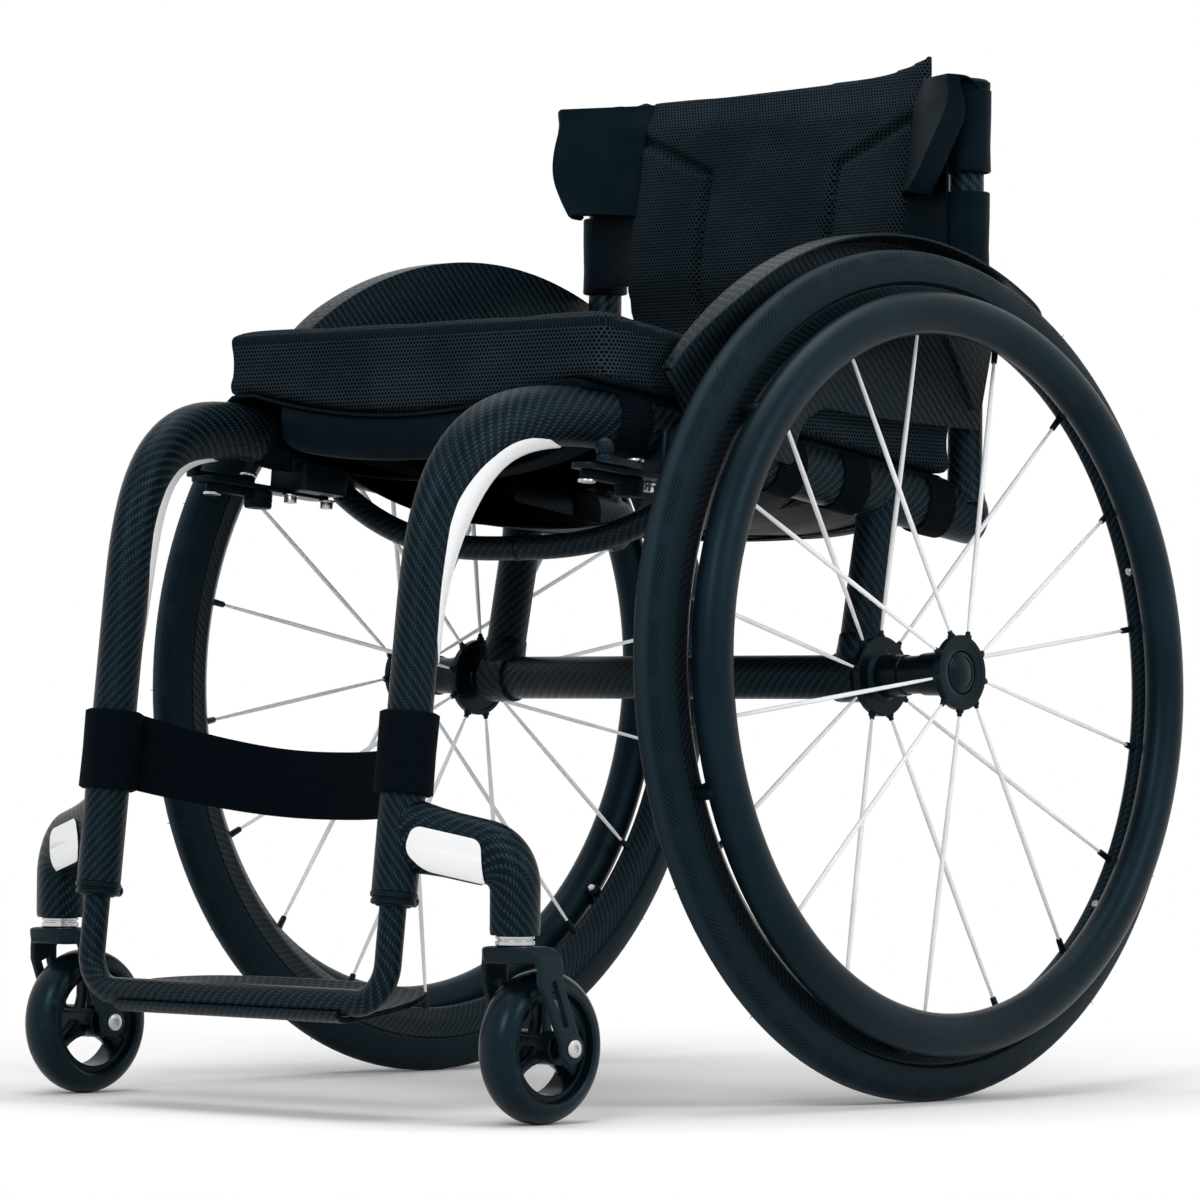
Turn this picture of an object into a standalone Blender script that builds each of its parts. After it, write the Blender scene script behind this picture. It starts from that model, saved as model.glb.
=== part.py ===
"""Rigid wheelchair with a carbon frame, cambered rear wheels and swivelling front casters.

Metres, +Z up, the front towards -Y and the sitter's left towards +X.
Pieces are laid out from the rear axle line. The last step puts the origin
on the floor, in the middle of the footprint.
"""

import math

import bmesh
import bpy
from mathutils import Matrix, Vector

# Fits
FIT_GAP = 0.0003
RUNNING_GAP = 0.0004
SLIDING_GAP = 0.0005

# Rear wheels
WHEEL_RADIUS = 0.295
WHEEL_STEPS = 36
TRACK_HALF = 0.2284
CAMBER = math.radians(2.0)
TYRE_WIDTH = 0.025
TYRE_TREAD_WIDTH = 0.008
TYRE_HEIGHT = 0.025
TYRE_SHOULDER_SHARE = 0.5
RIM_DEPTH = 0.0218
RIM_WIDTH = 0.021
RIM_FLANK_HEIGHT = 0.013
RIM_APEX_WIDTH = 0.006

# Hand rims
HAND_RIM_RADIUS = 0.2493
HAND_RIM_OFFSET = 0.0253
HAND_RIM_HEIGHT = 0.030
HAND_RIM_THICKNESS = 0.026
HAND_RIM_SIDES = 8
HAND_RIM_TABS = 6
HAND_RIM_TAB_ANGLE = math.radians(18.4)
HAND_RIM_TAB_RADIUS = 0.0035
HAND_RIM_TAB_INSET = 0.0012

# Hubs and spokes
SPOKE_COUNT = 18
SPOKE_FIRST_ANGLE = math.radians(8.4)
SPOKE_RADIUS = 0.0016
SPOKE_SIDES = 4
NIPPLE_LENGTH = 0.012
NIPPLE_RADIUS = 0.0026
SPOKE_TIP_DEPTH = 0.002
HUB_OUTER_FACE = 0.0374
HUB_INNER_FACE = 0.0385
HUB_OUTER_FLANGE_RADIUS = 0.026
HUB_INNER_FLANGE_RADIUS = 0.028
HUB_FLANGE_THICKNESS = 0.0058
HUB_BARREL_RADIUS = 0.0155
HUB_RECESS_DEPTH = 0.009
HUB_STEPS = 16

# Quick-release axles
AXLE_PIN_RADIUS = 0.0063
AXLE_PIN_INSERTION = 0.046
AXLE_HEAD_RADIUS = 0.0115
AXLE_HEAD_THICKNESS = 0.0025
BUTTON_RADIUS = 0.0142
BUTTON_TRAVEL = 0.0035
BUTTON_RIM_THICKNESS = 0.0012
BUTTON_DOME_HEIGHT = 0.0022
BUTTON_STEM_RADIUS = 0.003
BUTTON_STEM_LENGTH = 0.012
AXLE_SLEEVE_RADIUS = 0.0078
AXLE_COLLAR_RADIUS = 0.0112
AXLE_COLLAR_THICKNESS = 0.003
AXLE_SLEEVE_INSERTION = 0.040

# Axle tube and uprights
AXLE_TUBE_RADIUS = 0.0155
AXLE_TUBE_WALL = 0.0028
AXLE_TUBE_SIDES = 16
AXLE_TUBE_HALF_LENGTH = 0.180
UPRIGHT_SPREAD = 0.1698
UPRIGHT_RADIUS = 0.0145
UPRIGHT_LEAN = 0.2012
UPRIGHT_SEAM_HEIGHT = 0.0285
LUG_WALL = 0.0022
LUG_WIDTH = 0.029

# Side frames: a leg, a bend and a seat rail in one tube
TUBE_SIDES = 12
LEG_SPREAD = 0.140
LEG_REACH = 0.4478
LEG_LEAN = 0.114
LEG_BOTTOM_HEIGHT = 0.1490
LEG_DEPTH = 0.030
FRAME_TUBE_WIDTH = 0.030
RAIL_SPREAD = 0.170
RAIL_DEPTH = 0.040
RAIL_FRONT_REACH = 0.267
RAIL_FRONT_HEIGHT = 0.4632
RAIL_SLOPE = 0.135
RAIL_REAR_OVERRUN = 0.0185
BEND_START_HEIGHT = 0.301
BEND_END_REACH = 0.2292
BEND_FULLNESS = 1.60
BEND_SPREAD_SHARE = 0.095
BEND_SWELL = 0.0098
BEND_SWELL_SHARE = 0.9
BEND_TWIST = math.radians(-21.4)
BEND_STEPS = 10
TAPER_END_REACH = 0.180
RAIL_END_ROUND = 0.006

# Caster arms
ARM_START_HEIGHT = 0.187
ARM_TOP_HEIGHT = 0.171
ARM_WIDTH = 0.028
ARM_DEPTH = 0.043
ARM_CORNER_RADIUS = 0.024
STEM_HOUSING_RADIUS = 0.0158
STEM_HOUSING_BOTTOM = 0.1225
ARM_SQUARENESS = 0.72

# Casters
CASTER_SPREAD = 0.2153
CASTER_RADIUS = 0.050
CASTER_WIDTH = 0.029
CASTER_TREAD_WIDTH = 0.006
CASTER_TYRE_HEIGHT = 0.0145
CASTER_CORE_WIDTH = 0.022
CASTER_STEPS = 20
CASTER_TRAIL = 0.0245
CASTER_REACH = 0.3725
CORE_RIM_THICKNESS = 0.0045
CORE_HUB_RADIUS = 0.011
CORE_SPOKES = 3
CORE_SPOKE_WIDTH = 0.009
CORE_BEARING_HALF = 0.018
CORE_WASHER_RADIUS = 0.0065
STEM_RADIUS = 0.007
STEM_LENGTH = 0.038
SPACER_RADIUS = 0.0128
SPACER_HEIGHT = 0.0064
FORK_ARM_THICKNESS = 0.0045
FORK_INNER_HALF = 0.025
FORK_SHOULDER_INSET = 0.0030
FORK_SHOULDER_REAR = 0.018
FORK_CROWN_THICKNESS = 0.0115
FORK_CROWN_LENGTH = 0.032
FORK_SHOULDER_LENGTH = 0.022
FORK_CROWN_REAR = 0.018
FORK_ARM_TOP_HEIGHT = 0.093
FORK_BOSS_RADIUS = 0.0100
FORK_BOSS_PROUD = 0.0006
FORK_SLOT_WIDTH = 0.0080
FORK_SLOT_LOW_HEIGHT = 0.0640
CASTER_BOLT_RADIUS = 0.004
CASTER_BOLT_HEAD_RADIUS = 0.0062
CASTER_BOLT_HEAD_THICKNESS = 0.002

# Footrest
FOOTREST_TUBE_RADIUS = 0.009
FOOTREST_BAR_HEIGHT = 0.0765
FOOTREST_CORNER_RADIUS = 0.026
FOOTREST_INSERTION = 0.110
FOOTREST_LIFT = 0.020
FOOTREST_DROP = 0.030
FOOTPLATE_THICKNESS = 0.004
FOOTPLATE_HALF_WIDTH = 0.131
FOOTPLATE_LIP_HALF_WIDTH = 0.106
FOOTPLATE_DEPTH = 0.054
FOOTPLATE_REAR_RISE = 0.0115
FOOTPLATE_END_DROP = 0.005
COLLAR_LIP = 0.0006
COLLAR_HEIGHT = 0.0085
COLLAR_SCREW_RADIUS = 0.0038
COLLAR_SCREW_LENGTH = 0.005

# Seat brace
BRACE_REACH = 0.168
BRACE_RADIUS = 0.0086
BRACE_MIDDLE_DROP = 0.0683
BRACE_END_DROP = 0.026
BRACE_CURVE_POWER = 2.8
BRACE_STEPS = 8

# Seat sling and cushion
SLING_THICKNESS = 0.0025
SLING_FRONT_REACH = 0.284
SLING_REAR_REACH = 0.088
SLING_SAG = 0.018
SLING_SAG_HALF_WIDTH = 0.150
SLING_STOPS = (0.0, 0.36, 0.70, 1.0)
FLAP_SIDE_GAP = 0.012
SLING_OVERHANG = 0.012
SLING_FLAP_HEIGHT = 0.026
LOOP_WIDTH = 0.028
LOOP_THICKNESS = 0.0016
LOOP_REACHES = (0.245, 0.087, 0.018, -0.077)
CUSHION_HALF_WIDTH = 0.184
CUSHION_FRONT_REACH = 0.280
CUSHION_REAR_REACH = 0.094
CUSHION_THICKNESS = 0.047
CUSHION_CROWN = 0.005
CUSHION_CORNER_RADIUS = 0.024
CUSHION_SIDE_DRAW = 0.006
CUSHION_EAR_REACH = 0.009
CUSHION_CLEARANCE = 0.0007
CUSHION_BELLY_SHARE = 0.90
SIDE_STOPS = 3

# Back
CANE_SPREAD = 0.174
CANE_REACH = 0.1165
CANE_RADIUS = 0.0125
CANE_LID_THICKNESS = 0.0015
BACK_HALF_WIDTH = 0.133
BACK_BOTTOM_HEIGHT = 0.446
BACK_TOP_HEIGHT = 0.7275
BACK_THICKNESS = 0.014
BACK_SAG = 0.005
BACK_LOW_REACH = 0.098
BACK_TOP_RECLINE = 0.022
BACK_RECLINE_DROP = 0.1475
BACK_CORNER_PEAK = 0.009
CHANNEL_X = 0.062
CHANNEL_TOP_DROP = 0.0595
CHANNEL_CORNER_DROP = 0.0275
CHANNEL_DEPTH = 0.004
CHANNEL_WIDTH = 0.008
SLEEVE_LENGTH = 0.057
SLEEVE_DROP = 0.004
SLEEVE_RADIUS = 0.0168
SLEEVE_WEB_THICKNESS = 0.007
WING_LENGTH = 0.0775
WING_TOP_DROP = 0.004
WING_THICKNESS = 0.006
WING_POCKET_RADIUS = 0.0175
WING_OUTER_X = 0.192
WING_OUTER_REACH = 0.084

# Side guards
GUARD_THICKNESS = 0.0025
GUARD_INNER_FACE = 0.1903
GUARD_RADIUS = 0.3045
GUARD_LIP_OUTER_FACE = 0.212
GUARD_FRONT_ANGLE = math.radians(139.0)
GUARD_REAR_ANGLE = math.radians(64.0)
GUARD_FRONT_FOOT = (-0.195, 0.452)
GUARD_HEEL = (-0.096, 0.437)
GUARD_WINDOW = ((-0.092, 0.455), (-0.083, 0.469), (-0.064, 0.4785), (-0.023, 0.4745))
GUARD_REAR_FOOT = (0.108, 0.4704)
GUARD_BOSS_RADIUS = 0.006
GUARD_FRONT_BOSS_REACH = 0.125
GUARD_REAR_BOSS_HEIGHT = 0.535

# Calf strap
STRAP_TOP_HEIGHT = 0.2644
STRAP_BOTTOM_HEIGHT = 0.2125
STRAP_THICKNESS = 0.003
STRAP_SAG_BACK = 0.058
STRAP_TOP_SAG = 0.026
STRAP_BOTTOM_SAG = 0.0195
STRAP_SAG_POWER = 2.4
STRAP_STEPS = 6

# Brakes
BRAKE_BAR_TOP = 0.4236
BRAKE_TILT_REACH = 0.2016
BRAKE_TILT = math.radians(4.6)
BRAKE_BAR_SPREAD = 0.181
BRAKE_BAR_FRONT_REACH = 0.302
BRAKE_BAR_REAR_REACH = 0.1777
BRAKE_BAR_WIDTH = 0.020
BRAKE_BAR_THICKNESS = 0.004
BRAKE_CRADLE_REACH = 0.203
BRAKE_CRADLE_LENGTH = 0.045
BRAKE_CRADLE_WALL = 0.0035
BRAKE_SCREW_REACHES = (0.2205, 0.1840)
BRAKE_SCREW_RADIUS = 0.0046
BRAKE_SCREW_HEIGHT = 0.0065
BRAKE_PIN_RADIUS = 0.003
BRAKE_HEAD_RADIUS = 0.0062
BRAKE_HEAD_THICKNESS = 0.0022
BRAKE_LEVER_PIVOT = (0.184, -0.250)
BRAKE_LEVER_LENGTH = 0.0445
BRAKE_LEVER_ANGLE = math.radians(-75.7)
BRAKE_LEVER_THICKNESS = 0.005
BRAKE_LEVER_WIDTH = 0.010
BRAKE_BALL_RADIUS = 0.0064
BRAKE_BALL_RISE = 0.0100
BRAKE_SHOE_PIVOT = (0.178, -0.290)
BRAKE_ARM_LENGTH = 0.044
BRAKE_ARM_ANGLE = math.radians(92.0)
BRAKE_ARM_THICKNESS = 0.0055
BRAKE_PAD_RADIUS = 0.0100
BRAKE_PAD_HEIGHT = 0.0125

# White inserts on the frame
INSERT_THICKNESS = 0.0013
INSERT_START_STEPS = 2
INSERT_END_STEPS = 11
LEG_INSERT_SIDES = (1, 2, 3, 4, 5)
ARM_INSERT_LENGTH = 0.052
ARM_INSERT_HEIGHT = 0.027
ARM_INSERT_DROP = 0.005

# Colours
CARBON = (0.028, 0.038, 0.042)
BLACK_METAL = (0.022, 0.024, 0.026)
SILVER = (0.62, 0.63, 0.64)
WHITE = (0.86, 0.87, 0.87)
RUBBER = (0.030, 0.036, 0.040)
FABRIC = (0.035, 0.042, 0.048)

# Values that follow from the sizes above
AXLE_HEIGHT = WHEEL_RADIUS * math.cos(CAMBER) + TYRE_TREAD_WIDTH / 2 * math.sin(CAMBER)
AXLE_TUBE_HEIGHT = AXLE_HEIGHT - (TRACK_HALF - AXLE_TUBE_HALF_LENGTH) * math.tan(CAMBER)
BEAD_RADIUS = WHEEL_RADIUS - TYRE_HEIGHT
RIM_APEX_RADIUS = BEAD_RADIUS - RIM_DEPTH
CASTER_BEAD_RADIUS = CASTER_RADIUS - CASTER_TYRE_HEIGHT
STEM_REACH = CASTER_REACH + CASTER_TRAIL
RAIL_END_REACH = CANE_REACH + RAIL_REAR_OVERRUN
FORK_TOP = STEM_HOUSING_BOTTOM - SPACER_HEIGHT - 2 * FIT_GAP
CASTER_AXLE = Vector((CASTER_SPREAD, -CASTER_REACH, CASTER_RADIUS))
LEG_DIRECTION = Vector((0.0, LEG_LEAN, 1.0)).normalized()
X_AXIS = Vector((1.0, 0.0, 0.0))
LEG_STEPS = 2
WING_TOP_HEIGHT = BACK_TOP_HEIGHT - WING_TOP_DROP
WING_BOTTOM_HEIGHT = WING_TOP_HEIGHT - WING_LENGTH
CANE_TOP_HEIGHT = WING_TOP_HEIGHT - CANE_LID_THICKNESS
SLEEVE_TOP_HEIGHT = WING_BOTTOM_HEIGHT - SLEEVE_DROP
SLEEVE_BOTTOM_HEIGHT = SLEEVE_TOP_HEIGHT - SLEEVE_LENGTH
CHANNEL_TOP_HEIGHT = BACK_TOP_HEIGHT - CHANNEL_TOP_DROP
CHANNEL_CORNER_HEIGHT = BACK_TOP_HEIGHT - CHANNEL_CORNER_DROP
RAIL_LOWEST = RAIL_FRONT_HEIGHT - RAIL_SLOPE * (RAIL_END_REACH + RAIL_FRONT_REACH) - FIT_GAP


def leg_y(height):
    """The leg's centre line, from the axle line."""
    return -LEG_REACH + LEG_LEAN * height


def leg_point(height):
    return Vector((LEG_SPREAD, leg_y(height), height))


def rail_z(y):
    """The seat rail's centre line."""
    return RAIL_FRONT_HEIGHT - RAIL_SLOPE * (y + RAIL_FRONT_REACH)


def rail_top(y):
    return rail_z(y) + RAIL_DEPTH / 2 * math.hypot(1.0, RAIL_SLOPE)


def eased(value):
    """0 to 1 with soft ends."""
    value = min(max(value, 0.0), 1.0)
    return value * value * (3.0 - 2.0 * value)


def clear_scene():
    for item in list(bpy.data.objects):
        bpy.data.objects.remove(item, do_unlink=True)


def make_material(name, colour, roughness, metallic=0.0):
    """A Principled material in one plain colour."""
    finish = bpy.data.materials.new(name)
    finish.use_nodes = True
    shader = finish.node_tree.nodes["Principled BSDF"]
    shader.inputs["Base Color"].default_value = (*colour, 1.0)
    shader.inputs["Roughness"].default_value = roughness
    shader.inputs["Metallic"].default_value = metallic
    finish.diffuse_color = (*colour, 1.0)
    return finish


def tidy(bm):
    """Merges doubled points and turns every face outwards."""
    bmesh.ops.remove_doubles(bm, verts=bm.verts, dist=1e-6)
    bmesh.ops.dissolve_degenerate(bm, dist=1e-6, edges=bm.edges)
    bmesh.ops.recalc_face_normals(bm, faces=bm.faces)
    return bm


def temporary_object(name, bm):
    mesh = bpy.data.meshes.new(name)
    bm.to_mesh(mesh)
    bm.free()
    holder = bpy.data.objects.new(name, mesh)
    bpy.context.collection.objects.link(holder)
    return holder


def combined(first, second, operation):
    """The Boolean of two closed shapes, as one new shape."""
    holder = temporary_object("holder", first)
    tool = temporary_object("tool", second)
    modifier = holder.modifiers.new("combine", 'BOOLEAN')
    modifier.operation = operation
    modifier.solver = 'EXACT'
    modifier.object = tool
    depsgraph = bpy.context.evaluated_depsgraph_get()
    mesh = bpy.data.meshes.new_from_object(holder.evaluated_get(depsgraph))
    result = bmesh.new()
    result.from_mesh(mesh)
    bpy.data.meshes.remove(mesh)
    for item in (holder, tool):
        data = item.data
        bpy.data.objects.remove(item, do_unlink=True)
        bpy.data.meshes.remove(data)
    bmesh.ops.remove_doubles(result, verts=result.verts, dist=1e-6)
    bmesh.ops.dissolve_degenerate(result, dist=1e-6, edges=result.edges)
    return result


def joined(first, *others):
    for other in others:
        first = combined(first, other, 'UNION')
    return first


def cut(first, *others):
    for other in others:
        first = combined(first, other, 'DIFFERENCE')
    return first


def placed(bm, matrix):
    bmesh.ops.transform(bm, matrix=matrix, verts=bm.verts)
    return bm


def mirrored(bm):
    """A copy on the other side of the middle plane."""
    other = bm.copy()
    bmesh.ops.transform(other, matrix=Matrix.Scale(-1.0, 4, X_AXIS), verts=other.verts)
    bmesh.ops.reverse_faces(other, faces=other.faces)
    return other


def add_piece(name, bm, material, origin=(0.0, 0.0, 0.0)):
    """Makes the named object, with its own origin on the given point."""
    point = Vector(origin)
    bmesh.ops.translate(bm, vec=-point, verts=bm.verts)
    mesh = bpy.data.meshes.new(name)
    bm.to_mesh(mesh)
    bm.free()
    mesh.shade_smooth()
    mesh.set_sharp_from_angle(angle=math.radians(35.0))
    mesh.materials.append(material)
    piece = bpy.data.objects.new(name, mesh)
    piece.location = point
    bpy.context.collection.objects.link(piece)
    return piece


def add_pair(name, bm, material, origin=(0.0, 0.0, 0.0)):
    """The sitter's left piece, and its mirror image on the right."""
    other = mirrored(bm)
    left = Vector(origin)
    right = Vector((-left.x, left.y, left.z))
    add_piece(name + "_left", bm, material, left)
    add_piece(name + "_right", other, material, right)


def loop_edges(verts):
    """The edges that join the given ring of points."""
    chosen = set(verts)
    return [edge for edge in {e for v in verts for e in v.link_edges}
            if edge.verts[0] in chosen and edge.verts[1] in chosen]


def section_point(station, angle, squareness=1.0, grow=0.0):
    """A point round a station; 90 degrees is its deep side, and squareness 1 an ellipse."""
    centre, along, across, width, depth = station
    along = along.normalized()
    across = (across - across.dot(along) * along).normalized()
    up = along.cross(across)
    wide = math.copysign(abs(math.cos(angle)) ** squareness, math.cos(angle))
    deep = math.copysign(abs(math.sin(angle)) ** squareness, math.sin(angle))
    return centre + across * wide * (width / 2 + grow) + up * deep * (depth / 2 + grow)


def section_ring(bm, station, sides, squareness):
    """One closed ring of a sweep."""
    verts = [bm.verts.new(section_point(station, 2.0 * math.pi * step / sides, squareness))
             for step in range(sides)]
    for step in range(sides):
        bm.edges.new((verts[step], verts[(step + 1) % sides]))
    return verts


def swept(stations, sides=TUBE_SIDES, squareness=1.0):
    """A closed tube through (centre, along, across, width, depth) stations."""
    bm = bmesh.new()
    rings = [section_ring(bm, station, sides, squareness) for station in stations]
    for low, high in zip(rings, rings[1:]):
        bmesh.ops.bridge_loops(bm, edges=loop_edges(low) + loop_edges(high))
    for ring in (rings[0], rings[-1]):
        bmesh.ops.contextual_create(bm, geom=loop_edges(ring))
    return tidy(bm)


def stations_along(points, across, width, depth):
    """Stations of one section on a run of points."""
    stations = []
    for index, point in enumerate(points):
        ahead = points[min(index + 1, len(points) - 1)]
        behind = points[max(index - 1, 0)]
        stations.append((point, ahead - behind, across, width, depth))
    return stations


def round_corner(before, corner, after, radius, steps):
    """Points of an arc that rounds the corner of two straight runs."""
    back = (before - corner).normalized()
    onward = (after - corner).normalized()
    half = back.angle(onward) / 2.0
    centre = corner + (back + onward).normalized() * radius / math.sin(half)
    start = corner + back * radius / math.tan(half)
    end = corner + onward * radius / math.tan(half)
    first = (start - centre).normalized()
    last = (end - centre).normalized()
    return [centre + first.slerp(last, step / steps) * radius for step in range(steps + 1)]


def cylinder(start, end, radius, sides=TUBE_SIDES):
    along = Vector(end) - Vector(start)
    across = Vector((0.0, 0.0, 1.0)) if abs(along.normalized().z) < 0.9 else X_AXIS
    return swept([(Vector(start), along, across, radius * 2, radius * 2),
                  (Vector(end), along, across, radius * 2, radius * 2)], sides)


def turned(profile, steps, ring=False, facets_out=False):
    """Spins (along, radius) points about X; a ring's profile closes on itself."""
    bm = bmesh.new()
    grow = 1.0 / math.cos(math.pi / steps) if facets_out else 1.0
    verts = [bm.verts.new((along, 0.0, -radius * grow)) for along, radius in profile]
    edges = [bm.edges.new(pair) for pair in zip(verts, verts[1:])]
    if ring:
        edges.append(bm.edges.new((verts[-1], verts[0])))
    bmesh.ops.rotate(bm, verts=bm.verts, cent=(0, 0, 0),
                     matrix=Matrix.Rotation(math.pi / steps, 3, 'X'))
    bmesh.ops.spin(bm, geom=verts + edges, cent=(0, 0, 0), axis=(1, 0, 0), dvec=(0, 0, 0),
                   angle=2.0 * math.pi, steps=steps, use_merge=True, use_duplicate=False)
    return tidy(bm)


def block(low, high):
    bm = bmesh.new()
    low = Vector(low)
    high = Vector(high)
    size = high - low
    middle = (low + high) / 2
    matrix = Matrix.Translation(middle) @ Matrix.Diagonal((*size, 1.0))
    bmesh.ops.create_cube(bm, size=1.0, matrix=matrix)
    return bm


def extruded(outline, direction):
    """A flat outline of 3-D points pushed along a direction."""
    bm = bmesh.new()
    face = bm.faces.new([bm.verts.new(point) for point in outline])
    pushed = bmesh.ops.extrude_face_region(bm, geom=[face])
    moved = [item for item in pushed["geom"] if isinstance(item, bmesh.types.BMVert)]
    bmesh.ops.translate(bm, vec=Vector(direction), verts=moved)
    return tidy(bm)


def slab(front, back):
    """A closed sheet between two grids of points with the same rows and columns."""
    bm = bmesh.new()
    near = [[bm.verts.new(point) for point in row] for row in front]
    far = [[bm.verts.new(point) for point in row] for row in back]
    rows = len(near)
    columns = len(near[0])
    for row in range(rows - 1):
        for column in range(columns - 1):
            for grid in (near, far):
                bm.faces.new((grid[row][column], grid[row][column + 1],
                              grid[row + 1][column + 1], grid[row + 1][column]))
    border = [(row, 0) for row in range(rows)]
    border += [(rows - 1, column) for column in range(1, columns)]
    border += [(row, columns - 1) for row in range(rows - 2, -1, -1)]
    border += [(0, column) for column in range(columns - 2, 0, -1)]
    for (row, column), (next_row, next_column) in zip(border, border[1:] + border[:1]):
        bm.faces.new((near[row][column], near[next_row][next_column],
                      far[next_row][next_column], far[row][column]))
    return tidy(bm)


def swept_strip(stations):
    """A flat strip with square edges through stations."""
    bm = bmesh.new()
    rings = []
    for centre, along, across, width, depth in stations:
        across = (across - across.project(along)).normalized()
        up = along.normalized().cross(across)
        corners = ((-1, -1), (1, -1), (1, 1), (-1, 1))
        rings.append([bm.verts.new(centre + across * a * width / 2 + up * b * depth / 2)
                      for a, b in corners])
    return skinned(bm, rings)


def skinned(bm, rings):
    """Faces between rings of the same number of points, and over both ends."""
    count = len(rings[0])
    for low, high in zip(rings, rings[1:]):
        for step in range(count):
            after = (step + 1) % count
            bm.faces.new((low[step], low[after], high[after], high[step]))
    bm.faces.new(rings[0])
    bm.faces.new(rings[-1])
    bmesh.ops.recalc_face_normals(bm, faces=bm.faces)
    return bm


def gathered(shapes):
    """Several separate shapes held in one, ready for a Boolean."""
    group = bmesh.new()
    for shape in shapes:
        mesh = bpy.data.meshes.new("shape")
        shape.to_mesh(mesh)
        shape.free()
        group.from_mesh(mesh)
        bpy.data.meshes.remove(mesh)
    return group


def wheel_place():
    """Takes a wheel's own frame, with X outwards on its axle, to the left wheel."""
    place = Matrix.Translation((TRACK_HALF, 0.0, AXLE_HEIGHT))
    return place @ Matrix.Rotation(-CAMBER, 4, 'Y')


def wheel_point(along):
    """A point on the left wheel's axis."""
    return wheel_place() @ Vector((along, 0.0, 0.0))


def spoke_frame(angle):
    """Y to Z plane direction of a spoke at the given angle from the rear."""
    return Vector((0.0, math.cos(angle), math.sin(angle)))


# Side frames
def frame_centre_line():
    """Centre points of the left side frame, from the leg's foot to the rail's rear end."""
    foot = leg_point(LEG_BOTTOM_HEIGHT)
    corner_z = (rail_z(0.0) + RAIL_SLOPE * LEG_REACH) / (1.0 + RAIL_SLOPE * LEG_LEAN)
    corner = Vector((0.0, leg_y(corner_z), corner_z))
    first = Vector((0.0, leg_y(BEND_START_HEIGHT), BEND_START_HEIGHT))
    last = Vector((0.0, -BEND_END_REACH, rail_z(-BEND_END_REACH)))
    flat_foot = Vector((0.0, foot.y, foot.z))
    rail_stops = (-TAPER_END_REACH, -0.06, 0.05, RAIL_END_REACH - 0.005, RAIL_END_REACH)
    points = [flat_foot, flat_foot.lerp(first, 0.6)] + soft_corner(first, corner, last)
    points += [Vector((0.0, y, rail_z(y))) for y in rail_stops]
    lengths = [0.0]
    for low, high in zip(points, points[1:]):
        lengths.append(lengths[-1] + (high - low).length)
    taper_end = lengths[len(points) - len(rail_stops)]
    bend_length = lengths[LEG_STEPS + BEND_STEPS] - lengths[LEG_STEPS]
    taper_start = lengths[LEG_STEPS] + bend_length * BEND_SPREAD_SHARE
    for point, length in zip(points, lengths):
        share = eased((length - taper_start) / (taper_end - taper_start))
        point.x = LEG_SPREAD + (RAIL_SPREAD - LEG_SPREAD) * share
    return points, lengths


def soft_corner(first, corner, last):
    """Points of a bend that is gentle where it leaves the leg and tighter below the rail."""
    points = []
    for step in range(BEND_STEPS + 1):
        t = step / BEND_STEPS
        shares = ((1.0 - t) ** 2, 2.0 * BEND_FULLNESS * t * (1.0 - t), t ** 2)
        total = first * shares[0] + corner * shares[1] + last * shares[2]
        points.append(total / sum(shares))
    return points


def frame_stations(grow=0.0):
    """The frame tube's sections; within the bend they swell and turn a little outwards."""
    points, lengths = frame_centre_line()
    bend_start = lengths[LEG_STEPS]
    bend_end = lengths[LEG_STEPS + BEND_STEPS]
    stations = []
    last = len(points) - 1
    for index, point in enumerate(points):
        ahead = points[min(index + 1, last)]
        behind = points[max(index - 1, 0)]
        share = (lengths[index] - bend_start) / (bend_end - bend_start)
        swell = math.sin(math.pi * min(max(share / BEND_SWELL_SHARE, 0.0), 1.0)) ** 2
        depth = LEG_DEPTH + (RAIL_DEPTH - LEG_DEPTH) * eased(share) + BEND_SWELL * swell
        across = X_AXIS.copy()
        across.rotate(Matrix.Rotation(BEND_TWIST * swell, 3, ahead - behind))
        end_round = RAIL_END_ROUND if index == last and grow == 0.0 else 0.0
        stations.append((point, ahead - behind, across,
                         FRAME_TUBE_WIDTH + 2 * grow - end_round, depth + 2 * grow - end_round))
    return stations


def frame_tube(grow=0.0):
    return swept(frame_stations(grow))


def rail_ring(low_y, high_y, grow):
    """A short sleeve of the rail's own section between two places along it."""
    low = frame_point(low_y)
    high = frame_point(high_y)
    width = FRAME_TUBE_WIDTH + 2 * grow
    depth = RAIL_DEPTH + 2 * grow
    return swept([(low, high - low, X_AXIS, width, depth), (high, high - low, X_AXIS, width, depth)])


def frame_point(y):
    """The rail's centre at a place along it."""
    points = [point for point in frame_centre_line()[0] if point.z > RAIL_LOWEST]
    for low, high in zip(points, points[1:]):
        if low.y <= y <= high.y:
            return low.lerp(high, (y - low.y) / (high.y - low.y))
    return points[0]


def leg_sleeve(low_z, high_z, grow):
    """A short sleeve of the leg's own section between two heights."""
    low = leg_point(low_z)
    high = leg_point(high_z)
    return swept([(low, LEG_DIRECTION, X_AXIS, FRAME_TUBE_WIDTH + 2 * grow, LEG_DEPTH + 2 * grow),
                  (high, LEG_DIRECTION, X_AXIS, FRAME_TUBE_WIDTH + 2 * grow, LEG_DEPTH + 2 * grow)])


def leg_bore():
    """The hole in the leg's foot that the footrest tube slides in."""
    foot = leg_point(LEG_BOTTOM_HEIGHT)
    depth = FOOTREST_INSERTION + FOOTREST_LIFT + 0.004
    return cylinder(foot - LEG_DIRECTION * 0.01, foot + LEG_DIRECTION * depth,
                    FOOTREST_TUBE_RADIUS + SLIDING_GAP)


def build_side_frames(material):
    bm = cut(frame_tube(), leg_bore())
    add_pair("side_frame", bm, material)


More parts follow.
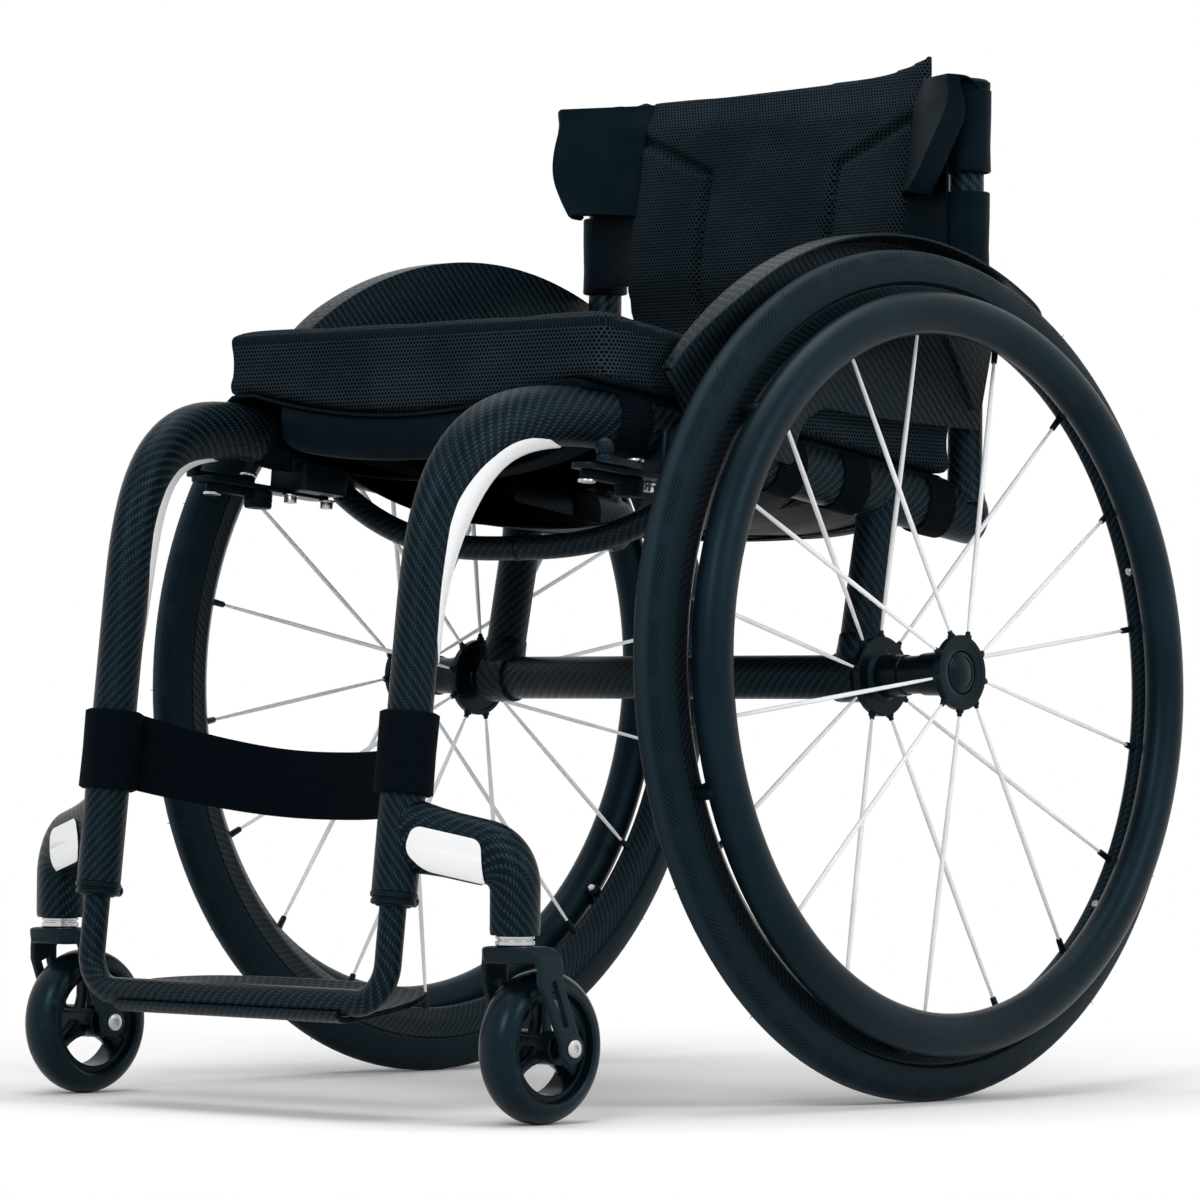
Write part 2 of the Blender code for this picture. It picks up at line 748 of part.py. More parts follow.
# Caster arms
def arm_points():
    start = leg_point(ARM_START_HEIGHT)
    corner = Vector((CASTER_SPREAD, -STEM_REACH, ARM_TOP_HEIGHT))
    foot = Vector((CASTER_SPREAD, -STEM_REACH, STEM_HOUSING_BOTTOM))
    return start, corner, foot


def arm_across():
    start, corner = arm_points()[:2]
    flat = Vector((corner.x - start.x, corner.y - start.y, 0.0))
    return Vector((0.0, 0.0, 1.0)).cross(flat).normalized()


def caster_arm(grow=0.0):
    start, corner, foot = arm_points()
    across = arm_across()
    bend = round_corner(start, corner, foot, ARM_CORNER_RADIUS, 5)
    points = [start, start.lerp(bend[0], 0.6)] + bend + [foot]
    round_size = STEM_HOUSING_RADIUS * 2
    stations = []
    for index, point in enumerate(points):
        ahead = points[min(index + 1, len(points) - 1)]
        behind = points[max(index - 1, 0)]
        share = eased((index - 1) / (len(points) - 3))
        width = ARM_WIDTH + (round_size - ARM_WIDTH) * share
        depth = ARM_DEPTH + (round_size - ARM_DEPTH) * share
        along = ahead - behind if index < len(points) - 1 else foot - corner
        stations.append((point, along, across, width + 2 * grow, depth + 2 * grow))
    return swept(stations, squareness=1.0 - (1.0 - ARM_SQUARENESS) * 0.6)


def stem_hole(radius, low, high):
    return cylinder((CASTER_SPREAD, -STEM_REACH, low), (CASTER_SPREAD, -STEM_REACH, high), radius)


def build_caster_arms(material):
    bore = stem_hole(STEM_RADIUS + RUNNING_GAP, STEM_HOUSING_BOTTOM - 0.01,
                     FORK_TOP + STEM_LENGTH + 0.003)
    bm = cut(caster_arm(), frame_tube(FIT_GAP), bore)
    add_pair("caster_arm", bm, material)


# Axle tube, uprights and lugs
def upright_point(height):
    """The upright's centre line, which meets the axle tube's middle."""
    return Vector((UPRIGHT_SPREAD, UPRIGHT_LEAN * (height - AXLE_TUBE_HEIGHT), height))


def axle_tube(grow=0.0):
    ends = [Vector((side * (AXLE_TUBE_HALF_LENGTH + grow), 0.0, AXLE_TUBE_HEIGHT)) for side in (-1, 1)]
    outer = cylinder(ends[0], ends[1], AXLE_TUBE_RADIUS + grow, AXLE_TUBE_SIDES)
    stretch = Vector((0.01, 0.0, 0.0))
    bore = cylinder(ends[0] - stretch, ends[1] + stretch, AXLE_TUBE_RADIUS - AXLE_TUBE_WALL - grow,
                    AXLE_TUBE_SIDES)
    return cut(outer, bore)


def filled_axle_tube(grow):
    reach = AXLE_TUBE_HALF_LENGTH + 0.05
    return cylinder((-reach, 0.0, AXLE_TUBE_HEIGHT), (reach, 0.0, AXLE_TUBE_HEIGHT),
                    AXLE_TUBE_RADIUS + grow, AXLE_TUBE_SIDES)


def build_axle_carrier(material):
    add_piece("axle_tube", axle_tube(), material)
    seam = AXLE_TUBE_HEIGHT + UPRIGHT_SEAM_HEIGHT
    lean = Vector((0.0, UPRIGHT_LEAN, 1.0)).normalized()
    top = upright_point(rail_z(0.02))
    upright = cylinder(upright_point(seam) + lean * FIT_GAP, top, UPRIGHT_RADIUS)
    add_pair("axle_upright", cut(upright, frame_tube(FIT_GAP)), material)
    stub = cylinder(upright_point(AXLE_TUBE_HEIGHT), upright_point(seam), UPRIGHT_RADIUS + LUG_WALL / 3)
    ring = cylinder((UPRIGHT_SPREAD - LUG_WIDTH / 2, 0.0, AXLE_TUBE_HEIGHT),
                    (min(UPRIGHT_SPREAD + LUG_WIDTH / 2, AXLE_TUBE_HALF_LENGTH), 0.0, AXLE_TUBE_HEIGHT),
                    AXLE_TUBE_RADIUS + LUG_WALL, AXLE_TUBE_SIDES)
    add_pair("axle_lug", cut(joined(stub, ring), filled_axle_tube(FIT_GAP)), material)


# Seat brace
def build_seat_brace(material):
    """A low curved bar under the seat, whose ends turn up into the rails."""
    end_z = rail_z(-BRACE_REACH) - BRACE_END_DROP
    middle_z = rail_z(-BRACE_REACH) - BRACE_MIDDLE_DROP
    points = [Vector((RAIL_SPREAD, -BRACE_REACH, rail_z(-BRACE_REACH)))]
    for step in range(BRACE_STEPS, -BRACE_STEPS - 1, -1):
        x = RAIL_SPREAD * math.sin(math.pi / 2 * step / BRACE_STEPS)
        rise = (end_z - middle_z) * (abs(x) / RAIL_SPREAD) ** BRACE_CURVE_POWER
        points.append(Vector((x, -BRACE_REACH, middle_z + rise)))
    points.append(Vector((-RAIL_SPREAD, -BRACE_REACH, rail_z(-BRACE_REACH))))
    across = Vector((0.0, 1.0, 0.0))
    bar = swept(stations_along(points, across, BRACE_RADIUS * 2, BRACE_RADIUS * 2), 10)
    right = mirrored(frame_tube(FIT_GAP))
    add_piece("seat_brace", cut(bar, frame_tube(FIT_GAP), right), material)


# Rear wheels
def tyre_profile():
    low = BEAD_RADIUS + FIT_GAP
    side = [(RIM_WIDTH / 2, low), (TYRE_WIDTH / 2, low + (WHEEL_RADIUS - low) * TYRE_SHOULDER_SHARE),
            (TYRE_TREAD_WIDTH / 2, WHEEL_RADIUS)]
    return [(-along, radius) for along, radius in side] + side[::-1]


def rim_profile():
    side = [(RIM_APEX_WIDTH / 2, RIM_APEX_RADIUS), (RIM_WIDTH / 2, BEAD_RADIUS - RIM_FLANK_HEIGHT),
            (RIM_WIDTH / 2, BEAD_RADIUS)]
    return [(-along, radius) for along, radius in side] + side[::-1]


def hand_rim_profile():
    points = []
    for step in range(HAND_RIM_SIDES):
        angle = 2.0 * math.pi * (step + 0.5) / HAND_RIM_SIDES
        points.append((HAND_RIM_OFFSET + HAND_RIM_THICKNESS / 2 * math.cos(angle),
                       HAND_RIM_RADIUS + HAND_RIM_HEIGHT / 2 * math.sin(angle)))
    return points


def hand_rim():
    """The oval push ring with the stand-off tabs that seat on the rim's flank."""
    ring = turned(hand_rim_profile(), WHEEL_STEPS, ring=True, facets_out=True)
    radius = BEAD_RADIUS - RIM_FLANK_HEIGHT + HAND_RIM_TAB_RADIUS + HAND_RIM_TAB_INSET
    tabs = []
    for index in range(HAND_RIM_TABS):
        out = spoke_frame(HAND_RIM_TAB_ANGLE + 2.0 * math.pi * index / HAND_RIM_TABS)
        foot = out * radius + X_AXIS * (RIM_WIDTH / 2 + FIT_GAP)
        head = out * radius + X_AXIS * HAND_RIM_OFFSET
        tabs.append(cylinder(foot, head, HAND_RIM_TAB_RADIUS, 6))
    return joined(ring, gathered(tabs))


def hub_profile():
    inner = -HUB_INNER_FACE
    outer = HUB_OUTER_FACE
    bore = AXLE_PIN_RADIUS + RUNNING_GAP
    recess = BUTTON_RADIUS + 2 * RUNNING_GAP
    floor = outer - HUB_RECESS_DEPTH
    neck = floor - 0.004
    return [(inner, bore), (inner, HUB_INNER_FLANGE_RADIUS),
            (inner + HUB_FLANGE_THICKNESS, HUB_INNER_FLANGE_RADIUS),
            (inner + HUB_FLANGE_THICKNESS, HUB_BARREL_RADIUS - 0.001),
            (neck, HUB_BARREL_RADIUS), (neck, recess + 0.003),
            (outer - HUB_FLANGE_THICKNESS, recess + 0.003),
            (outer - HUB_FLANGE_THICKNESS, HUB_OUTER_FLANGE_RADIUS),
            (outer, HUB_OUTER_FLANGE_RADIUS), (outer, recess), (floor, recess), (floor, bore)]


def spokes():
    """All spokes of one wheel, every other one from the outer flange of the hub."""
    rods = []
    for index in range(SPOKE_COUNT):
        out = spoke_frame(SPOKE_FIRST_ANGLE + 2.0 * math.pi * index / SPOKE_COUNT)
        if index % 2:
            flange = HUB_OUTER_FACE - HUB_FLANGE_THICKNESS / 2
            root = out * (HUB_OUTER_FLANGE_RADIUS + FIT_GAP) + X_AXIS * flange
        else:
            flange = HUB_FLANGE_THICKNESS / 2 - HUB_INNER_FACE
            root = out * (HUB_INNER_FLANGE_RADIUS + FIT_GAP) + X_AXIS * flange
        tip = out * (RIM_APEX_RADIUS + SPOKE_TIP_DEPTH)
        along = tip - root
        nipple = tip - along.normalized() * (NIPPLE_LENGTH + SPOKE_TIP_DEPTH)
        thin = SPOKE_RADIUS * 2
        thick = NIPPLE_RADIUS * 2
        rods.append(stepped([(root, out, X_AXIS, thin, thin), (nipple, along, X_AXIS, thin, thin),
                             (nipple, along, X_AXIS, thick, thick), (tip, out, X_AXIS, thick, thick)],
                            SPOKE_SIDES))
    return gathered(rods)


def stepped(stations, sides):
    """A rod whose rings may share a centre, where its radius steps."""
    bm = bmesh.new()
    rings = [section_ring(bm, station, sides, 1.0) for station in stations]
    return skinned(bm, rings)


def axle_pin():
    """The quick-release pin, hollow at its head for the button's stem."""
    floor = HUB_OUTER_FACE - HUB_RECESS_DEPTH + FIT_GAP
    head = floor + AXLE_HEAD_THICKNESS
    tip = -HUB_INNER_FACE - AXLE_PIN_INSERTION
    hole = BUTTON_STEM_RADIUS + RUNNING_GAP
    hole_end = head - BUTTON_STEM_LENGTH - BUTTON_TRAVEL
    profile = [(tip, 0.0), (tip, AXLE_PIN_RADIUS * 0.8), (tip + 0.003, AXLE_PIN_RADIUS),
               (floor, AXLE_PIN_RADIUS), (floor, AXLE_HEAD_RADIUS), (head, AXLE_HEAD_RADIUS),
               (head, hole), (hole_end, hole), (hole_end, 0.0)]
    return turned(profile, 16)


def release_button():
    head = HUB_OUTER_FACE - HUB_RECESS_DEPTH + FIT_GAP + AXLE_HEAD_THICKNESS
    back = head + BUTTON_TRAVEL + FIT_GAP
    face = back + BUTTON_RIM_THICKNESS
    profile = [(head - BUTTON_STEM_LENGTH + 0.003, 0.0),
               (head - BUTTON_STEM_LENGTH + 0.003, BUTTON_STEM_RADIUS),
               (back, BUTTON_STEM_RADIUS), (back, BUTTON_RADIUS), (face, BUTTON_RADIUS),
               (face + BUTTON_DOME_HEIGHT * 0.6, BUTTON_RADIUS * 0.7),
               (face + BUTTON_DOME_HEIGHT, 0.0)]
    return turned(profile, HUB_STEPS)


def axle_sleeve():
    """The receiver that is clamped in the axle tube's end and holds the pin."""
    outer_end = -HUB_INNER_FACE - FIT_GAP
    tube_end = (AXLE_TUBE_HALF_LENGTH - TRACK_HALF) / math.cos(CAMBER)
    inner_end = tube_end - AXLE_SLEEVE_INSERTION
    plug = AXLE_TUBE_RADIUS - AXLE_TUBE_WALL / 2
    bore = AXLE_PIN_RADIUS + RUNNING_GAP
    collar_end = tube_end + AXLE_COLLAR_THICKNESS
    profile = [(inner_end, bore), (inner_end, plug), (tube_end, plug),
               (tube_end, AXLE_COLLAR_RADIUS), (collar_end, AXLE_COLLAR_RADIUS),
               (collar_end, AXLE_SLEEVE_RADIUS), (outer_end, AXLE_SLEEVE_RADIUS), (outer_end, bore)]
    return turned(profile, HUB_STEPS, ring=True)


def build_rear_wheels(rubber, carbon, black, silver):
    place = wheel_place()
    centre = wheel_point(0.0)
    tyre = turned(tyre_profile(), WHEEL_STEPS, ring=True, facets_out=True)
    add_pair("rear_tyre", placed(tyre, place), rubber, centre)
    rim = joined(turned(rim_profile(), WHEEL_STEPS, ring=True, facets_out=True), spokes())
    add_pair("rim_and_spokes", placed(rim, place), carbon, centre)
    add_pair("hand_rim", placed(hand_rim(), place), carbon, centre)
    add_pair("wheel_hub", placed(turned(hub_profile(), HUB_STEPS, ring=True), place), black, centre)
    add_pair("axle_pin", placed(axle_pin(), place), silver, centre)
    add_pair("release_button", placed(release_button(), place), black, centre)
    sleeve = cut(placed(axle_sleeve(), place), axle_tube(FIT_GAP))
    add_pair("axle_sleeve", sleeve, black, centre)


# Casters
def caster_tyre():
    half = CASTER_WIDTH / 2
    seat = CASTER_CORE_WIDTH / 2
    low = CASTER_BEAD_RADIUS + FIT_GAP
    height = CASTER_RADIUS - low
    side = [(seat, low), (half, low + height * 0.20), (half * 0.68, low + height * 0.76),
            (CASTER_TREAD_WIDTH / 2, CASTER_RADIUS)]
    profile = [(-along, radius) for along, radius in side] + side[::-1]
    return turned(profile, CASTER_STEPS, ring=True, facets_out=True)


def caster_core():
    """A rim, a hub and the spokes between them, in one piece."""
    half = CASTER_CORE_WIDTH / 2
    inner = CASTER_BEAD_RADIUS - CORE_RIM_THICKNESS
    core = turned([(-half, inner), (-half, CASTER_BEAD_RADIUS), (half, CASTER_BEAD_RADIUS), (half, inner)],
                  CASTER_STEPS, ring=True, facets_out=True)
    reach = FORK_INNER_HALF - FIT_GAP
    bearing = CORE_BEARING_HALF
    bore = CASTER_BOLT_RADIUS + RUNNING_GAP
    side = [(bearing, CORE_HUB_RADIUS), (bearing, CORE_WASHER_RADIUS), (reach, CORE_WASHER_RADIUS),
            (reach, bore)]
    hub = turned([(-along, radius) for along, radius in side[::-1]] + side, 12, ring=True)
    for index in range(CORE_SPOKES):
        out = spoke_frame(math.pi / 2 + 2.0 * math.pi * index / CORE_SPOKES)
        width = CASTER_CORE_WIDTH * 0.6
        spoke = swept([(out * CORE_HUB_RADIUS * 0.7, out, X_AXIS, width, CORE_SPOKE_WIDTH),
                       (out * (inner + CORE_RIM_THICKNESS / 3), out, X_AXIS, width, CORE_SPOKE_WIDTH)], 8)
        core = joined(core, spoke)
    return joined(core, hub)


def fork():
    """A bent bridge over the wheel with slotted arms, end bosses and the stem."""
    middle = Vector((CASTER_SPREAD, -STEM_REACH, 0.0))
    arm = FORK_INNER_HALF + FORK_ARM_THICKNESS / 2
    high_arm = arm - FORK_SHOULDER_INSET
    crown_z = FORK_TOP - FORK_CROWN_THICKNESS / 2
    high_y = FORK_SHOULDER_REAR - FORK_SHOULDER_LENGTH / 2
    crown_y = FORK_CROWN_REAR - FORK_CROWN_LENGTH / 2
    length = FORK_SHOULDER_LENGTH
    thin = FORK_ARM_THICKNESS
    thick = FORK_CROWN_THICKNESS
    boss = FORK_ARM_THICKNESS - 2 * FORK_BOSS_PROUD
    half = [((arm, CASTER_TRAIL, CASTER_RADIUS), FORK_BOSS_RADIUS * 1.8, boss),
            ((high_arm, high_y, FORK_ARM_TOP_HEIGHT), length, thin),
            ((high_arm - thin * 0.2, high_y, crown_z - thick * 0.5), length, thin * 1.3),
            ((high_arm - thin * 0.9, (high_y + crown_y) / 2, crown_z - thick * 0.1), length, thick * 0.75),
            ((high_arm * 0.6, crown_y, crown_z), FORK_CROWN_LENGTH, thick)]
    rows = [(Vector(place), width, depth) for place, width, depth in half]
    rows += [(Vector((-place.x, place.y, place.z)), width, depth) for place, width, depth in rows[::-1]]
    stations = []
    for index, (place, width, depth) in enumerate(rows):
        ahead = rows[min(index + 1, len(rows) - 1)][0]
        behind = rows[max(index - 1, 0)][0]
        along = Vector((ahead.x - behind.x, 0.0, ahead.z - behind.z))
        stations.append((middle + place, along, Vector((0.0, 1.0, 0.0)), width, depth))
    bridge = swept_strip(stations)
    for side in (-1, 1):
        near = CASTER_AXLE + X_AXIS * side * FORK_INNER_HALF
        far = near + X_AXIS * side * FORK_ARM_THICKNESS
        bridge = joined(bridge, cylinder(near, far, FORK_BOSS_RADIUS, 16))
        high = Vector((CASTER_SPREAD + side * high_arm, high_y - STEM_REACH, FORK_ARM_TOP_HEIGHT))
        low = high.lerp(Vector((CASTER_SPREAD + side * arm, CASTER_AXLE.y, CASTER_AXLE.z)),
                        (FORK_ARM_TOP_HEIGHT - FORK_SLOT_LOW_HEIGHT) / (FORK_ARM_TOP_HEIGHT - CASTER_RADIUS))
        through = FORK_ARM_THICKNESS * 3
        bridge = cut(bridge, swept([(high, low - high, X_AXIS, through, FORK_SLOT_WIDTH),
                                    (low, low - high, X_AXIS, through, FORK_SLOT_WIDTH * 0.6)], 8, 0.6))
    reach = X_AXIS * (FORK_INNER_HALF + FORK_ARM_THICKNESS * 2)
    hole = cylinder(CASTER_AXLE - reach, CASTER_AXLE + reach, CASTER_BOLT_RADIUS + FIT_GAP)
    return joined(cut(bridge, hole), stem_hole(STEM_RADIUS, crown_z, FORK_TOP + STEM_LENGTH))


def caster_bolt():
    under_head = FORK_INNER_HALF + FORK_ARM_THICKNESS + FIT_GAP
    end = under_head + CASTER_BOLT_HEAD_THICKNESS
    head = CASTER_BOLT_HEAD_RADIUS
    side = [(under_head, CASTER_BOLT_RADIUS), (under_head, head), (end, head * 0.85), (end, 0.0)]
    return turned([(-along, radius) for along, radius in side[::-1]] + side, 12)


def build_casters(rubber, black, silver):
    place = Matrix.Translation(CASTER_AXLE)
    stem_origin = (CASTER_SPREAD, -STEM_REACH, FORK_TOP)
    add_pair("caster_tyre", placed(caster_tyre(), place), rubber, CASTER_AXLE)
    add_pair("caster_core", placed(caster_core(), place), black, CASTER_AXLE)
    add_pair("caster_fork", fork(), black, stem_origin)
    add_pair("caster_bolt", placed(caster_bolt(), place), silver, CASTER_AXLE)
    ring_low = FORK_TOP + FIT_GAP
    ring = stem_hole(SPACER_RADIUS, ring_low, ring_low + SPACER_HEIGHT)
    hole = stem_hole(STEM_RADIUS + RUNNING_GAP, ring_low - 0.01, ring_low + SPACER_HEIGHT + 0.01)
    add_pair("stem_spacer", cut(ring, hole), silver, stem_origin)


# Footrest
def footrest_line():
    """The U of the footrest tube, down one leg, across and up the other."""
    top_height = LEG_BOTTOM_HEIGHT + FOOTREST_INSERTION * LEG_DIRECTION.z
    low = leg_point(FOOTREST_BAR_HEIGHT)
    left = leg_point(top_height)
    middle = Vector((0.0, low.y, low.z))
    half = [left] + round_corner(left, low, middle, FOOTREST_CORNER_RADIUS, 5)
    return half + [Vector((-point.x, point.y, point.z)) for point in reversed(half)]


def footrest_tube(grow=0.0):
    across = Vector((0.0, 1.0, -LEG_LEAN)).normalized()
    size = (FOOTREST_TUBE_RADIUS + grow) * 2
    return swept(stations_along(footrest_line(), across, size, size))


def footplate_row(share_x, depth):
    """One line of the plate from under the bar's front to the rear edge."""
    bar = leg_point(FOOTREST_BAR_HEIGHT)
    hug = FOOTREST_TUBE_RADIUS + FIT_GAP * 2 + depth
    lip_x = FOOTPLATE_LIP_HALF_WIDTH * share_x
    rear_x = FOOTPLATE_HALF_WIDTH * share_x
    points = []
    for angle in (215.0, 240.0, 268.0):
        turn = math.radians(angle)
        points.append(Vector((lip_x, bar.y + hug * math.cos(turn), bar.z + hug * math.sin(turn))))
    start_z = bar.z - hug
    drop = FOOTPLATE_END_DROP * abs(share_x) ** 3
    end_z = bar.z + FOOTPLATE_REAR_RISE - drop - depth
    for share in (0.3, 0.6, 1.0):
        points.append(Vector((lip_x + (rear_x - lip_x) * share, bar.y + FOOTPLATE_DEPTH * share,
                              start_z + (end_z - start_z) * share ** 1.5)))
    return points


def build_footrest(carbon, black):
    add_piece("footrest_tube", footrest_tube(), carbon)
    shares = [step / 4 for step in range(-4, 5)]
    top = [footplate_row(share, 0.0) for share in shares]
    under = [footplate_row(share, FOOTPLATE_THICKNESS) for share in shares]
    add_piece("footplate", slab(top, under), carbon)
    top = leg_point(LEG_BOTTOM_HEIGHT) - LEG_DIRECTION * FIT_GAP
    foot = top - LEG_DIRECTION * COLLAR_HEIGHT
    ring = cylinder(foot, top, FRAME_TUBE_WIDTH / 2 + COLLAR_LIP)
    middle = (top + foot) / 2
    back = Vector((0.0, 1.0, -LEG_LEAN)).normalized()
    screw_end = FRAME_TUBE_WIDTH / 2 + COLLAR_LIP + COLLAR_SCREW_LENGTH
    screw = cylinder(middle + back * FRAME_TUBE_WIDTH / 2.4, middle + back * screw_end,
                     COLLAR_SCREW_RADIUS, 10)
    hole = cylinder(foot - LEG_DIRECTION * COLLAR_HEIGHT, top + LEG_DIRECTION * COLLAR_HEIGHT,
                    FOOTREST_TUBE_RADIUS + SLIDING_GAP)
    add_pair("leg_collar", cut(joined(ring, screw), hole), black)


# Seat
def build_sling(material):
    """The seat sheet that sags between the rails, its front flap and its webbing loops."""
    low_y = -SLING_FRONT_REACH
    stops = [low_y + (SLING_REAR_REACH - low_y) * share for share in (0.0, 0.12, 0.3, 0.65, 1.0)]
    inner = [SLING_SAG_HALF_WIDTH * stop for stop in SLING_STOPS]
    top = []
    under = []
    for y in stops:
        half = inner + [frame_point(y).x + SLING_OVERHANG]
        columns = [-x for x in reversed(half[1:])] + half
        line = [Vector((x, y, sling_top(x, y) - SLING_THICKNESS)) for x in columns]
        under.append(line)
        top.append([point + Vector((0.0, 0.0, SLING_THICKNESS)) for point in line])
    sheet = slab(top, under)
    flap_half = LEG_SPREAD - FRAME_TUBE_WIDTH / 2 - FLAP_SIDE_GAP
    front = []
    rear = []
    for drop in (SLING_THICKNESS / 2, SLING_FLAP_HEIGHT):
        columns = [-x for x in reversed(inner[1:-1])] + inner[:-1]
        columns = [-flap_half] + columns + [flap_half]
        line = [Vector((x, low_y, sling_top(x, low_y) - drop)) for x in columns]
        front.append(line)
        rear.append([point + Vector((0.0, SLING_THICKNESS, 0.0)) for point in line])
    sheet = joined(sheet, slab(front, rear))
    for reach in LOOP_REACHES:
        ring = rail_ring(-reach - LOOP_WIDTH / 2, -reach + LOOP_WIDTH / 2, FIT_GAP + LOOP_THICKNESS)
        sheet = joined(sheet, mirrored(ring), ring)
    rails = frame_tube(FIT_GAP)
    add_piece("seat_sling", cut(sheet, mirrored(rails), rails), material)


def sling_slack(x):
    """1 in the middle of the sheet and 0 over the rails, straight between its stops."""
    share = abs(x) / SLING_SAG_HALF_WIDTH
    for low, high in zip(SLING_STOPS, SLING_STOPS[1:]):
        if share < high:
            part = (share - low) / (high - low)
            return (1.0 - low ** 2) * (1.0 - part) + (1.0 - high ** 2) * part
    return 0.0


def sling_top(x, y):
    """The sheet's upper side: on the rails at its edges, hanging between them."""
    return rail_top(y) + FIT_GAP + SLING_THICKNESS - SLING_SAG * sling_slack(x)


def rounded_rectangle(half_width, half_length, radius):
    """A ring of points with round corners about the middle, with stops along its sides."""
    points = []
    inner_x = half_width - radius
    inner_y = half_length - radius
    corners = ((inner_x, inner_y, 0.0), (-inner_x, inner_y, 90.0),
               (-inner_x, -inner_y, 180.0), (inner_x, -inner_y, 270.0))
    for x, y, first in corners:
        for step in range(5):
            angle = math.radians(first + 22.5 * step)
            points.append((x + radius * math.cos(angle), y + radius * math.sin(angle)))
        angle = math.radians(first + 90.0)
        ahead = math.cos(angle + math.pi / 2), math.sin(angle + math.pi / 2)
        run = 2 * (inner_x if abs(ahead[0]) > 0.5 else inner_y)
        for stop in range(SIDE_STOPS):
            points.append((points[-1][0] + ahead[0] * run / (SIDE_STOPS + 1),
                           points[-1][1] + ahead[1] * run / (SIDE_STOPS + 1)))
    return points


def build_cushion(material):
    """Soft-edged, with sides drawn in, a belly that lies in the sling and ears beside the back."""
    middle_y = (CUSHION_REAR_REACH - CUSHION_FRONT_REACH) / 2
    half_length = (CUSHION_REAR_REACH + CUSHION_FRONT_REACH) / 2
    bm = bmesh.new()
    rings = []
    levels = ((0.36, 0.0), (0.75, 0.0), (0.90, 0.0), (0.965, 0.05), (0.995, 0.20), (1.0, 0.36),
              (1.0 - CUSHION_SIDE_DRAW / CUSHION_HALF_WIDTH, 0.56), (0.995, 0.74), (0.985, 0.88),
              (0.93, 0.985), (0.80, 1.0), (0.56, 1.0), (0.28, 1.0))
    for size, share in levels:
        ring = []
        for x, y in rounded_rectangle(CUSHION_HALF_WIDTH, half_length, CUSHION_CORNER_RADIUS):
            if y > 0.0:
                y += CUSHION_EAR_REACH * y / half_length * (x / CUSHION_HALF_WIDTH) ** 4
            x *= size
            y = middle_y + y * size
            belly = sling_top(x / CUSHION_BELLY_SHARE, y) + CUSHION_CLEARANCE
            crown = CUSHION_CROWN * (1.0 - size ** 2) if share == 1.0 else 0.0
            top = rail_top(y) + SLING_THICKNESS + CUSHION_THICKNESS + crown
            ring.append(bm.verts.new((x, y, belly + (top - belly) * share)))
        rings.append(ring)
    add_piece("seat_cushion", skinned(bm, rings), material)


# Back
def back_face(x, z):
    """How far back the front of the upholstery lies at a place on it."""
    rest = BACK_LOW_REACH
    rest += BACK_TOP_RECLINE * eased((z - BACK_TOP_HEIGHT) / BACK_RECLINE_DROP + 1.0)
    sag = BACK_SAG * (1.0 - (x / BACK_HALF_WIDTH) ** 2)
    return rest + sag + CHANNEL_DEPTH * channel_share(abs(x), z)


def channel_share(x, z):
    """1 in the middle of a sewn channel, 0 away from it."""
    if z <= CHANNEL_TOP_HEIGHT:
        away = abs(x - CHANNEL_X)
    else:
        run = Vector((BACK_HALF_WIDTH - CHANNEL_X, CHANNEL_CORNER_HEIGHT - CHANNEL_TOP_HEIGHT))
        offset = Vector((x - CHANNEL_X, z - CHANNEL_TOP_HEIGHT))
        share = min(max(offset.dot(run) / run.length_squared, 0.0), 1.0)
        away = (offset - run * share).length
    return max(1.0 - away / (CHANNEL_WIDTH / 2), 0.0)


def build_back(material):
    half = [0.0, 0.030, CHANNEL_X - CHANNEL_WIDTH / 2, CHANNEL_X, CHANNEL_X + CHANNEL_WIDTH / 2,
            0.088, 0.112, BACK_HALF_WIDTH]
    columns = [-x for x in reversed(half[1:])] + half
    low_rise = CHANNEL_TOP_HEIGHT - BACK_BOTTOM_HEIGHT
    high_rise = BACK_TOP_HEIGHT - CHANNEL_TOP_HEIGHT
    rows = [BACK_BOTTOM_HEIGHT + low_rise * share for share in (0.0, 0.13, 0.38, 0.65, 0.87, 1.0)]
    rows += [CHANNEL_TOP_HEIGHT + high_rise * share for share in (0.18, 0.37, 0.54, 0.76)]
    rows.append(BACK_TOP_HEIGHT)
    front = []
    rear = []
    for z in rows:
        edge = eased((BACK_TOP_HEIGHT - z) / 0.02) * eased((z - BACK_BOTTOM_HEIGHT) / 0.02)
        peak = [BACK_CORNER_PEAK * (abs(x) / BACK_HALF_WIDTH) ** 4 if z == BACK_TOP_HEIGHT else 0.0
                for x in columns]
        thin = (1.0 - edge) * BACK_THICKNESS * 0.28
        front.append([Vector((x, back_face(x, z) + thin, z + lift)) for x, lift in zip(columns, peak)])
        rear.append([Vector((x, back_face(x, z) - CHANNEL_DEPTH * channel_share(abs(x), z)
                             + BACK_THICKNESS - thin, z + lift)) for x, lift in zip(columns, peak)])
    add_piece("back_upholstery", slab(front, rear), material)


def cane(grow=0.0):
    low = rail_z(CANE_REACH)
    return cylinder((CANE_SPREAD, CANE_REACH, low), (CANE_SPREAD, CANE_REACH, CANE_TOP_HEIGHT), CANE_RADIUS + grow)


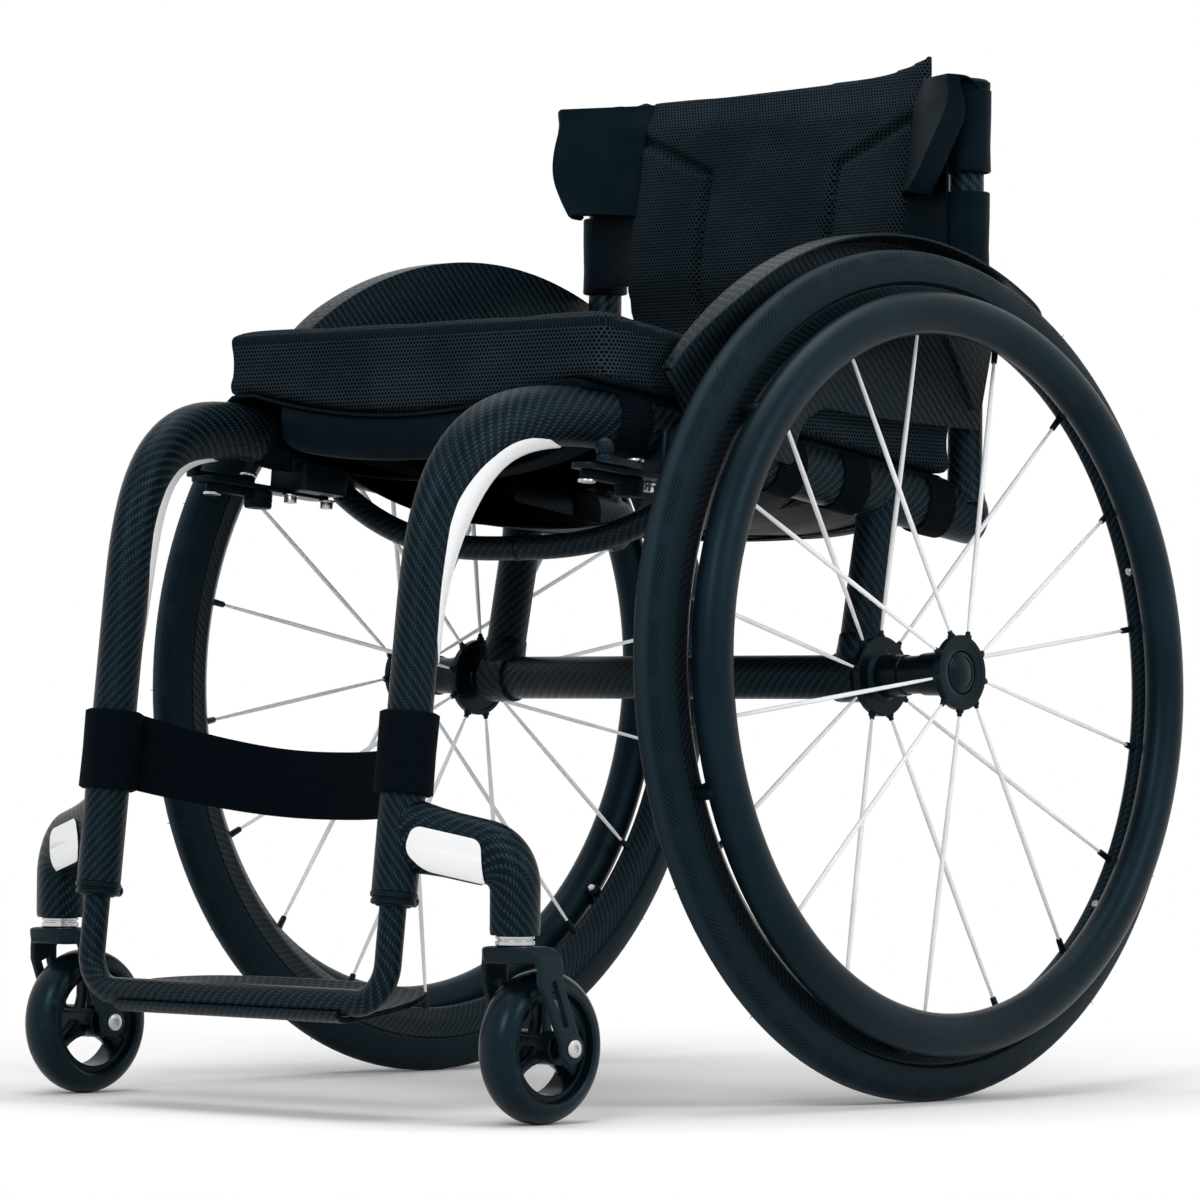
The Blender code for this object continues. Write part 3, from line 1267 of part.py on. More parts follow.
def build_canes(carbon, fabric):
    add_pair("back_cane", cut(cane(), frame_tube(FIT_GAP)), carbon)
    bore = cane(FIT_GAP)
    tube = cylinder((CANE_SPREAD, CANE_REACH, SLEEVE_BOTTOM_HEIGHT),
                    (CANE_SPREAD, CANE_REACH, SLEEVE_TOP_HEIGHT), SLEEVE_RADIUS)
    panel_y = back_face(BACK_HALF_WIDTH, SLEEVE_TOP_HEIGHT) + BACK_THICKNESS / 2
    web = block((BACK_HALF_WIDTH + FIT_GAP, panel_y - SLEEVE_WEB_THICKNESS / 2, SLEEVE_BOTTOM_HEIGHT + 0.006),
                (CANE_SPREAD, panel_y + SLEEVE_WEB_THICKNESS / 2, SLEEVE_TOP_HEIGHT - 0.006))
    add_pair("cane_sleeve", cut(joined(tube, web), bore), fabric)
    pocket = cylinder((CANE_SPREAD, CANE_REACH, WING_BOTTOM_HEIGHT + 0.010),
                      (CANE_SPREAD, CANE_REACH, WING_TOP_HEIGHT), WING_POCKET_RADIUS)
    add_pair("back_wing", cut(joined(wing_flap(), pocket), cane(FIT_GAP)), fabric)


def wing_flap():
    """The sheet that runs from the panel's edge past the front of the cane."""
    inner_x = BACK_HALF_WIDTH + FIT_GAP
    heights = (WING_BOTTOM_HEIGHT, WING_BOTTOM_HEIGHT + 0.010, WING_BOTTOM_HEIGHT + 0.028,
               WING_TOP_HEIGHT - 0.004, WING_TOP_HEIGHT)
    front = []
    rear = []
    for z in heights:
        low_round = 1.0 - eased((z - WING_BOTTOM_HEIGHT) / 0.035)
        outer_x = WING_OUTER_X - 0.018 * low_round
        start = back_face(BACK_HALF_WIDTH, z)
        line = []
        for share in (0.0, 0.25, 0.5, 0.75, 1.0):
            x = inner_x + (outer_x - inner_x) * share
            y = start + (WING_OUTER_REACH - start) * share ** 0.9
            line.append(Vector((x, y, z)))
        front.append(line)
        rear.append([point + Vector((0.0, WING_THICKNESS, 0.0)) for point in line])
    return slab(front, rear)


# Side guards
def guard_point(radius, angle):
    return Vector((GUARD_INNER_FACE, radius * math.cos(angle), AXLE_HEIGHT + radius * math.sin(angle)))


def build_guards(material):
    """A flat plate with a fender lip over the tyre, cut away below beside the cushion."""
    steps = 12
    sweep = GUARD_REAR_ANGLE - GUARD_FRONT_ANGLE
    angles = [GUARD_FRONT_ANGLE + sweep * step / steps for step in range(steps + 1)]
    outline = [guard_point(GUARD_RADIUS + GUARD_THICKNESS, angle) for angle in angles]
    for place in (GUARD_REAR_FOOT, *reversed(GUARD_WINDOW), GUARD_HEEL, GUARD_FRONT_FOOT):
        outline.append(Vector((GUARD_INNER_FACE, *place)))
    plate = extruded(outline, Vector((GUARD_THICKNESS, 0.0, 0.0)))
    lip_width = GUARD_LIP_OUTER_FACE - GUARD_INNER_FACE
    stations = []
    for index, angle in enumerate(angles):
        narrow = 0.45 + 0.55 * min(1.0, index / 3, (steps - index) / 2)
        centre = guard_point(GUARD_RADIUS + GUARD_THICKNESS / 2, angle)
        centre.x += lip_width * narrow / 2
        along = Vector((0.0, math.sin(angle), -math.cos(angle)))
        stations.append((centre, along, X_AXIS, lip_width * narrow, GUARD_THICKNESS))
    lip = swept_strip(stations)
    guard = joined(plate, lip)
    bosses = ((RAIL_SPREAD, -GUARD_FRONT_BOSS_REACH, rail_z(-GUARD_FRONT_BOSS_REACH), frame_tube(FIT_GAP)),
              (CANE_SPREAD, CANE_REACH, GUARD_REAR_BOSS_HEIGHT, cane(FIT_GAP)))
    for x, y, z, carrier in bosses:
        end_x = GUARD_INNER_FACE + GUARD_THICKNESS / 2
        boss = cylinder((x, y, z), (end_x, y, z), GUARD_BOSS_RADIUS, 12)
        inner_side = block((0.0, y - GUARD_RADIUS, z - GUARD_RADIUS), (x, y + GUARD_RADIUS, z + GUARD_RADIUS))
        guard = joined(guard, cut(boss, inner_side, carrier))
    add_pair("side_guard", guard, material)


# Calf strap
def build_calf_strap(material):
    """A webbing loop round each leg and the slack band between them."""
    left = leg_sleeve(STRAP_BOTTOM_HEIGHT, STRAP_TOP_HEIGHT, FIT_GAP + STRAP_THICKNESS)
    back = LEG_DEPTH / 2 + FIT_GAP
    front = []
    rear = []
    for height, sag in ((STRAP_BOTTOM_HEIGHT, STRAP_BOTTOM_SAG), (STRAP_TOP_HEIGHT, STRAP_TOP_SAG)):
        line = []
        for step in range(-STRAP_STEPS, STRAP_STEPS + 1):
            share = step / STRAP_STEPS
            slack = 1.0 - abs(share) ** STRAP_SAG_POWER
            y = leg_y(height) + back + STRAP_SAG_BACK * slack
            line.append(Vector((LEG_SPREAD * share, y, height - sag * slack)))
        front.append(line)
        rear.append([point + Vector((0.0, STRAP_THICKNESS, 0.0)) for point in line])
    legs = frame_tube(FIT_GAP)
    right = mirrored(left)
    strap = cut(joined(slab(front, rear), left, right), mirrored(legs), legs)
    add_piece("calf_strap", strap, material)


# Brakes
def flat_arm(pivot, length, angle, width, low, thickness):
    """A flat arm with round ends, from its pivot outwards."""
    outline = []
    for end in (0, 1):
        first = math.pi / 2 if end == 0 else -math.pi / 2
        for step in range(5):
            turn = first + math.pi * step / 4
            point = Vector((length * end + width / 2 * math.cos(turn), width / 2 * math.sin(turn), 0.0))
            point.rotate(Matrix.Rotation(angle, 3, 'Z'))
            outline.append(Vector((pivot[0], pivot[1], low)) + point)
    return extruded(outline, Vector((0.0, 0.0, thickness)))


def upright_pin(pivot, low, high, radius, sides=TUBE_SIDES):
    return cylinder((pivot[0], pivot[1], low), (pivot[0], pivot[1], high), radius, sides)


def brake_tilt():
    """Tips the brake, laid out level, to the slope of its bar."""
    pivot = Matrix.Translation((0.0, -BRAKE_TILT_REACH, BRAKE_BAR_TOP))
    return pivot @ Matrix.Rotation(-BRAKE_TILT, 4, 'X') @ pivot.inverted()


def build_brake_clamp(material):
    """The bar under the rail with its cradle, screws and both pivot pins."""
    top = BRAKE_BAR_TOP
    low = top - BRAKE_BAR_THICKNESS
    left = BRAKE_BAR_SPREAD - BRAKE_BAR_WIDTH / 2
    right = BRAKE_BAR_SPREAD + BRAKE_BAR_WIDTH / 2
    bar = block((left, -BRAKE_BAR_FRONT_REACH, low), (right, -BRAKE_BAR_REAR_REACH, top))
    half = FRAME_TUBE_WIDTH / 2 + BRAKE_CRADLE_WALL
    cradle_y = -BRAKE_CRADLE_REACH
    cradle = block((RAIL_SPREAD - half, cradle_y - BRAKE_CRADLE_LENGTH / 2, top - BRAKE_BAR_THICKNESS / 2),
                   (RAIL_SPREAD + half, cradle_y + BRAKE_CRADLE_LENGTH / 2, rail_z(cradle_y)))
    lever_high = top + RUNNING_GAP * 2 + BRAKE_LEVER_THICKNESS
    arm_low = low - RUNNING_GAP * 2 - BRAKE_ARM_THICKNESS
    pins = [upright_pin(BRAKE_LEVER_PIVOT, low + BRAKE_BAR_THICKNESS / 2,
                        lever_high + BRAKE_HEAD_THICKNESS / 2, BRAKE_PIN_RADIUS),
            upright_pin(BRAKE_SHOE_PIVOT, arm_low - BRAKE_HEAD_THICKNESS / 2,
                        top - BRAKE_BAR_THICKNESS / 2, BRAKE_PIN_RADIUS)]
    heads = [upright_pin(BRAKE_LEVER_PIVOT, lever_high, lever_high + BRAKE_HEAD_THICKNESS, BRAKE_HEAD_RADIUS),
             upright_pin(BRAKE_SHOE_PIVOT, arm_low - BRAKE_HEAD_THICKNESS, arm_low, BRAKE_HEAD_RADIUS)]
    screws = [upright_pin((RAIL_SPREAD, -reach), low - BRAKE_SCREW_HEIGHT, low + BRAKE_BAR_THICKNESS / 2,
                          BRAKE_SCREW_RADIUS, 6) for reach in BRAKE_SCREW_REACHES]
    clamp = joined(bar, cradle, gathered(pins), gathered(heads), gathered(screws))
    add_pair("brake_clamp", cut(placed(clamp, brake_tilt()), frame_tube(FIT_GAP)), material)


def build_brakes(black, rubber):
    """A ball-ended lever above the bar and, linked to it, a shoe arm below the bar."""
    build_brake_clamp(black)
    tilt = brake_tilt()
    low = BRAKE_BAR_TOP + RUNNING_GAP
    handle = flat_arm(BRAKE_LEVER_PIVOT, BRAKE_LEVER_LENGTH, BRAKE_LEVER_ANGLE, BRAKE_LEVER_WIDTH,
                      low, BRAKE_LEVER_THICKNESS)
    end = Vector((BRAKE_LEVER_LENGTH, 0.0, 0.0))
    end.rotate(Matrix.Rotation(BRAKE_LEVER_ANGLE, 3, 'Z'))
    ball_centre = Vector((*BRAKE_LEVER_PIVOT, low + BRAKE_BALL_RISE)) + end
    ball = bmesh.new()
    bmesh.ops.create_uvsphere(ball, u_segments=10, v_segments=6, radius=BRAKE_BALL_RADIUS,
                              matrix=Matrix.Translation(ball_centre))
    hole = upright_pin(BRAKE_LEVER_PIVOT, low - BRAKE_LEVER_THICKNESS, low + BRAKE_LEVER_THICKNESS * 2,
                       BRAKE_PIN_RADIUS + RUNNING_GAP)
    lever = placed(cut(joined(handle, ball), hole), tilt)
    add_pair("brake_lever", lever, black, tilt @ Vector((*BRAKE_LEVER_PIVOT, low)))

    high = BRAKE_BAR_TOP - BRAKE_BAR_THICKNESS - RUNNING_GAP
    arm = flat_arm(BRAKE_SHOE_PIVOT, BRAKE_ARM_LENGTH, BRAKE_ARM_ANGLE, BRAKE_LEVER_WIDTH,
                   high - BRAKE_ARM_THICKNESS, BRAKE_ARM_THICKNESS)
    end = Vector((BRAKE_ARM_LENGTH, 0.0, 0.0))
    end.rotate(Matrix.Rotation(BRAKE_ARM_ANGLE, 3, 'Z'))
    pad_centre = Vector((*BRAKE_SHOE_PIVOT, 0.0)) + end
    pad = upright_pin(pad_centre, high - BRAKE_PAD_HEIGHT, high, BRAKE_PAD_RADIUS, 16)
    hole = upright_pin(BRAKE_SHOE_PIVOT, high - BRAKE_ARM_THICKNESS * 2, high + BRAKE_ARM_THICKNESS,
                       BRAKE_PIN_RADIUS + RUNNING_GAP)
    shoe = placed(cut(joined(arm, pad), hole), tilt)
    add_pair("brake_shoe", shoe, rubber, tilt @ Vector((*BRAKE_SHOE_PIVOT, high)))


# White inserts
def build_inserts(material):
    """A curved strip in the inside of the frame's bend and a panel on the caster arm."""
    stations = frame_stations()[INSERT_START_STEPS:INSERT_END_STEPS + 1]
    angles = [2.0 * math.pi * step / TUBE_SIDES for step in LEG_INSERT_SIDES]
    grids = [[[section_point(station, angle, grow=grow) for angle in angles] for station in stations]
             for grow in (FIT_GAP + INSERT_THICKNESS, FIT_GAP)]
    add_pair("leg_insert", slab(*grids), material)

    start, corner = arm_points()[:2]
    across = arm_across()
    run = (corner - start).normalized()
    up = run.cross(across).normalized()
    if up.z < 0:
        up = -up
    face = across if across.y < 0 else -across
    middle = start.lerp(corner, 0.5) + face * (ARM_WIDTH / 2) - up * ARM_INSERT_DROP
    half = run * ARM_INSERT_LENGTH / 2
    high = up * ARM_INSERT_HEIGHT / 2
    slant = run * ARM_INSERT_HEIGHT * 0.2
    outline = [middle - half * 0.9 - high * 0.2 - slant, middle - half * 0.6 - high,
               middle + half * 0.85 - high + slant, middle + half - high * 0.7 + slant,
               middle + half * 0.9 + high * 0.8, middle + half * 0.7 + high,
               middle - half * 0.8 + high, middle - half + high * 0.6]
    panel = extruded([point - face * 0.004 for point in outline], face * (0.004 + INSERT_THICKNESS))
    panel = cut(panel, caster_arm(FIT_GAP), frame_tube(FIT_GAP))
    add_pair("arm_insert", panel, material)


def centre_footprint():
    """Moves the whole chair so that the origin is in the middle of its footprint."""
    bpy.context.view_layer.update()
    ends = []
    for piece in bpy.data.objects:
        ends += [(piece.matrix_world @ vert.co).y for vert in piece.data.vertices]
    middle = (min(ends) + max(ends)) / 2
    for piece in bpy.data.objects:
        piece.location.y -= middle


def build():
    clear_scene()
    carbon = make_material("carbon", CARBON, 0.32)
    black = make_material("black_metal", BLACK_METAL, 0.35, 0.6)
    silver = make_material("silver_metal", SILVER, 0.28, 1.0)
    white = make_material("white_insert", WHITE, 0.3)
    rubber = make_material("rubber", RUBBER, 0.6)
    fabric = make_material("fabric", FABRIC, 0.9)
    build_side_frames(carbon)
    build_caster_arms(carbon)
    build_axle_carrier(carbon)
    build_seat_brace(carbon)
    build_rear_wheels(rubber, carbon, black, silver)
    build_casters(rubber, black, silver)
    build_footrest(carbon, black)
    build_sling(fabric)
    build_cushion(fabric)
    build_back(fabric)
    build_canes(carbon, fabric)
    build_guards(carbon)
    build_calf_strap(fabric)
    build_brakes(black, rubber)
    build_inserts(white)
    centre_footprint()


build()
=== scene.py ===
import math

import bmesh
import bpy
from mathutils import Matrix, Vector


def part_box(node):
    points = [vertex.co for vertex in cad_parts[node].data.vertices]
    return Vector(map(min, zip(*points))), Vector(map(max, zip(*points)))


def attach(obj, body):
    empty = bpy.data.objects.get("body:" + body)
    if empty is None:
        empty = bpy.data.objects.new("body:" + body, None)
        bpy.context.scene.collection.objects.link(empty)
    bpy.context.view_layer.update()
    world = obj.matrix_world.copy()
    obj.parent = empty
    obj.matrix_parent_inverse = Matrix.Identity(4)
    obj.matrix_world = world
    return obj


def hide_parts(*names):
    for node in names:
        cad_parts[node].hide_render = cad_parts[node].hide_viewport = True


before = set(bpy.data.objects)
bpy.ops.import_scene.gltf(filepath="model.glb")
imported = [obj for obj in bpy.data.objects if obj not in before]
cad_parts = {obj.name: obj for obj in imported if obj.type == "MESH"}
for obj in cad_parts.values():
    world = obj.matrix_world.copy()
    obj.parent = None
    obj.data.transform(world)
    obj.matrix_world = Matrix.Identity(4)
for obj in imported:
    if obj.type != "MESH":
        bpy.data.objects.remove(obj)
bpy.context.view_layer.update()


# Side frames
# Each is one bent carbon tube: a leg, a soft bend and a seat rail that deepens behind the bend.
# Twill cloth is wound on and lacquered satin. All later places are told from the rear axle line.
class Wire:
    """An output of a shader node; sums on it become Math nodes."""

    def __init__(self, tree, socket=None):
        self.tree = tree
        self.socket = socket

    def node(self, kind, settings=None, inputs=None, output=0):
        """Adds any node: its settings first, then what its sockets hold or are linked to."""
        made = self.tree.nodes.new(kind)
        for name, value in (settings or {}).items():
            if name == "stops":
                ends = made.color_ramp.elements
                ends[0].position, ends[0].color = value[0]
                ends[1].position, ends[1].color = value[-1]
                for place, colour in value[1:-1]:
                    ends.new(place).color = colour
            else:
                setattr(made, name, value)
        for name, value in (inputs or {}).items():
            if isinstance(value, Wire):
                self.tree.links.new(value.socket, made.inputs[name])
            else:
                made.inputs[name].default_value = value
        return Wire(self.tree, made.outputs[output])

    def maths(self, operation, *others):
        return self.node("ShaderNodeMath", {"operation": operation},
                         dict(enumerate((self,) + others)))

    def __add__(self, other):
        return self.maths('ADD', other)

    __radd__ = __add__

    def __mul__(self, other):
        return self.maths('MULTIPLY', other)

    __rmul__ = __mul__

    def __sub__(self, other):
        return self.maths('SUBTRACT', other)

    def __rsub__(self, other):
        return self.maths('MULTIPLY_ADD', -1.0, other)

    def __truediv__(self, other):
        return self.maths('DIVIDE', other)

    def __mod__(self, other):
        return self.maths('FLOORED_MODULO', other)

    def __pow__(self, other):
        return self.maths('POWER', other)

    def __lt__(self, other):
        return self.maths('LESS_THAN', other)

    def __gt__(self, other):
        return self.maths('GREATER_THAN', other)

    def __abs__(self):
        return self.maths('ABSOLUTE')

    def floor(self):
        return self.maths('FLOOR')

    def fraction(self):
        return self.maths('FRACT')

    def between(self, low, high):
        """0 below low, 1 above high, soft in between."""
        return self.node("ShaderNodeMapRange", {"interpolation_type": 'SMOOTHSTEP'},
                         {"Value": self, "From Min": low, "From Max": high})

    def blend(self, first, second):
        """The first colour where this is 0 and the second where it is 1."""
        return self.node("ShaderNodeMix", {"data_type": 'RGBA'},
                         {0: self, 6: first, 7: second}, 2)

    def bumped(self, strength, distance):
        return self.node("ShaderNodeBump", None,
                         {"Strength": strength, "Distance": distance, "Height": self})

    def parts(self):
        """The three numbers of a vector."""
        return [self.node("ShaderNodeSeparateXYZ", None, {0: self}, axis) for axis in range(3)]


def colour(red, green, blue):
    return (red, green, blue, 1.0)


COOL = colour(0.42, 0.78, 1.0)
WHITE = colour(1.0, 1.0, 1.0)
COOL_BELOW = 0.3


def finish(name, specular, varying, even=None):
    """A material: even values sit on the shader, and varying(wire) gives what changes over it."""
    material = bpy.data.materials.new(name)
    material.use_nodes = True
    shader = material.node_tree.nodes["Principled BSDF"]
    tint = COOL if specular < COOL_BELOW else WHITE
    settings = {"Specular IOR Level": specular, "Specular Tint": tint, **(even or {})}
    for socket, value in settings.items():
        shader.inputs[socket].default_value = value
    for socket, wire in varying(Wire(material.node_tree)).items():
        material.node_tree.links.new(wire.socket, shader.inputs[socket])
    return material


def surface_metres(wire):
    """The two distances along a piece's own surface, in metres."""
    return wire.node("ShaderNodeUVMap").parts()[:2]


def place_in_space(wire):
    return wire.node("ShaderNodeTexCoord", None, None, 3)


def cloudiness(wire, scale, detail=3.0):
    """A soft random value about 0.5 that drifts over the piece."""
    return wire.node("ShaderNodeTexNoise", None,
                     {"Vector": place_in_space(wire), "Scale": scale, "Detail": detail})


def mottled(first, second, edges, drift, rough, grain, bump):
    """Two near colours that drift into each other, with a fine grain over both."""
    def varying(wire):
        broad = cloudiness(wire, drift)
        return {"Base Color": broad.between(*edges).blend(colour(*first), colour(*second)),
                "Roughness": rough[0] + broad * rough[1],
                "Normal": cloudiness(wire, grain, 2.0).bumped(*bump)}
    return varying


def black_look(base, rough=0.30, grain=420.0):
    """Anodised, moulded or painted black with a faint grain and handling marks."""
    lighter = [part * 1.7 for part in base]
    return mottled(base, lighter, (0.35, 0.75), 11.0, (rough, 0.16), grain, (0.10, 0.00008))


TOW = 0.0019
# The first colour is painted shade where each tow's rounded sides and ends fall away. The warp is
# painted lighter than the weft as painted sheen that changes with the tows' direction.
TWILL_COLOURS = ((0.0004, 0.0012, 0.0020), (0.0130, 0.0245, 0.0330), (0.0026, 0.0060, 0.0092))


def twill_over_under(wire, tow):
    """Height and upper-tow mask of cloth whose tows pass over two and under two."""
    u, v = surface_metres(wire)
    x = u / tow
    y = v / tow
    column = x.floor()
    row = y.floor()
    warp_up = ((column + row) % 4.0) < 2.0
    warp_run = ((y + column) % 4.0) - 1.0
    weft_run = ((x + row) % 4.0) - 3.0
    warp_side = x.fraction() - 0.5
    weft_side = y.fraction() - 0.5
    warp_height = 1.0 - warp_side * warp_side * 3.0 - warp_run * warp_run * 0.5
    weft_height = 1.0 - weft_side * weft_side * 3.0 - weft_run * weft_run * 0.5
    return weft_height + warp_up * (warp_height - weft_height), warp_up


def twill_look(bright=1.0, tow=TOW):
    """Warp and weft in dark teals, with painted shade at each tow's sides and ends and painted
    sheen on the warp.
    """
    low, warp, weft = [colour(*[part * bright for part in base]) for base in TWILL_COLOURS]

    def varying(wire):
        height, warp_up = twill_over_under(wire, tow)
        # The base colour holds painted shade where a tow falls away and painted sheen on the upper
        # warp.
        return {"Base Color": height.between(0.15, 0.95).blend(low, warp_up.blend(weft, warp)),
                "Roughness": 0.30 + cloudiness(wire, 14.0) * 0.12 - warp_up * 0.06,
                "Normal": height.bumped(0.55, 0.00026)}
    return varying


carbon = finish("satin_twill_carbon", 0.10, twill_look())

AXLE_Y = sum(corner.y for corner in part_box("rear_tyre_left")) / 2
X_AXIS = Vector((1.0, 0.0, 0.0))
Y_AXIS = Vector((0.0, 1.0, 0.0))
Z_AXIS = Vector((0.0, 0.0, 1.0))
SHARP = 1.2


def eased(value):
    """0 to 1 with soft ends."""
    value = min(max(value, 0.0), 1.0)
    return value * value * (3.0 - 2.0 * value)


def mesh_of(name, bm):
    mesh = bpy.data.meshes.new(name)
    bm.to_mesh(mesh)
    bm.free()
    return mesh


def put(name, data):
    """A new object in the scene."""
    item = bpy.data.objects.new(name, data)
    bpy.context.scene.collection.objects.link(item)
    return item


def outward(bm):
    """Turns all faces outwards."""
    bmesh.ops.recalc_face_normals(bm, faces=bm.faces)
    return bm


def moved(bm, matrix):
    bmesh.ops.transform(bm, matrix=matrix, verts=bm.verts)
    return bm


def bevelled(bm, items, offset, segments, affect='EDGES'):
    bmesh.ops.bevel(bm, geom=items, offset=offset, segments=segments, affect=affect,
                    profile=0.5, material=-1)


def sharp_edges(bm):
    return [edge for edge in bm.edges if edge.calc_face_angle(0.0) > SHARP]


def thick(bm, thickness):
    """A sheet given a wall on its inner side."""
    bmesh.ops.solidify(bm, geom=bm.faces[:], thickness=thickness)
    return outward(bm)


def lay_map(bm, metres):
    """Gives each face corner its two distances in metres, worked out from its point."""
    uv = bm.loops.layers.uv.new("UVMap")
    for face in bm.faces:
        for loop in face.loops:
            loop[uv].uv = metres(loop.vert.co)


def laid_grid(columns, rows, place, metres):
    """A grid whose points go where place(x, y) says, x and y from -1 to 1."""
    bm = bmesh.new()
    bmesh.ops.create_grid(bm, x_segments=columns, y_segments=rows, size=1.0)
    lay_map(bm, lambda co: (co.x * metres[0] / 2, co.y * metres[1] / 2))
    for vert in bm.verts:
        vert.co = place(vert.co.x, vert.co.y)
    return outward(bm)


def section_point(station, turn, squareness=1.0, grow=0.0):
    """A point round a tube's section: centre, along, across, width and depth."""
    centre, along, across, width, depth = station
    along = along.normalized()
    across = (across - along * across.dot(along)).normalized()
    up = along.cross(across)
    wide = math.copysign(abs(math.cos(turn)) ** squareness, math.cos(turn))
    deep = math.copysign(abs(math.sin(turn)) ** squareness, math.sin(turn))
    return centre + across * wide * (width / 2 + grow) + up * deep * (depth / 2 + grow)


def turning_form():
    """An empty form whose points keep their turn round the piece and their run along it."""
    bm = bmesh.new()
    for name in ("turn", "run"):
        bm.verts.layers.float.new(name)
    return bm, bm.verts.layers.float["turn"], bm.verts.layers.float["run"]


def surface_map(bm, turn, run, girth):
    """Gives faces their distances in metres: round the piece, and along it."""
    uv = bm.loops.layers.uv.new("UVMap")
    for face in bm.faces:
        turns = [loop.vert[turn] for loop in face.loops]
        for loop, angle in zip(face.loops, turns):
            if max(turns) - min(turns) > math.pi and angle < 0.0:
                angle += 2.0 * math.pi
            loop[uv].uv = (angle / (2.0 * math.pi) * girth, loop.vert[run])


def swept(stations, sides=32, squareness=1.0, repeat=4 * TOW, capped=True):
    """A tube drawn out ring by ring through its stations."""
    bm, turn, run = turning_form()
    ring = bmesh.ops.create_circle(bm, segments=sides, radius=1.0)["verts"]
    for vert in ring:
        vert[turn] = math.atan2(vert.co.y, vert.co.x)
    edges = list(bm.edges)
    first = edges
    length = 0.0
    for index, station in enumerate(stations):
        if index:
            length += (station[0] - stations[index - 1][0]).length
            made = bmesh.ops.extrude_edge_only(bm, edges=edges)["geom"]
            ring = [item for item in made if isinstance(item, bmesh.types.BMVert)]
            edges = [item for item in made if isinstance(item, bmesh.types.BMEdge)]
        for vert in ring:
            vert.co = section_point(station, vert[turn], squareness)
            vert[run] = length
    if capped:
        for ends in (first, edges):
            bmesh.ops.contextual_create(bm, geom=ends)
    middle = stations[len(stations) // 2]
    girth = math.pi * (middle[3] + middle[4]) / 2
    surface_map(bm, turn, run, max(round(girth / repeat), 1) * repeat)
    return outward(bm)


def stations_along(points, across, width, depth):
    """One section carried along a run of points; width and depth may be lists."""
    stations = []
    for index, point in enumerate(points):
        ahead = points[min(index + 1, len(points) - 1)]
        behind = points[max(index - 1, 0)]
        wide = width[index] if isinstance(width, list) else width
        deep = depth[index] if isinstance(depth, list) else depth
        stations.append((point, ahead - behind, across, wide, deep))
    return stations


def straight(start, end, radii, sides=32, across=None):
    """A straight tube of one radius, or of (share, radius) steps along it."""
    start = Vector(start)
    end = Vector(end)
    along = end - start
    if across is None:
        across = Z_AXIS if abs(along.normalized().z) < 0.9 else X_AXIS
    steps = radii if isinstance(radii, (list, tuple)) else ((0.0, radii), (1.0, radii))
    return swept([(start.lerp(end, share), along, across, size * 2, size * 2)
                  for share, size in steps], sides)


def softly_ended(start, end, radius, ease, sides=32):
    """A straight rod whose ends are rounded over by ease metres."""
    share = ease / (Vector(end) - Vector(start)).length
    half = [(0.0, radius - ease), (share * 0.3, radius - ease * 0.3), (share, radius)]
    return straight(start, end, half + [(1.0 - at, size) for at, size in half[::-1]], sides)


def shifted(along, radius, steps):
    """Places of a turned profile, told from one place on it."""
    return [(along + a, radius + r) for a, r in steps]


def both_ends(half):
    """Half a profile and its mirror image, joined where the half ends."""
    return [(-along, radius) for along, radius in half] + half[-2::-1]


def turned(profile, steps, closed=True):
    """Spins (along, radius) points about X; a closed profile makes a ring."""
    bm, turn, run = turning_form()
    verts = [bm.verts.new((along, 0.0, radius)) for along, radius in profile]
    length = 0.0
    for low, high in zip(verts, verts[1:]):
        length += (high.co - low.co).length
        high[run] = length
    edges = [bm.edges.new(pair) for pair in zip(verts, verts[1:])]
    if closed:
        edges.append(bm.edges.new((verts[-1], verts[0])))
    bmesh.ops.spin(bm, geom=verts + edges, cent=(0, 0, 0), axis=(1, 0, 0), dvec=(0, 0, 0),
                   angle=2.0 * math.pi, steps=steps, use_merge=True, use_duplicate=False)
    bmesh.ops.remove_doubles(bm, verts=bm.verts, dist=1e-6)
    outward(bm)
    for vert in bm.verts:
        vert[turn] = math.atan2(vert.co.y, vert.co.z)
    surface_map(bm, turn, run, 2.0 * math.pi * max(radius for along, radius in profile))
    return bm


def gathered(*shapes):
    """Several shapes held in one mesh."""
    group = bmesh.new()
    for shape in shapes:
        mesh = mesh_of("shape", shape)
        group.from_mesh(mesh)
        bpy.data.meshes.remove(mesh)
    return group


def add_piece(name, bm, material, body, nodes, crease=38.0):
    """Puts a finished shape in the scene on its body, in the stead of CAD nodes."""
    mesh = mesh_of(name, bm)
    mesh.shade_smooth()
    mesh.set_sharp_from_angle(angle=math.radians(crease))
    mesh.materials.append(material)
    piece = put(name, mesh)
    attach(piece, body)
    if nodes:
        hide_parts(*nodes)
    return piece


def mirrored(bm):
    other = bm.copy()
    moved(other, Matrix.Scale(-1.0, 4, X_AXIS))
    bmesh.ops.reverse_faces(other, faces=other.faces)
    return other


def add_pair(name, bm, material, body, nodes=(), crease=38.0):
    """The sitter's left piece and its mirror image; a body stem other than frame takes the side."""
    other = mirrored(bm)
    for side, shape in (("left", bm), ("right", other)):
        rides_on = body if body == "frame" else f"{body}_{side}"
        stands_for = [f"{node}_{side}" for node in nodes]
        add_piece(f"{name}_{side}", shape, material, rides_on, stands_for, crease)


def on_axle(x, y, z):
    """A place told from the rear axle line, as one in the row's frame."""
    return Vector((x, y + AXLE_Y, z))


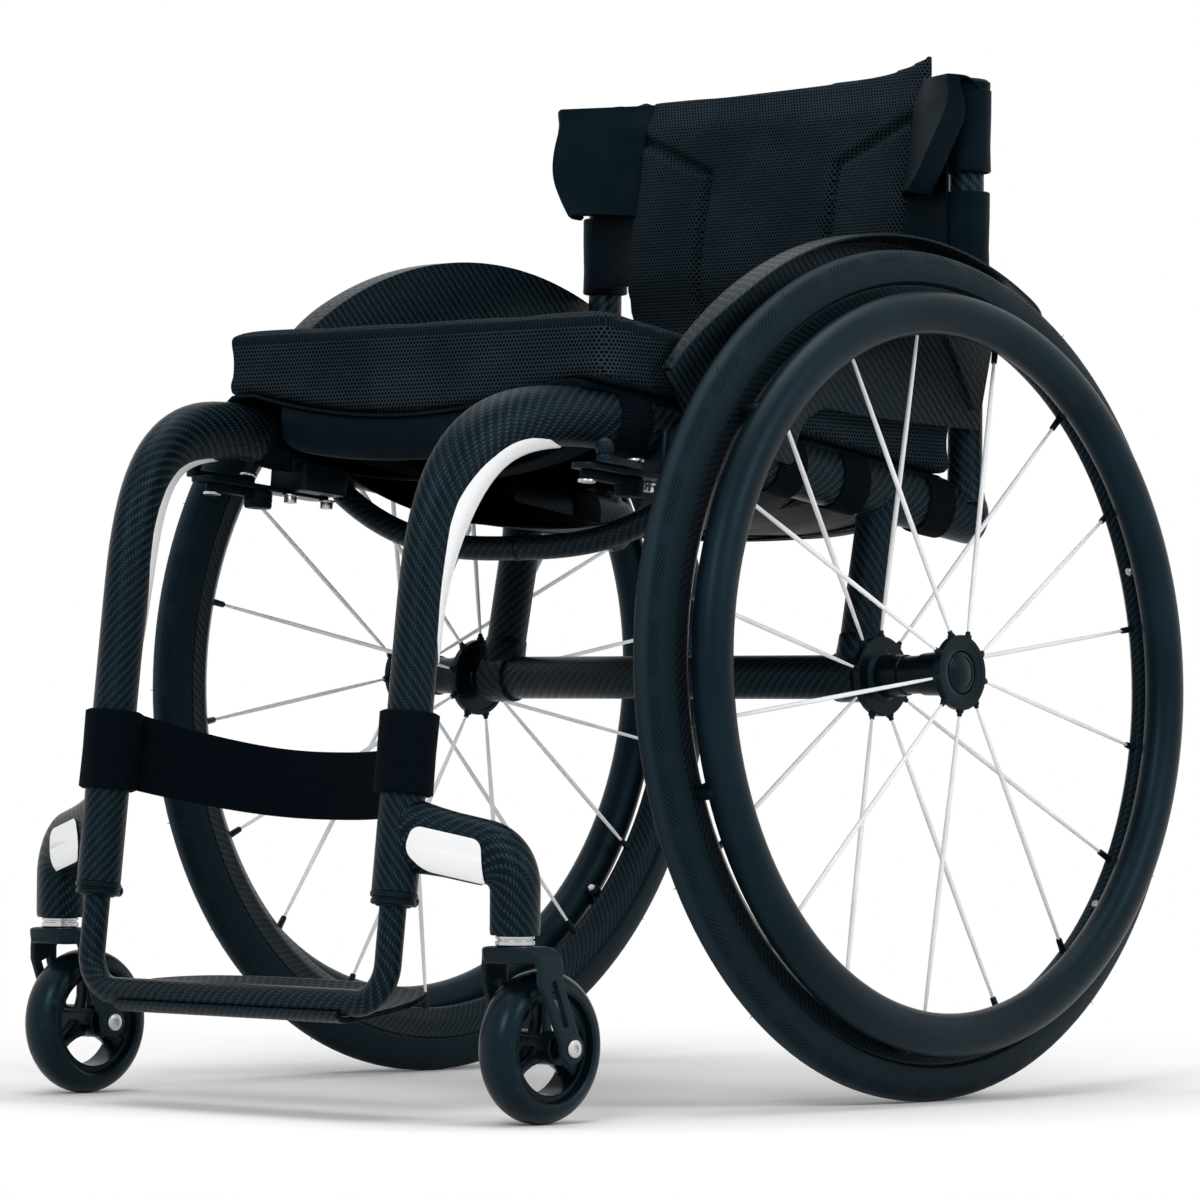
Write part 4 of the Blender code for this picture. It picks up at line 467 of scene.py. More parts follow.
LEG_SPREAD = 0.140
LEG_REACH = 0.4478
LEG_LEAN = 0.114
LEG_FOOT = 0.1490
TUBE_WIDTH = 0.030
LEG_DEPTH = 0.030
RAIL_SPREAD = 0.170
RAIL_DEPTH = 0.040
RAIL_FRONT_REACH = 0.267
RAIL_FRONT_HEIGHT = 0.4632
RAIL_SLOPE = 0.135
RAIL_END = 0.135
BEND_FOOT = 0.301
BEND_END = 0.2292
BEND_FULLNESS = 1.60
BEND_SPREAD_SHARE = 0.095
BEND_SWELL = 0.0098
BEND_SWELL_SHARE = 0.9
BEND_TWIST = math.radians(-21.4)
BEND_STEPS = 28
END_SHRINK = (0.012, 0.006, 0.002)
FIT_GAP = 0.0003


def leg_y(height):
    return -LEG_REACH + LEG_LEAN * height


def leg_point(height, x=LEG_SPREAD):
    return on_axle(x, leg_y(height), height)


def rail_z(y):
    """Height of the rail's centre line, y told from the axle line."""
    return RAIL_FRONT_HEIGHT - RAIL_SLOPE * (y + RAIL_FRONT_REACH)


def rail_top(y):
    return rail_z(y) + RAIL_DEPTH / 2 * math.hypot(1.0, RAIL_SLOPE)


def frame_line():
    """Stations of the left side frame; within the bend they swell and turn a little outwards."""
    corner_z = (rail_z(0.0) + RAIL_SLOPE * LEG_REACH) / (1.0 + RAIL_SLOPE * LEG_LEAN)
    corner = Vector((0.0, leg_y(corner_z), corner_z))
    first = Vector((0.0, leg_y(BEND_FOOT), BEND_FOOT))
    last = Vector((0.0, -BEND_END, rail_z(-BEND_END)))
    foot = Vector((0.0, leg_y(LEG_FOOT), LEG_FOOT))
    points = [foot.lerp(first, share) for share in (0.0, 0.3, 0.6, 0.85)]
    leg_count = len(points)
    for step in range(BEND_STEPS + 1):
        t = step / BEND_STEPS
        shares = ((1.0 - t) ** 2, 2.0 * BEND_FULLNESS * t * (1.0 - t), t ** 2)
        points.append((first * shares[0] + corner * shares[1] + last * shares[2]) / sum(shares))
    rail_stops = [-0.205, -0.18, -0.12, -0.06, 0.0, 0.06, 0.11, RAIL_END - 0.010,
                  RAIL_END - 0.004, RAIL_END - 0.001, RAIL_END]
    points += [Vector((0.0, y, rail_z(y))) for y in rail_stops]
    lengths = [0.0]
    for low, high in zip(points, points[1:]):
        lengths.append(lengths[-1] + (high - low).length)
    bend_start = lengths[leg_count]
    bend_end = lengths[leg_count + BEND_STEPS]
    spread_start = bend_start + (bend_end - bend_start) * BEND_SPREAD_SHARE
    spread_end = lengths[-len(rail_stops) + 1]
    sections = []
    for index, (point, length) in enumerate(zip(points, lengths)):
        share = eased((length - spread_start) / (spread_end - spread_start))
        point.x = LEG_SPREAD + (RAIL_SPREAD - LEG_SPREAD) * share
        point.y += AXLE_Y
        from_end = len(points) - 1 - index
        shrink = END_SHRINK[from_end] if from_end < len(END_SHRINK) else 0.0
        share = (length - bend_start) / (bend_end - bend_start)
        swell = math.sin(math.pi * min(max(share / BEND_SWELL_SHARE, 0.0), 1.0)) ** 2
        depth = LEG_DEPTH + (RAIL_DEPTH - LEG_DEPTH) * eased(share) + BEND_SWELL * swell
        sections.append((swell, TUBE_WIDTH - shrink, depth - shrink))
    stations = []
    bare = stations_along(points, X_AXIS, 0.0, 0.0)
    for (point, along, across, _, _), (swell, width, depth) in zip(bare, sections):
        turned_across = across.copy()
        turned_across.rotate(Matrix.Rotation(BEND_TWIST * swell, 3, along))
        stations.append((point, along, turned_across, width, depth))
    return stations


frame_stations = frame_line()
add_pair("frame_tube", swept(frame_stations), carbon, "frame", ["side_frame"])


# Frame inlays
# A white crescent of painted film follows the inside of each bend, under the lacquer.
# It is widest halfway, and both ends are narrow and rounded.
white_look = mottled((0.83, 0.84, 0.85), (0.7885, 0.798, 0.8075), (0.3, 0.7), 9.0, (0.20, 0.14),
                     260.0, (0.06, 0.0001))
white_film = finish("white_film", 0.4, white_look, {"Coat Weight": 0.3, "Coat Roughness": 0.15})
# Places along the tube's stations, with the turns in degrees of the film's front and rear edge.
INLAY_EDGES = ((3.9, 46, 54), (4.15, 30, 86), (4.6, 18, 120), (6.2, 12, 150), (8.0, 10, 172),
               (10.0, 6, 182), (11.75, 8, 182), (14.0, 18, 178), (17.25, 30, 166),
               (21.0, 36, 146), (23.0, 41, 134), (25.25, 53, 120), (26.8, 80, 90))
FILM_THICKNESS = 0.0008
FILM_WALL = 0.0006


def frame_station(place):
    """The frame tube's section at a place between two of its stations."""
    low = min(int(place), len(frame_stations) - 2)
    share = place - low
    return [first + (last - first) * share
            for first, last in zip(frame_stations[low], frame_stations[low + 1])]


def crescent_place(x, y):
    """A point on the tube between the film's two edges; the film's middle stands proud."""
    first = INLAY_EDGES[0][0]
    place = first + (INLAY_EDGES[-1][0] - first) * ((1.0 + x) / 2.0) ** 1.3
    for low, high in zip(INLAY_EDGES, INLAY_EDGES[1:]):
        if low[0] - 0.001 <= place <= high[0] + 0.001:
            share = (place - low[0]) / (high[0] - low[0])
            start, end = [math.radians(low[side] + (high[side] - low[side]) * share)
                          for side in (1, 2)]
    turn = (start + end + (end - start) * y) / 2.0
    return section_point(frame_station(place), turn, 1.0, FIT_GAP + FILM_THICKNESS * (1.0 - y ** 8))


crescent = laid_grid(90, 16, crescent_place, (0.3, 0.04))
add_pair("bend_inlay", thick(crescent, FILM_WALL), white_film, "frame",
         ["leg_insert"])


# Caster arms
# Moulded carbon arms that grow out of each leg, turn down and end in the caster's stem housing.
# A white film panel is set in the flat outer side.
ARM_START = 0.187
ARM_TOP = 0.171
ARM_WIDTH = 0.028
ARM_DEPTH = 0.043
ARM_CORNER = 0.024
ARM_SQUARENESS = 0.832
CASTER_SPREAD = 0.2153
CASTER_REACH = 0.3725
CASTER_TRAIL = 0.0245
STEM_REACH = CASTER_REACH + CASTER_TRAIL
HOUSING_RADIUS = 0.0158
HOUSING_BOTTOM = 0.1225


def round_corner(before, corner, after, radius, steps):
    """Points of an arc that rounds the corner of two straight runs."""
    back = (before - corner).normalized()
    onward = (after - corner).normalized()
    half = back.angle(onward) / 2.0
    centre = corner + (back + onward).normalized() * radius / math.sin(half)
    start = corner + back * radius / math.tan(half)
    end = corner + onward * radius / math.tan(half)
    first = (start - centre).normalized()
    last = (end - centre).normalized()
    return [centre + first.slerp(last, step / steps) * radius for step in range(steps + 1)]


arm_start = leg_point(ARM_START)
arm_corner = on_axle(CASTER_SPREAD, -STEM_REACH, ARM_TOP)
arm_foot = on_axle(CASTER_SPREAD, -STEM_REACH, HOUSING_BOTTOM)
arm_run = arm_corner - arm_start
arm_across = Z_AXIS.cross(Vector((arm_run.x, arm_run.y, 0.0))).normalized()


def caster_arm():
    bend = round_corner(arm_start, arm_corner, arm_foot, ARM_CORNER, 14)
    points = [arm_start.lerp(bend[0], share) for share in (0.0, 0.2, 0.4, 0.6, 0.8)] + bend
    points += [arm_foot.lerp(bend[-1], share) for share in (0.6, 0.15, 0.04, 0.0)]
    widths = []
    depths = []
    for index in range(len(points)):
        share = eased((index - 3) / (len(points) - 7))
        rim = (0.0016, 0.0005)[len(points) - 1 - index] if index >= len(points) - 2 else 0.0
        flare = 0.006 * (1.0 - eased(index / 3.0))
        widths.append(ARM_WIDTH + (HOUSING_RADIUS * 2 - ARM_WIDTH) * share - rim)
        depths.append(ARM_DEPTH + (HOUSING_RADIUS * 2 - ARM_DEPTH) * share - rim + flare)
    return swept(stations_along(points, arm_across, widths, depths), 40, ARM_SQUARENESS)


add_pair("arm_shell", caster_arm(), carbon, "frame", ["caster_arm"])

PANEL_LENGTH = 0.052
PANEL_HEIGHT = 0.027
PANEL_DROP = 0.005
PANEL_CORNER = 0.006
PANEL_STRIP = 0.0018


def arm_panel():
    """A rounded outline sliced into strips and laid on the arm's bulging side."""
    run = arm_run.normalized()
    up = run.cross(arm_across).normalized()
    if up.z < 0:
        up = -up
    face = arm_across if arm_across.y < 0 else -arm_across
    middle = arm_start.lerp(arm_corner, 0.5) - up * PANEL_DROP
    half = PANEL_LENGTH / 2
    high = PANEL_HEIGHT / 2
    slant = PANEL_HEIGHT * 0.2
    outline = [(-half * 0.95 - slant, -high * 0.25), (-half * 0.6, -high),
               (half * 0.85 + slant, -high), (half * 0.80, high), (-half * 1.05, high)]
    bm = bmesh.new()
    corners = [bm.verts.new((x, y, 0.0)) for x, y in outline]
    bm.faces.new(corners)
    bevelled(bm, corners[:2] + corners[3:], PANEL_CORNER, 6, 'VERTICES')
    for step in range(-7, 8):
        bmesh.ops.bisect_plane(bm, geom=bm.verts[:] + bm.edges[:] + bm.faces[:], dist=1e-6,
                               plane_co=(0.0, step * PANEL_STRIP, 0.0), plane_no=Y_AXIS)
    power = 2.0 / ARM_SQUARENESS
    for vert in bm.verts:
        x, y = vert.co.x, vert.co.y
        level = min(abs(y - PANEL_DROP) / (ARM_DEPTH / 2), 0.98)
        bulge = ARM_WIDTH / 2 * (1.0 - level ** power) ** (1.0 / power) + FIT_GAP + FILM_THICKNESS
        vert.co = middle + run * x + up * y + face * bulge
    return thick(bm, 0.0009)


add_pair("arm_inlay", arm_panel(), white_film, "frame", ["arm_insert"])


# Rear axle tube
# A straight carbon tube joins both sides under the seat, and two leaning uprights carry the
# rails on it. Each joint is a bonded lug of wrapped cloth with a visible edge.
TYRE_RADIUS = 0.295
CAMBER = math.radians(2.0)
TRACK_HALF = 0.2284
TREAD_HALF = 0.004
AXLE_HEIGHT = TYRE_RADIUS * math.cos(CAMBER) + TREAD_HALF * math.sin(CAMBER)
AXLE_TUBE_HALF = 0.180
AXLE_TUBE_RADIUS = 0.0155
AXLE_TUBE_HEIGHT = AXLE_HEIGHT - (TRACK_HALF - AXLE_TUBE_HALF) * math.tan(CAMBER)
UPRIGHT_SPREAD = 0.1698
UPRIGHT_RADIUS = 0.0145
UPRIGHT_LEAN = 0.2012
UPRIGHT_TOP = rail_z(0.02) - 0.008
SEAM_HEIGHT = 0.0285
LUG_WALL = 0.0022
LUG_RADIUS = UPRIGHT_RADIUS + LUG_WALL / 3
LUG_INNER = UPRIGHT_SPREAD - 0.0145
LUG_OUTER = AXLE_TUBE_HALF
LUG_EDGE = 0.001


def upright_point(height):
    return on_axle(UPRIGHT_SPREAD, UPRIGHT_LEAN * (height - AXLE_TUBE_HEIGHT), height)


def ring_on_x(y, z, across, steps, sides=32):
    """A round piece along X through (place, radius) steps."""
    return swept([(on_axle(x, y, z), X_AXIS, across, size * 2, size * 2) for x, size in steps],
                 sides)


tube_ends = [on_axle(side * AXLE_TUBE_HALF, 0.0, AXLE_TUBE_HEIGHT) for side in (-1, 1)]
add_piece("axle_cross_tube", softly_ended(*tube_ends, AXLE_TUBE_RADIUS, 0.0012), carbon, "frame",
          ["axle_tube"])
lean = Vector((0.0, UPRIGHT_LEAN, 1.0)).normalized()
seam = AXLE_TUBE_HEIGHT + SEAM_HEIGHT
upright = straight(upright_point(seam) + lean * FIT_GAP, upright_point(UPRIGHT_TOP),
                   shifted(0.0, UPRIGHT_RADIUS, ((0.0, 0.0), (0.80, 0.0), (0.93, 0.001),
                                                 (1.0, 0.003))))
add_pair("upright_tube", upright, carbon, "frame", ["axle_upright"])

lug_carbon = finish("wrapped_lug_carbon", 0.10, twill_look(0.85, 0.0022))
stub = straight(upright_point(AXLE_TUBE_HEIGHT), upright_point(seam),
                shifted(0.0, LUG_RADIUS, ((0.0, 0.0), (0.50, 0.0007), (0.75, 0.0002), (0.97, 0.0),
                                          (1.0, -0.0006))))
wrap = ring_on_x(0.0, AXLE_TUBE_HEIGHT, Z_AXIS,
                 ((LUG_INNER, AXLE_TUBE_RADIUS + 0.0004),
                  (LUG_INNER + LUG_EDGE, AXLE_TUBE_RADIUS + LUG_WALL),
                  (LUG_OUTER - LUG_EDGE, AXLE_TUBE_RADIUS + LUG_WALL),
                  (LUG_OUTER, AXLE_TUBE_RADIUS + 0.001)))
add_pair("tube_lug", gathered(stub, wrap), lug_carbon, "frame", ["axle_lug"])


# Seat brace
# A low curved carbon bar under the seat keeps the rails apart. Its two halves meet in the
# middle, where a narrow black ring covers the seam.
BRACE_REACH = 0.168
BRACE_RADIUS = 0.0086
BRACE_LOW = 0.3815
BRACE_END_DROP = 0.026
BRACE_POWER = 2.8
BRACE_STEPS = 28
SEAM_X = 0.004


def seat_brace():
    rail_height = rail_z(-BRACE_REACH)
    end_z = rail_height - BRACE_END_DROP
    points = [on_axle(RAIL_SPREAD, -BRACE_REACH, rail_height)]
    for step in range(BRACE_STEPS, -BRACE_STEPS - 1, -1):
        x = RAIL_SPREAD * math.sin(math.pi / 2 * step / BRACE_STEPS)
        rise = (end_z - BRACE_LOW) * (abs(x) / RAIL_SPREAD) ** BRACE_POWER
        points.append(on_axle(x, -BRACE_REACH, BRACE_LOW + rise))
    points.append(on_axle(-RAIL_SPREAD, -BRACE_REACH, rail_height))
    return swept(stations_along(points, Y_AXIS, BRACE_RADIUS * 2, BRACE_RADIUS * 2), 24)


black_metal = finish("black_anodised", 0.13, black_look((0.0020, 0.0048, 0.0072)))
seam_ring = ring_on_x(-BRACE_REACH, BRACE_LOW, Y_AXIS,
                      shifted(SEAM_X, BRACE_RADIUS, ((-0.0016, -0.0004), (-0.0012, 0.0006),
                                                     (0.0012, 0.0006), (0.0016, -0.0004))), 24)
add_piece("brace_bar", seat_brace(), carbon, "frame", ["seat_brace"])
add_piece("brace_seam", seam_ring, black_metal, "frame", [])


# Rear tyres
# High-pressure tyres on the rear wheels: a slick crown, fine slanted grooves on the shoulders
# and small moulding whiskers left on the tread's edge.
TYRE_WIDTH = 0.025
TYRE_HEIGHT = 0.025
BEAD_RADIUS = TYRE_RADIUS - TYRE_HEIGHT
RIM_WIDTH = 0.021
WHEEL_STEPS = 160
wheel_place = (Matrix.Translation(on_axle(TRACK_HALF, 0.0, AXLE_HEIGHT))
               @ Matrix.Rotation(-CAMBER, 4, 'Y'))


def spoke_way(start, index, count):
    """The direction out from a wheel's axle for one of several even places round it."""
    turn = start + 2.0 * math.pi * index / count
    return Vector((0.0, math.cos(turn), math.sin(turn)))


def tyre_profile():
    """Half the section from bead to crown, then its mirror image."""
    low = BEAD_RADIUS + FIT_GAP
    half = [(RIM_WIDTH / 2, low)]
    for step in range(1, 12):
        turn = math.pi / 2 * step / 12
        along = TYRE_WIDTH / 2 * math.cos(max(turn - 0.18, 0.0) * 1.14) ** 0.8
        half.append((along, low + (TYRE_HEIGHT - FIT_GAP) * math.sin(turn) ** 1.25))
    return both_ends(half + [(0.0, TYRE_RADIUS)])


TREAD_MIDDLE = 0.0335
SEAM_AWAY = 0.0172
GROOVE_PITCH = 0.0042
GROOVE_SLANT = 1.4
GROOVE_SHARE = 0.34
PATTERN_LENGTH = 0.052


def tyre_look(wire):
    u, v = surface_metres(wire)
    away = abs(v - TREAD_MIDDLE)
    shoulder = away.between(0.0050, 0.0064) * (1.0 - away.between(0.0120, 0.0134))
    slant = ((u + away * GROOVE_SLANT) / GROOVE_PITCH).fraction()
    gap = (u / PATTERN_LENGTH).fraction().between(0.70, 0.74)
    groove = (slant < GROOVE_SHARE) * shoulder * (1.0 - gap)
    seam_line = 1.0 - abs(away - SEAM_AWAY).between(0.0001, 0.0005)
    height = cloudiness(wire, 700.0, 2.0) * 0.15 - groove - seam_line * 0.8
    crown, flank = colour(0.0120, 0.0210, 0.0275), colour(0.0040, 0.0090, 0.0130)
    # The crown band is lighter than the flanks.
    lighter_crown = away.between(0.001, 0.006).blend(crown, flank)
    # The grooves are painted near black as painted shade, on top of their bump.
    return {"Base Color": (groove * 0.75).blend(lighter_crown, colour(0.0004, 0.0012, 0.0020)),
            "Roughness": 0.46 + cloudiness(wire, 30.0) * 0.14 + groove * 0.2,
            "Normal": height.bumped(0.35, 0.0004)}


tyre_rubber = finish("tyre_rubber", 0.10, tyre_look)
tyre = turned(tyre_profile(), WHEEL_STEPS)
add_pair("road_tyre", moved(tyre, wheel_place), tyre_rubber, "rear_wheel", ["rear_tyre"])

WHISKERS = 34
WHISKER_LENGTH = 0.0022
WHISKER_SIDE = 0.0048
WHISKER_ROOT = 0.2935


def whiskers():
    """Thin stubs of rubber at uneven places near both edges of the tread."""
    stubs = []
    for index in range(WHISKERS):
        turn = 2.0 * math.pi * (index + 0.31 * math.sin(index * 5.3)) / WHISKERS
        if math.sin(turn) < -0.92:
            continue
        side = 1 if index % 2 else -1
        round_y, round_z = math.cos(turn), math.sin(turn)
        out = Vector((0.25 * side, round_y, round_z)).normalized()
        root = Vector((WHISKER_SIDE * side, round_y * WHISKER_ROOT, round_z * WHISKER_ROOT))
        length = WHISKER_LENGTH * (0.75 + 0.4 * abs(math.sin(index * 2.1)))
        stubs.append(straight(root, root + out * length, [(0.0, 0.00035), (1.0, 0.00018)], 5))
    return gathered(*stubs)


add_pair("tyre_whiskers", moved(whiskers(), wheel_place), tyre_rubber, "rear_wheel")


# Rear rims
# Deep rims of twill carbon under satin lacquer, their flanks running in to a narrow spoke bed.
RIM_DEPTH = 0.0218
RIM_FLANK = 0.013
RIM_APEX = 0.006
APEX_RADIUS = BEAD_RADIUS - RIM_DEPTH


def rim_profile():
    """Half the section from the spoke bed to the bead, with its mirror image before it."""
    half = [(0.0, APEX_RADIUS)]
    half += shifted(RIM_APEX / 2, APEX_RADIUS, ((-0.0008, 0.0001), (0.0004, 0.0008),
                                                (0.0022, 0.0030)))
    half += shifted(RIM_WIDTH / 2, BEAD_RADIUS - RIM_FLANK, ((-0.0016, -0.0016), (-0.0004, 0.0002),
                                                             (0.0, 0.0022)))
    half += shifted(RIM_WIDTH / 2, BEAD_RADIUS, ((0.0, -0.0024), (0.0004, -0.0016),
                                                 (0.0004, -0.0005), (0.0, 0.0)))
    half += [(0.0, BEAD_RADIUS)]
    return [(-along, radius) for along, radius in half[-2:0:-1]] + half[:-1]


rim_carbon = finish("rim_twill_carbon", 0.10, twill_look(1.0, 0.0015))
rim = turned(rim_profile(), WHEEL_STEPS)
add_pair("wheel_rim", moved(rim, wheel_place), rim_carbon, "rear_wheel",
         ["rim_and_spokes"])


# Spokes
# Eighteen stiff composite spokes, every other one from each flange of the hub: white, flattened
# and thicker in the middle, with a black nipple at the rim and a black foot at the hub.
SPOKES = 18
SPOKE_START = math.radians(8.4)
SPOKE_FLATNESS = 0.86
NIPPLE_LENGTH = 0.012
HUB_OUTER_FACE = 0.0374
HUB_INNER_FACE = 0.0385
OUTER_FLANGE = 0.026
INNER_FLANGE = 0.028
FLANGE_THICKNESS = 0.0058


def spoke_look(wire):
    u, v = surface_metres(wire)
    broad = cloudiness(wire, 26.0)
    fibre = (u / 0.0007).fraction() * 0.4 + cloudiness(wire, 340.0, 2.0) * 0.6
    white, shade = colour(0.80, 0.81, 0.82), colour(0.70, 0.71, 0.73)
    return {"Base Color": broad.between(0.35, 0.7).blend(white, shade),
            "Roughness": 0.30 + broad * 0.2,
            "Normal": fibre.bumped(0.12, 0.00012)}


spoke_white = finish("white_spoke_composite", 0.35, spoke_look)


def spoke_ends(index):
    out = spoke_way(SPOKE_START, index, SPOKES)
    if index % 2:
        root = out * OUTER_FLANGE + X_AXIS * (HUB_OUTER_FACE - FLANGE_THICKNESS / 2)
    else:
        root = out * INNER_FLANGE + X_AXIS * (FLANGE_THICKNESS / 2 - HUB_INNER_FACE)
    return root, out * (APEX_RADIUS + 0.0012)


shafts = []
nipples = []
for index in range(SPOKES):
    root, tip = spoke_ends(index)
    along = (tip - root).normalized()
    length = (tip - root).length
    shaft_end = length - NIPPLE_LENGTH - 0.0005
    sizes = ((0.0020, 0.0013), (0.0040, 0.0020), (0.020, 0.0029), (length * 0.35, 0.0037),
             (length * 0.65, 0.0037), (shaft_end - 0.016, 0.0029), (shaft_end - 0.002, 0.0024),
             (shaft_end + 0.001, 0.0022))
    stations = [(root + along * distance, along, X_AXIS, size, size * SPOKE_FLATNESS)
                for distance, size in sizes]
    shafts.append(swept(stations, 12, 1.0, 0.0028))
    nipples.append(straight(tip - along * NIPPLE_LENGTH, tip,
                            [(0.0, 0.0017), (0.06, 0.0022), (0.75, 0.0024), (0.80, 0.0026),
                             (1.0, 0.0026)], 10))
    nipples.append(straight(root - along * 0.002, root + along * 0.0042,
                            [(0.0, 0.0030), (0.55, 0.0028), (0.60, 0.0020), (1.0, 0.0017)], 10))
add_pair("wheel_spokes", moved(gathered(*shafts), wheel_place), spoke_white, "rear_wheel")
add_pair("spoke_nipples", moved(gathered(*nipples), wheel_place), black_metal, "rear_wheel")


# Hubs
# Black machined hubs: two flanges on a tapered barrel, the outer one with a deep round mouth
# that the quick-release button sits in.
BARREL_RADIUS = 0.0155
MOUTH_RADIUS = 0.0150
MOUTH_DEPTH = 0.009
PIN_BORE = 0.0067


def hub_profile():
    """From the inner face over both flanges and into the mouth."""
    thick_flange = FLANGE_THICKNESS
    inner, outer = -HUB_INNER_FACE, HUB_OUTER_FACE
    return ([(inner, PIN_BORE), (inner, 0.0105), (inner + 0.0008, 0.0110)]
            + shifted(inner, INNER_FLANGE, ((0.0008, -0.0040), (0.0, -0.0034), (0.0, -0.0008),
                                            (0.0008, 0.0), (thick_flange - 0.0008, 0.0),
                                            (thick_flange, -0.0008)))
            + shifted(inner + thick_flange, BARREL_RADIUS, ((0.0, 0.0030), (0.0025, -0.0004)))
            + shifted(0.0, BARREL_RADIUS, ((-0.012, -0.0012), (-0.0115, -0.0024),
                                           (0.004, -0.0020), (0.0045, -0.0008)))
            + [(outer - 0.013, BARREL_RADIUS + 0.0002), (outer - 0.0125, MOUTH_RADIUS + 0.003)]
            + shifted(outer - thick_flange, MOUTH_RADIUS, ((-0.0014, 0.0032), (0.0, 0.0044)))
            + shifted(outer - thick_flange, OUTER_FLANGE, ((0.0, -0.0008), (0.0008, 0.0)))
            + shifted(outer, OUTER_FLANGE, ((-0.0009, 0.0), (0.0, -0.0009), (0.0, -0.0044),
                                            (-0.0006, -0.0050)))
            + shifted(outer, MOUTH_RADIUS, ((-0.0006, 0.0016), (-0.0012, 0.0002), (-0.0020, 0.0),
                                            (-MOUTH_DEPTH, 0.0)))
            + [(outer - MOUTH_DEPTH, PIN_BORE)])


hub_black = finish("hub_black", 0.14, black_look((0.0010, 0.0028, 0.0044), 0.20, 300.0))
add_pair("hub_shell", moved(turned(hub_profile(), 64), wheel_place), hub_black, "rear_wheel",
         ["wheel_hub"], 30.0)


# Hand rims
# Oval push rings in the same satin black, held off each rim by six small tabs that are screwed
# from the inside.
HAND_RIM_RADIUS = 0.2493
HAND_RIM_OFFSET = 0.0253
HAND_RIM_HEIGHT = 0.030
HAND_RIM_THICKNESS = 0.026
OVAL_STEPS = 28
TABS = 6
TAB_START = math.radians(18.4)
TAB_X = HAND_RIM_OFFSET * 0.36

grip_coat = finish("hand_rim_coat", 0.12, black_look((0.0028, 0.0070, 0.0105), 0.30, 520.0))
bright_steel = finish("bright_steel", 0.5,
                      mottled((0.62, 0.63, 0.64), (0.46, 0.47, 0.48), (0.3, 0.7), 40.0,
                              (0.20, 0.20), 500.0, (0.10, 0.00008)), {"Metallic": 1.0})
oval = []
for step in range(OVAL_STEPS):
    turn = 2.0 * math.pi * step / OVAL_STEPS
    oval.append((HAND_RIM_OFFSET + HAND_RIM_THICKNESS / 2 * math.cos(turn),
                 HAND_RIM_RADIUS + HAND_RIM_HEIGHT / 2 * math.sin(turn)))
tabs = []
screws = []
for index in range(TABS):
    out = spoke_way(TAB_START, index, TABS)
    foot = out * (BEAD_RADIUS - RIM_FLANK + 0.0047)
    tabs.append(softly_ended(foot + X_AXIS * (RIM_WIDTH / 2 + FIT_GAP),
                             foot + X_AXIS * HAND_RIM_OFFSET, 0.0040, 0.0006, 16))
    low = out * (APEX_RADIUS - 0.0006) + X_AXIS * TAB_X
    tabs.append(swept([(low + out * rise, out, X_AXIS, width, 0.009)
                       for rise, width in ((-0.0030, 0.0060), (0.0, 0.0085), (0.010, 0.0100))],
                      16, 0.7))
    seat = low - out * 0.0030
    screws.append(straight(seat, seat - out * 0.0022,
                           [(0.0, 0.0030), (0.5, 0.0030), (1.0, 0.0021)], 16))
    screws.append(straight(seat - out * 0.0023, seat - out * 0.0017, 0.0011, 6))
add_pair("push_rim", moved(turned(oval, WHEEL_STEPS), wheel_place), grip_coat, "rear_wheel",
         ["hand_rim"])
add_pair("push_rim_tabs", moved(gathered(*tabs), wheel_place), black_metal, "rear_wheel")
add_pair("push_rim_screws", moved(gathered(*screws), wheel_place), bright_steel, "rear_wheel",
         (), 25.0)


# Quick-release axles
# A ground steel pin slides through each hub into a receiver clamped in the axle tube's end.
# Pressing the plain domed button frees it.
BUTTON_RADIUS = 0.0142
BUTTON_TRAVEL = 0.0035
HEAD_THICKNESS = 0.0025
PIN_RADIUS = 0.0063
PIN_INSERTION = 0.046
BUTTON_BORE = 0.0034
BUTTON_STEM = 0.0030
head_foot = HUB_OUTER_FACE - MOUTH_DEPTH + FIT_GAP
head_face = head_foot + HEAD_THICKNESS
pin_tip = -HUB_INNER_FACE - PIN_INSERTION
back = head_face + BUTTON_TRAVEL + FIT_GAP
tube_end = (AXLE_TUBE_HALF - TRACK_HALF) / math.cos(CAMBER)
sleeve_end = -HUB_INNER_FACE - FIT_GAP

pin = (shifted(pin_tip, 0.0, ((0.0, 0.0), (0.0, 0.0036), (0.0008, 0.0048), (0.003, PIN_RADIUS),
                              (0.008, PIN_RADIUS), (0.0085, 0.0057), (0.0110, 0.0057),
                              (0.0115, PIN_RADIUS)))
       + shifted(head_foot, 0.0, ((0.0, PIN_RADIUS), (0.0, 0.0108), (0.0006, 0.0115)))
       + shifted(head_face, 0.0, ((-0.0006, 0.0115), (0.0, 0.0108), (0.0, BUTTON_BORE),
                                  (-0.0155, BUTTON_BORE), (-0.0155, 0.0))))
button = ([(head_face - 0.009, 0.0), (head_face - 0.009, BUTTON_STEM), (back, BUTTON_STEM)]
          + shifted(back, BUTTON_RADIUS, ((0.0, -0.0003), (0.0003, 0.0), (0.0010, 0.0),
                                          (0.0014, -0.0005), (0.0018, -0.0022), (0.0012, -0.0030),
                                          (0.0014, -0.0036), (0.0026, BUTTON_RADIUS * -0.45),
                                          (0.0031, BUTTON_RADIUS * -0.72)))
          + [(back + 0.0033, 0.0)])
receiver = (shifted(tube_end, 0.0, ((-0.030, PIN_BORE), (-0.030, 0.0120), (-0.001, 0.0120),
                                    (0.0, 0.0126), (0.0004, 0.0112), (0.0030, 0.0112),
                                    (0.0034, 0.0084)))
            + shifted(sleeve_end, 0.0, ((-0.0008, 0.0078), (0.0, 0.0070), (0.0, PIN_BORE))))
add_pair("release_pin", moved(turned(pin, 40, False), wheel_place), bright_steel, "axle",
         ["axle_pin"], 30.0)
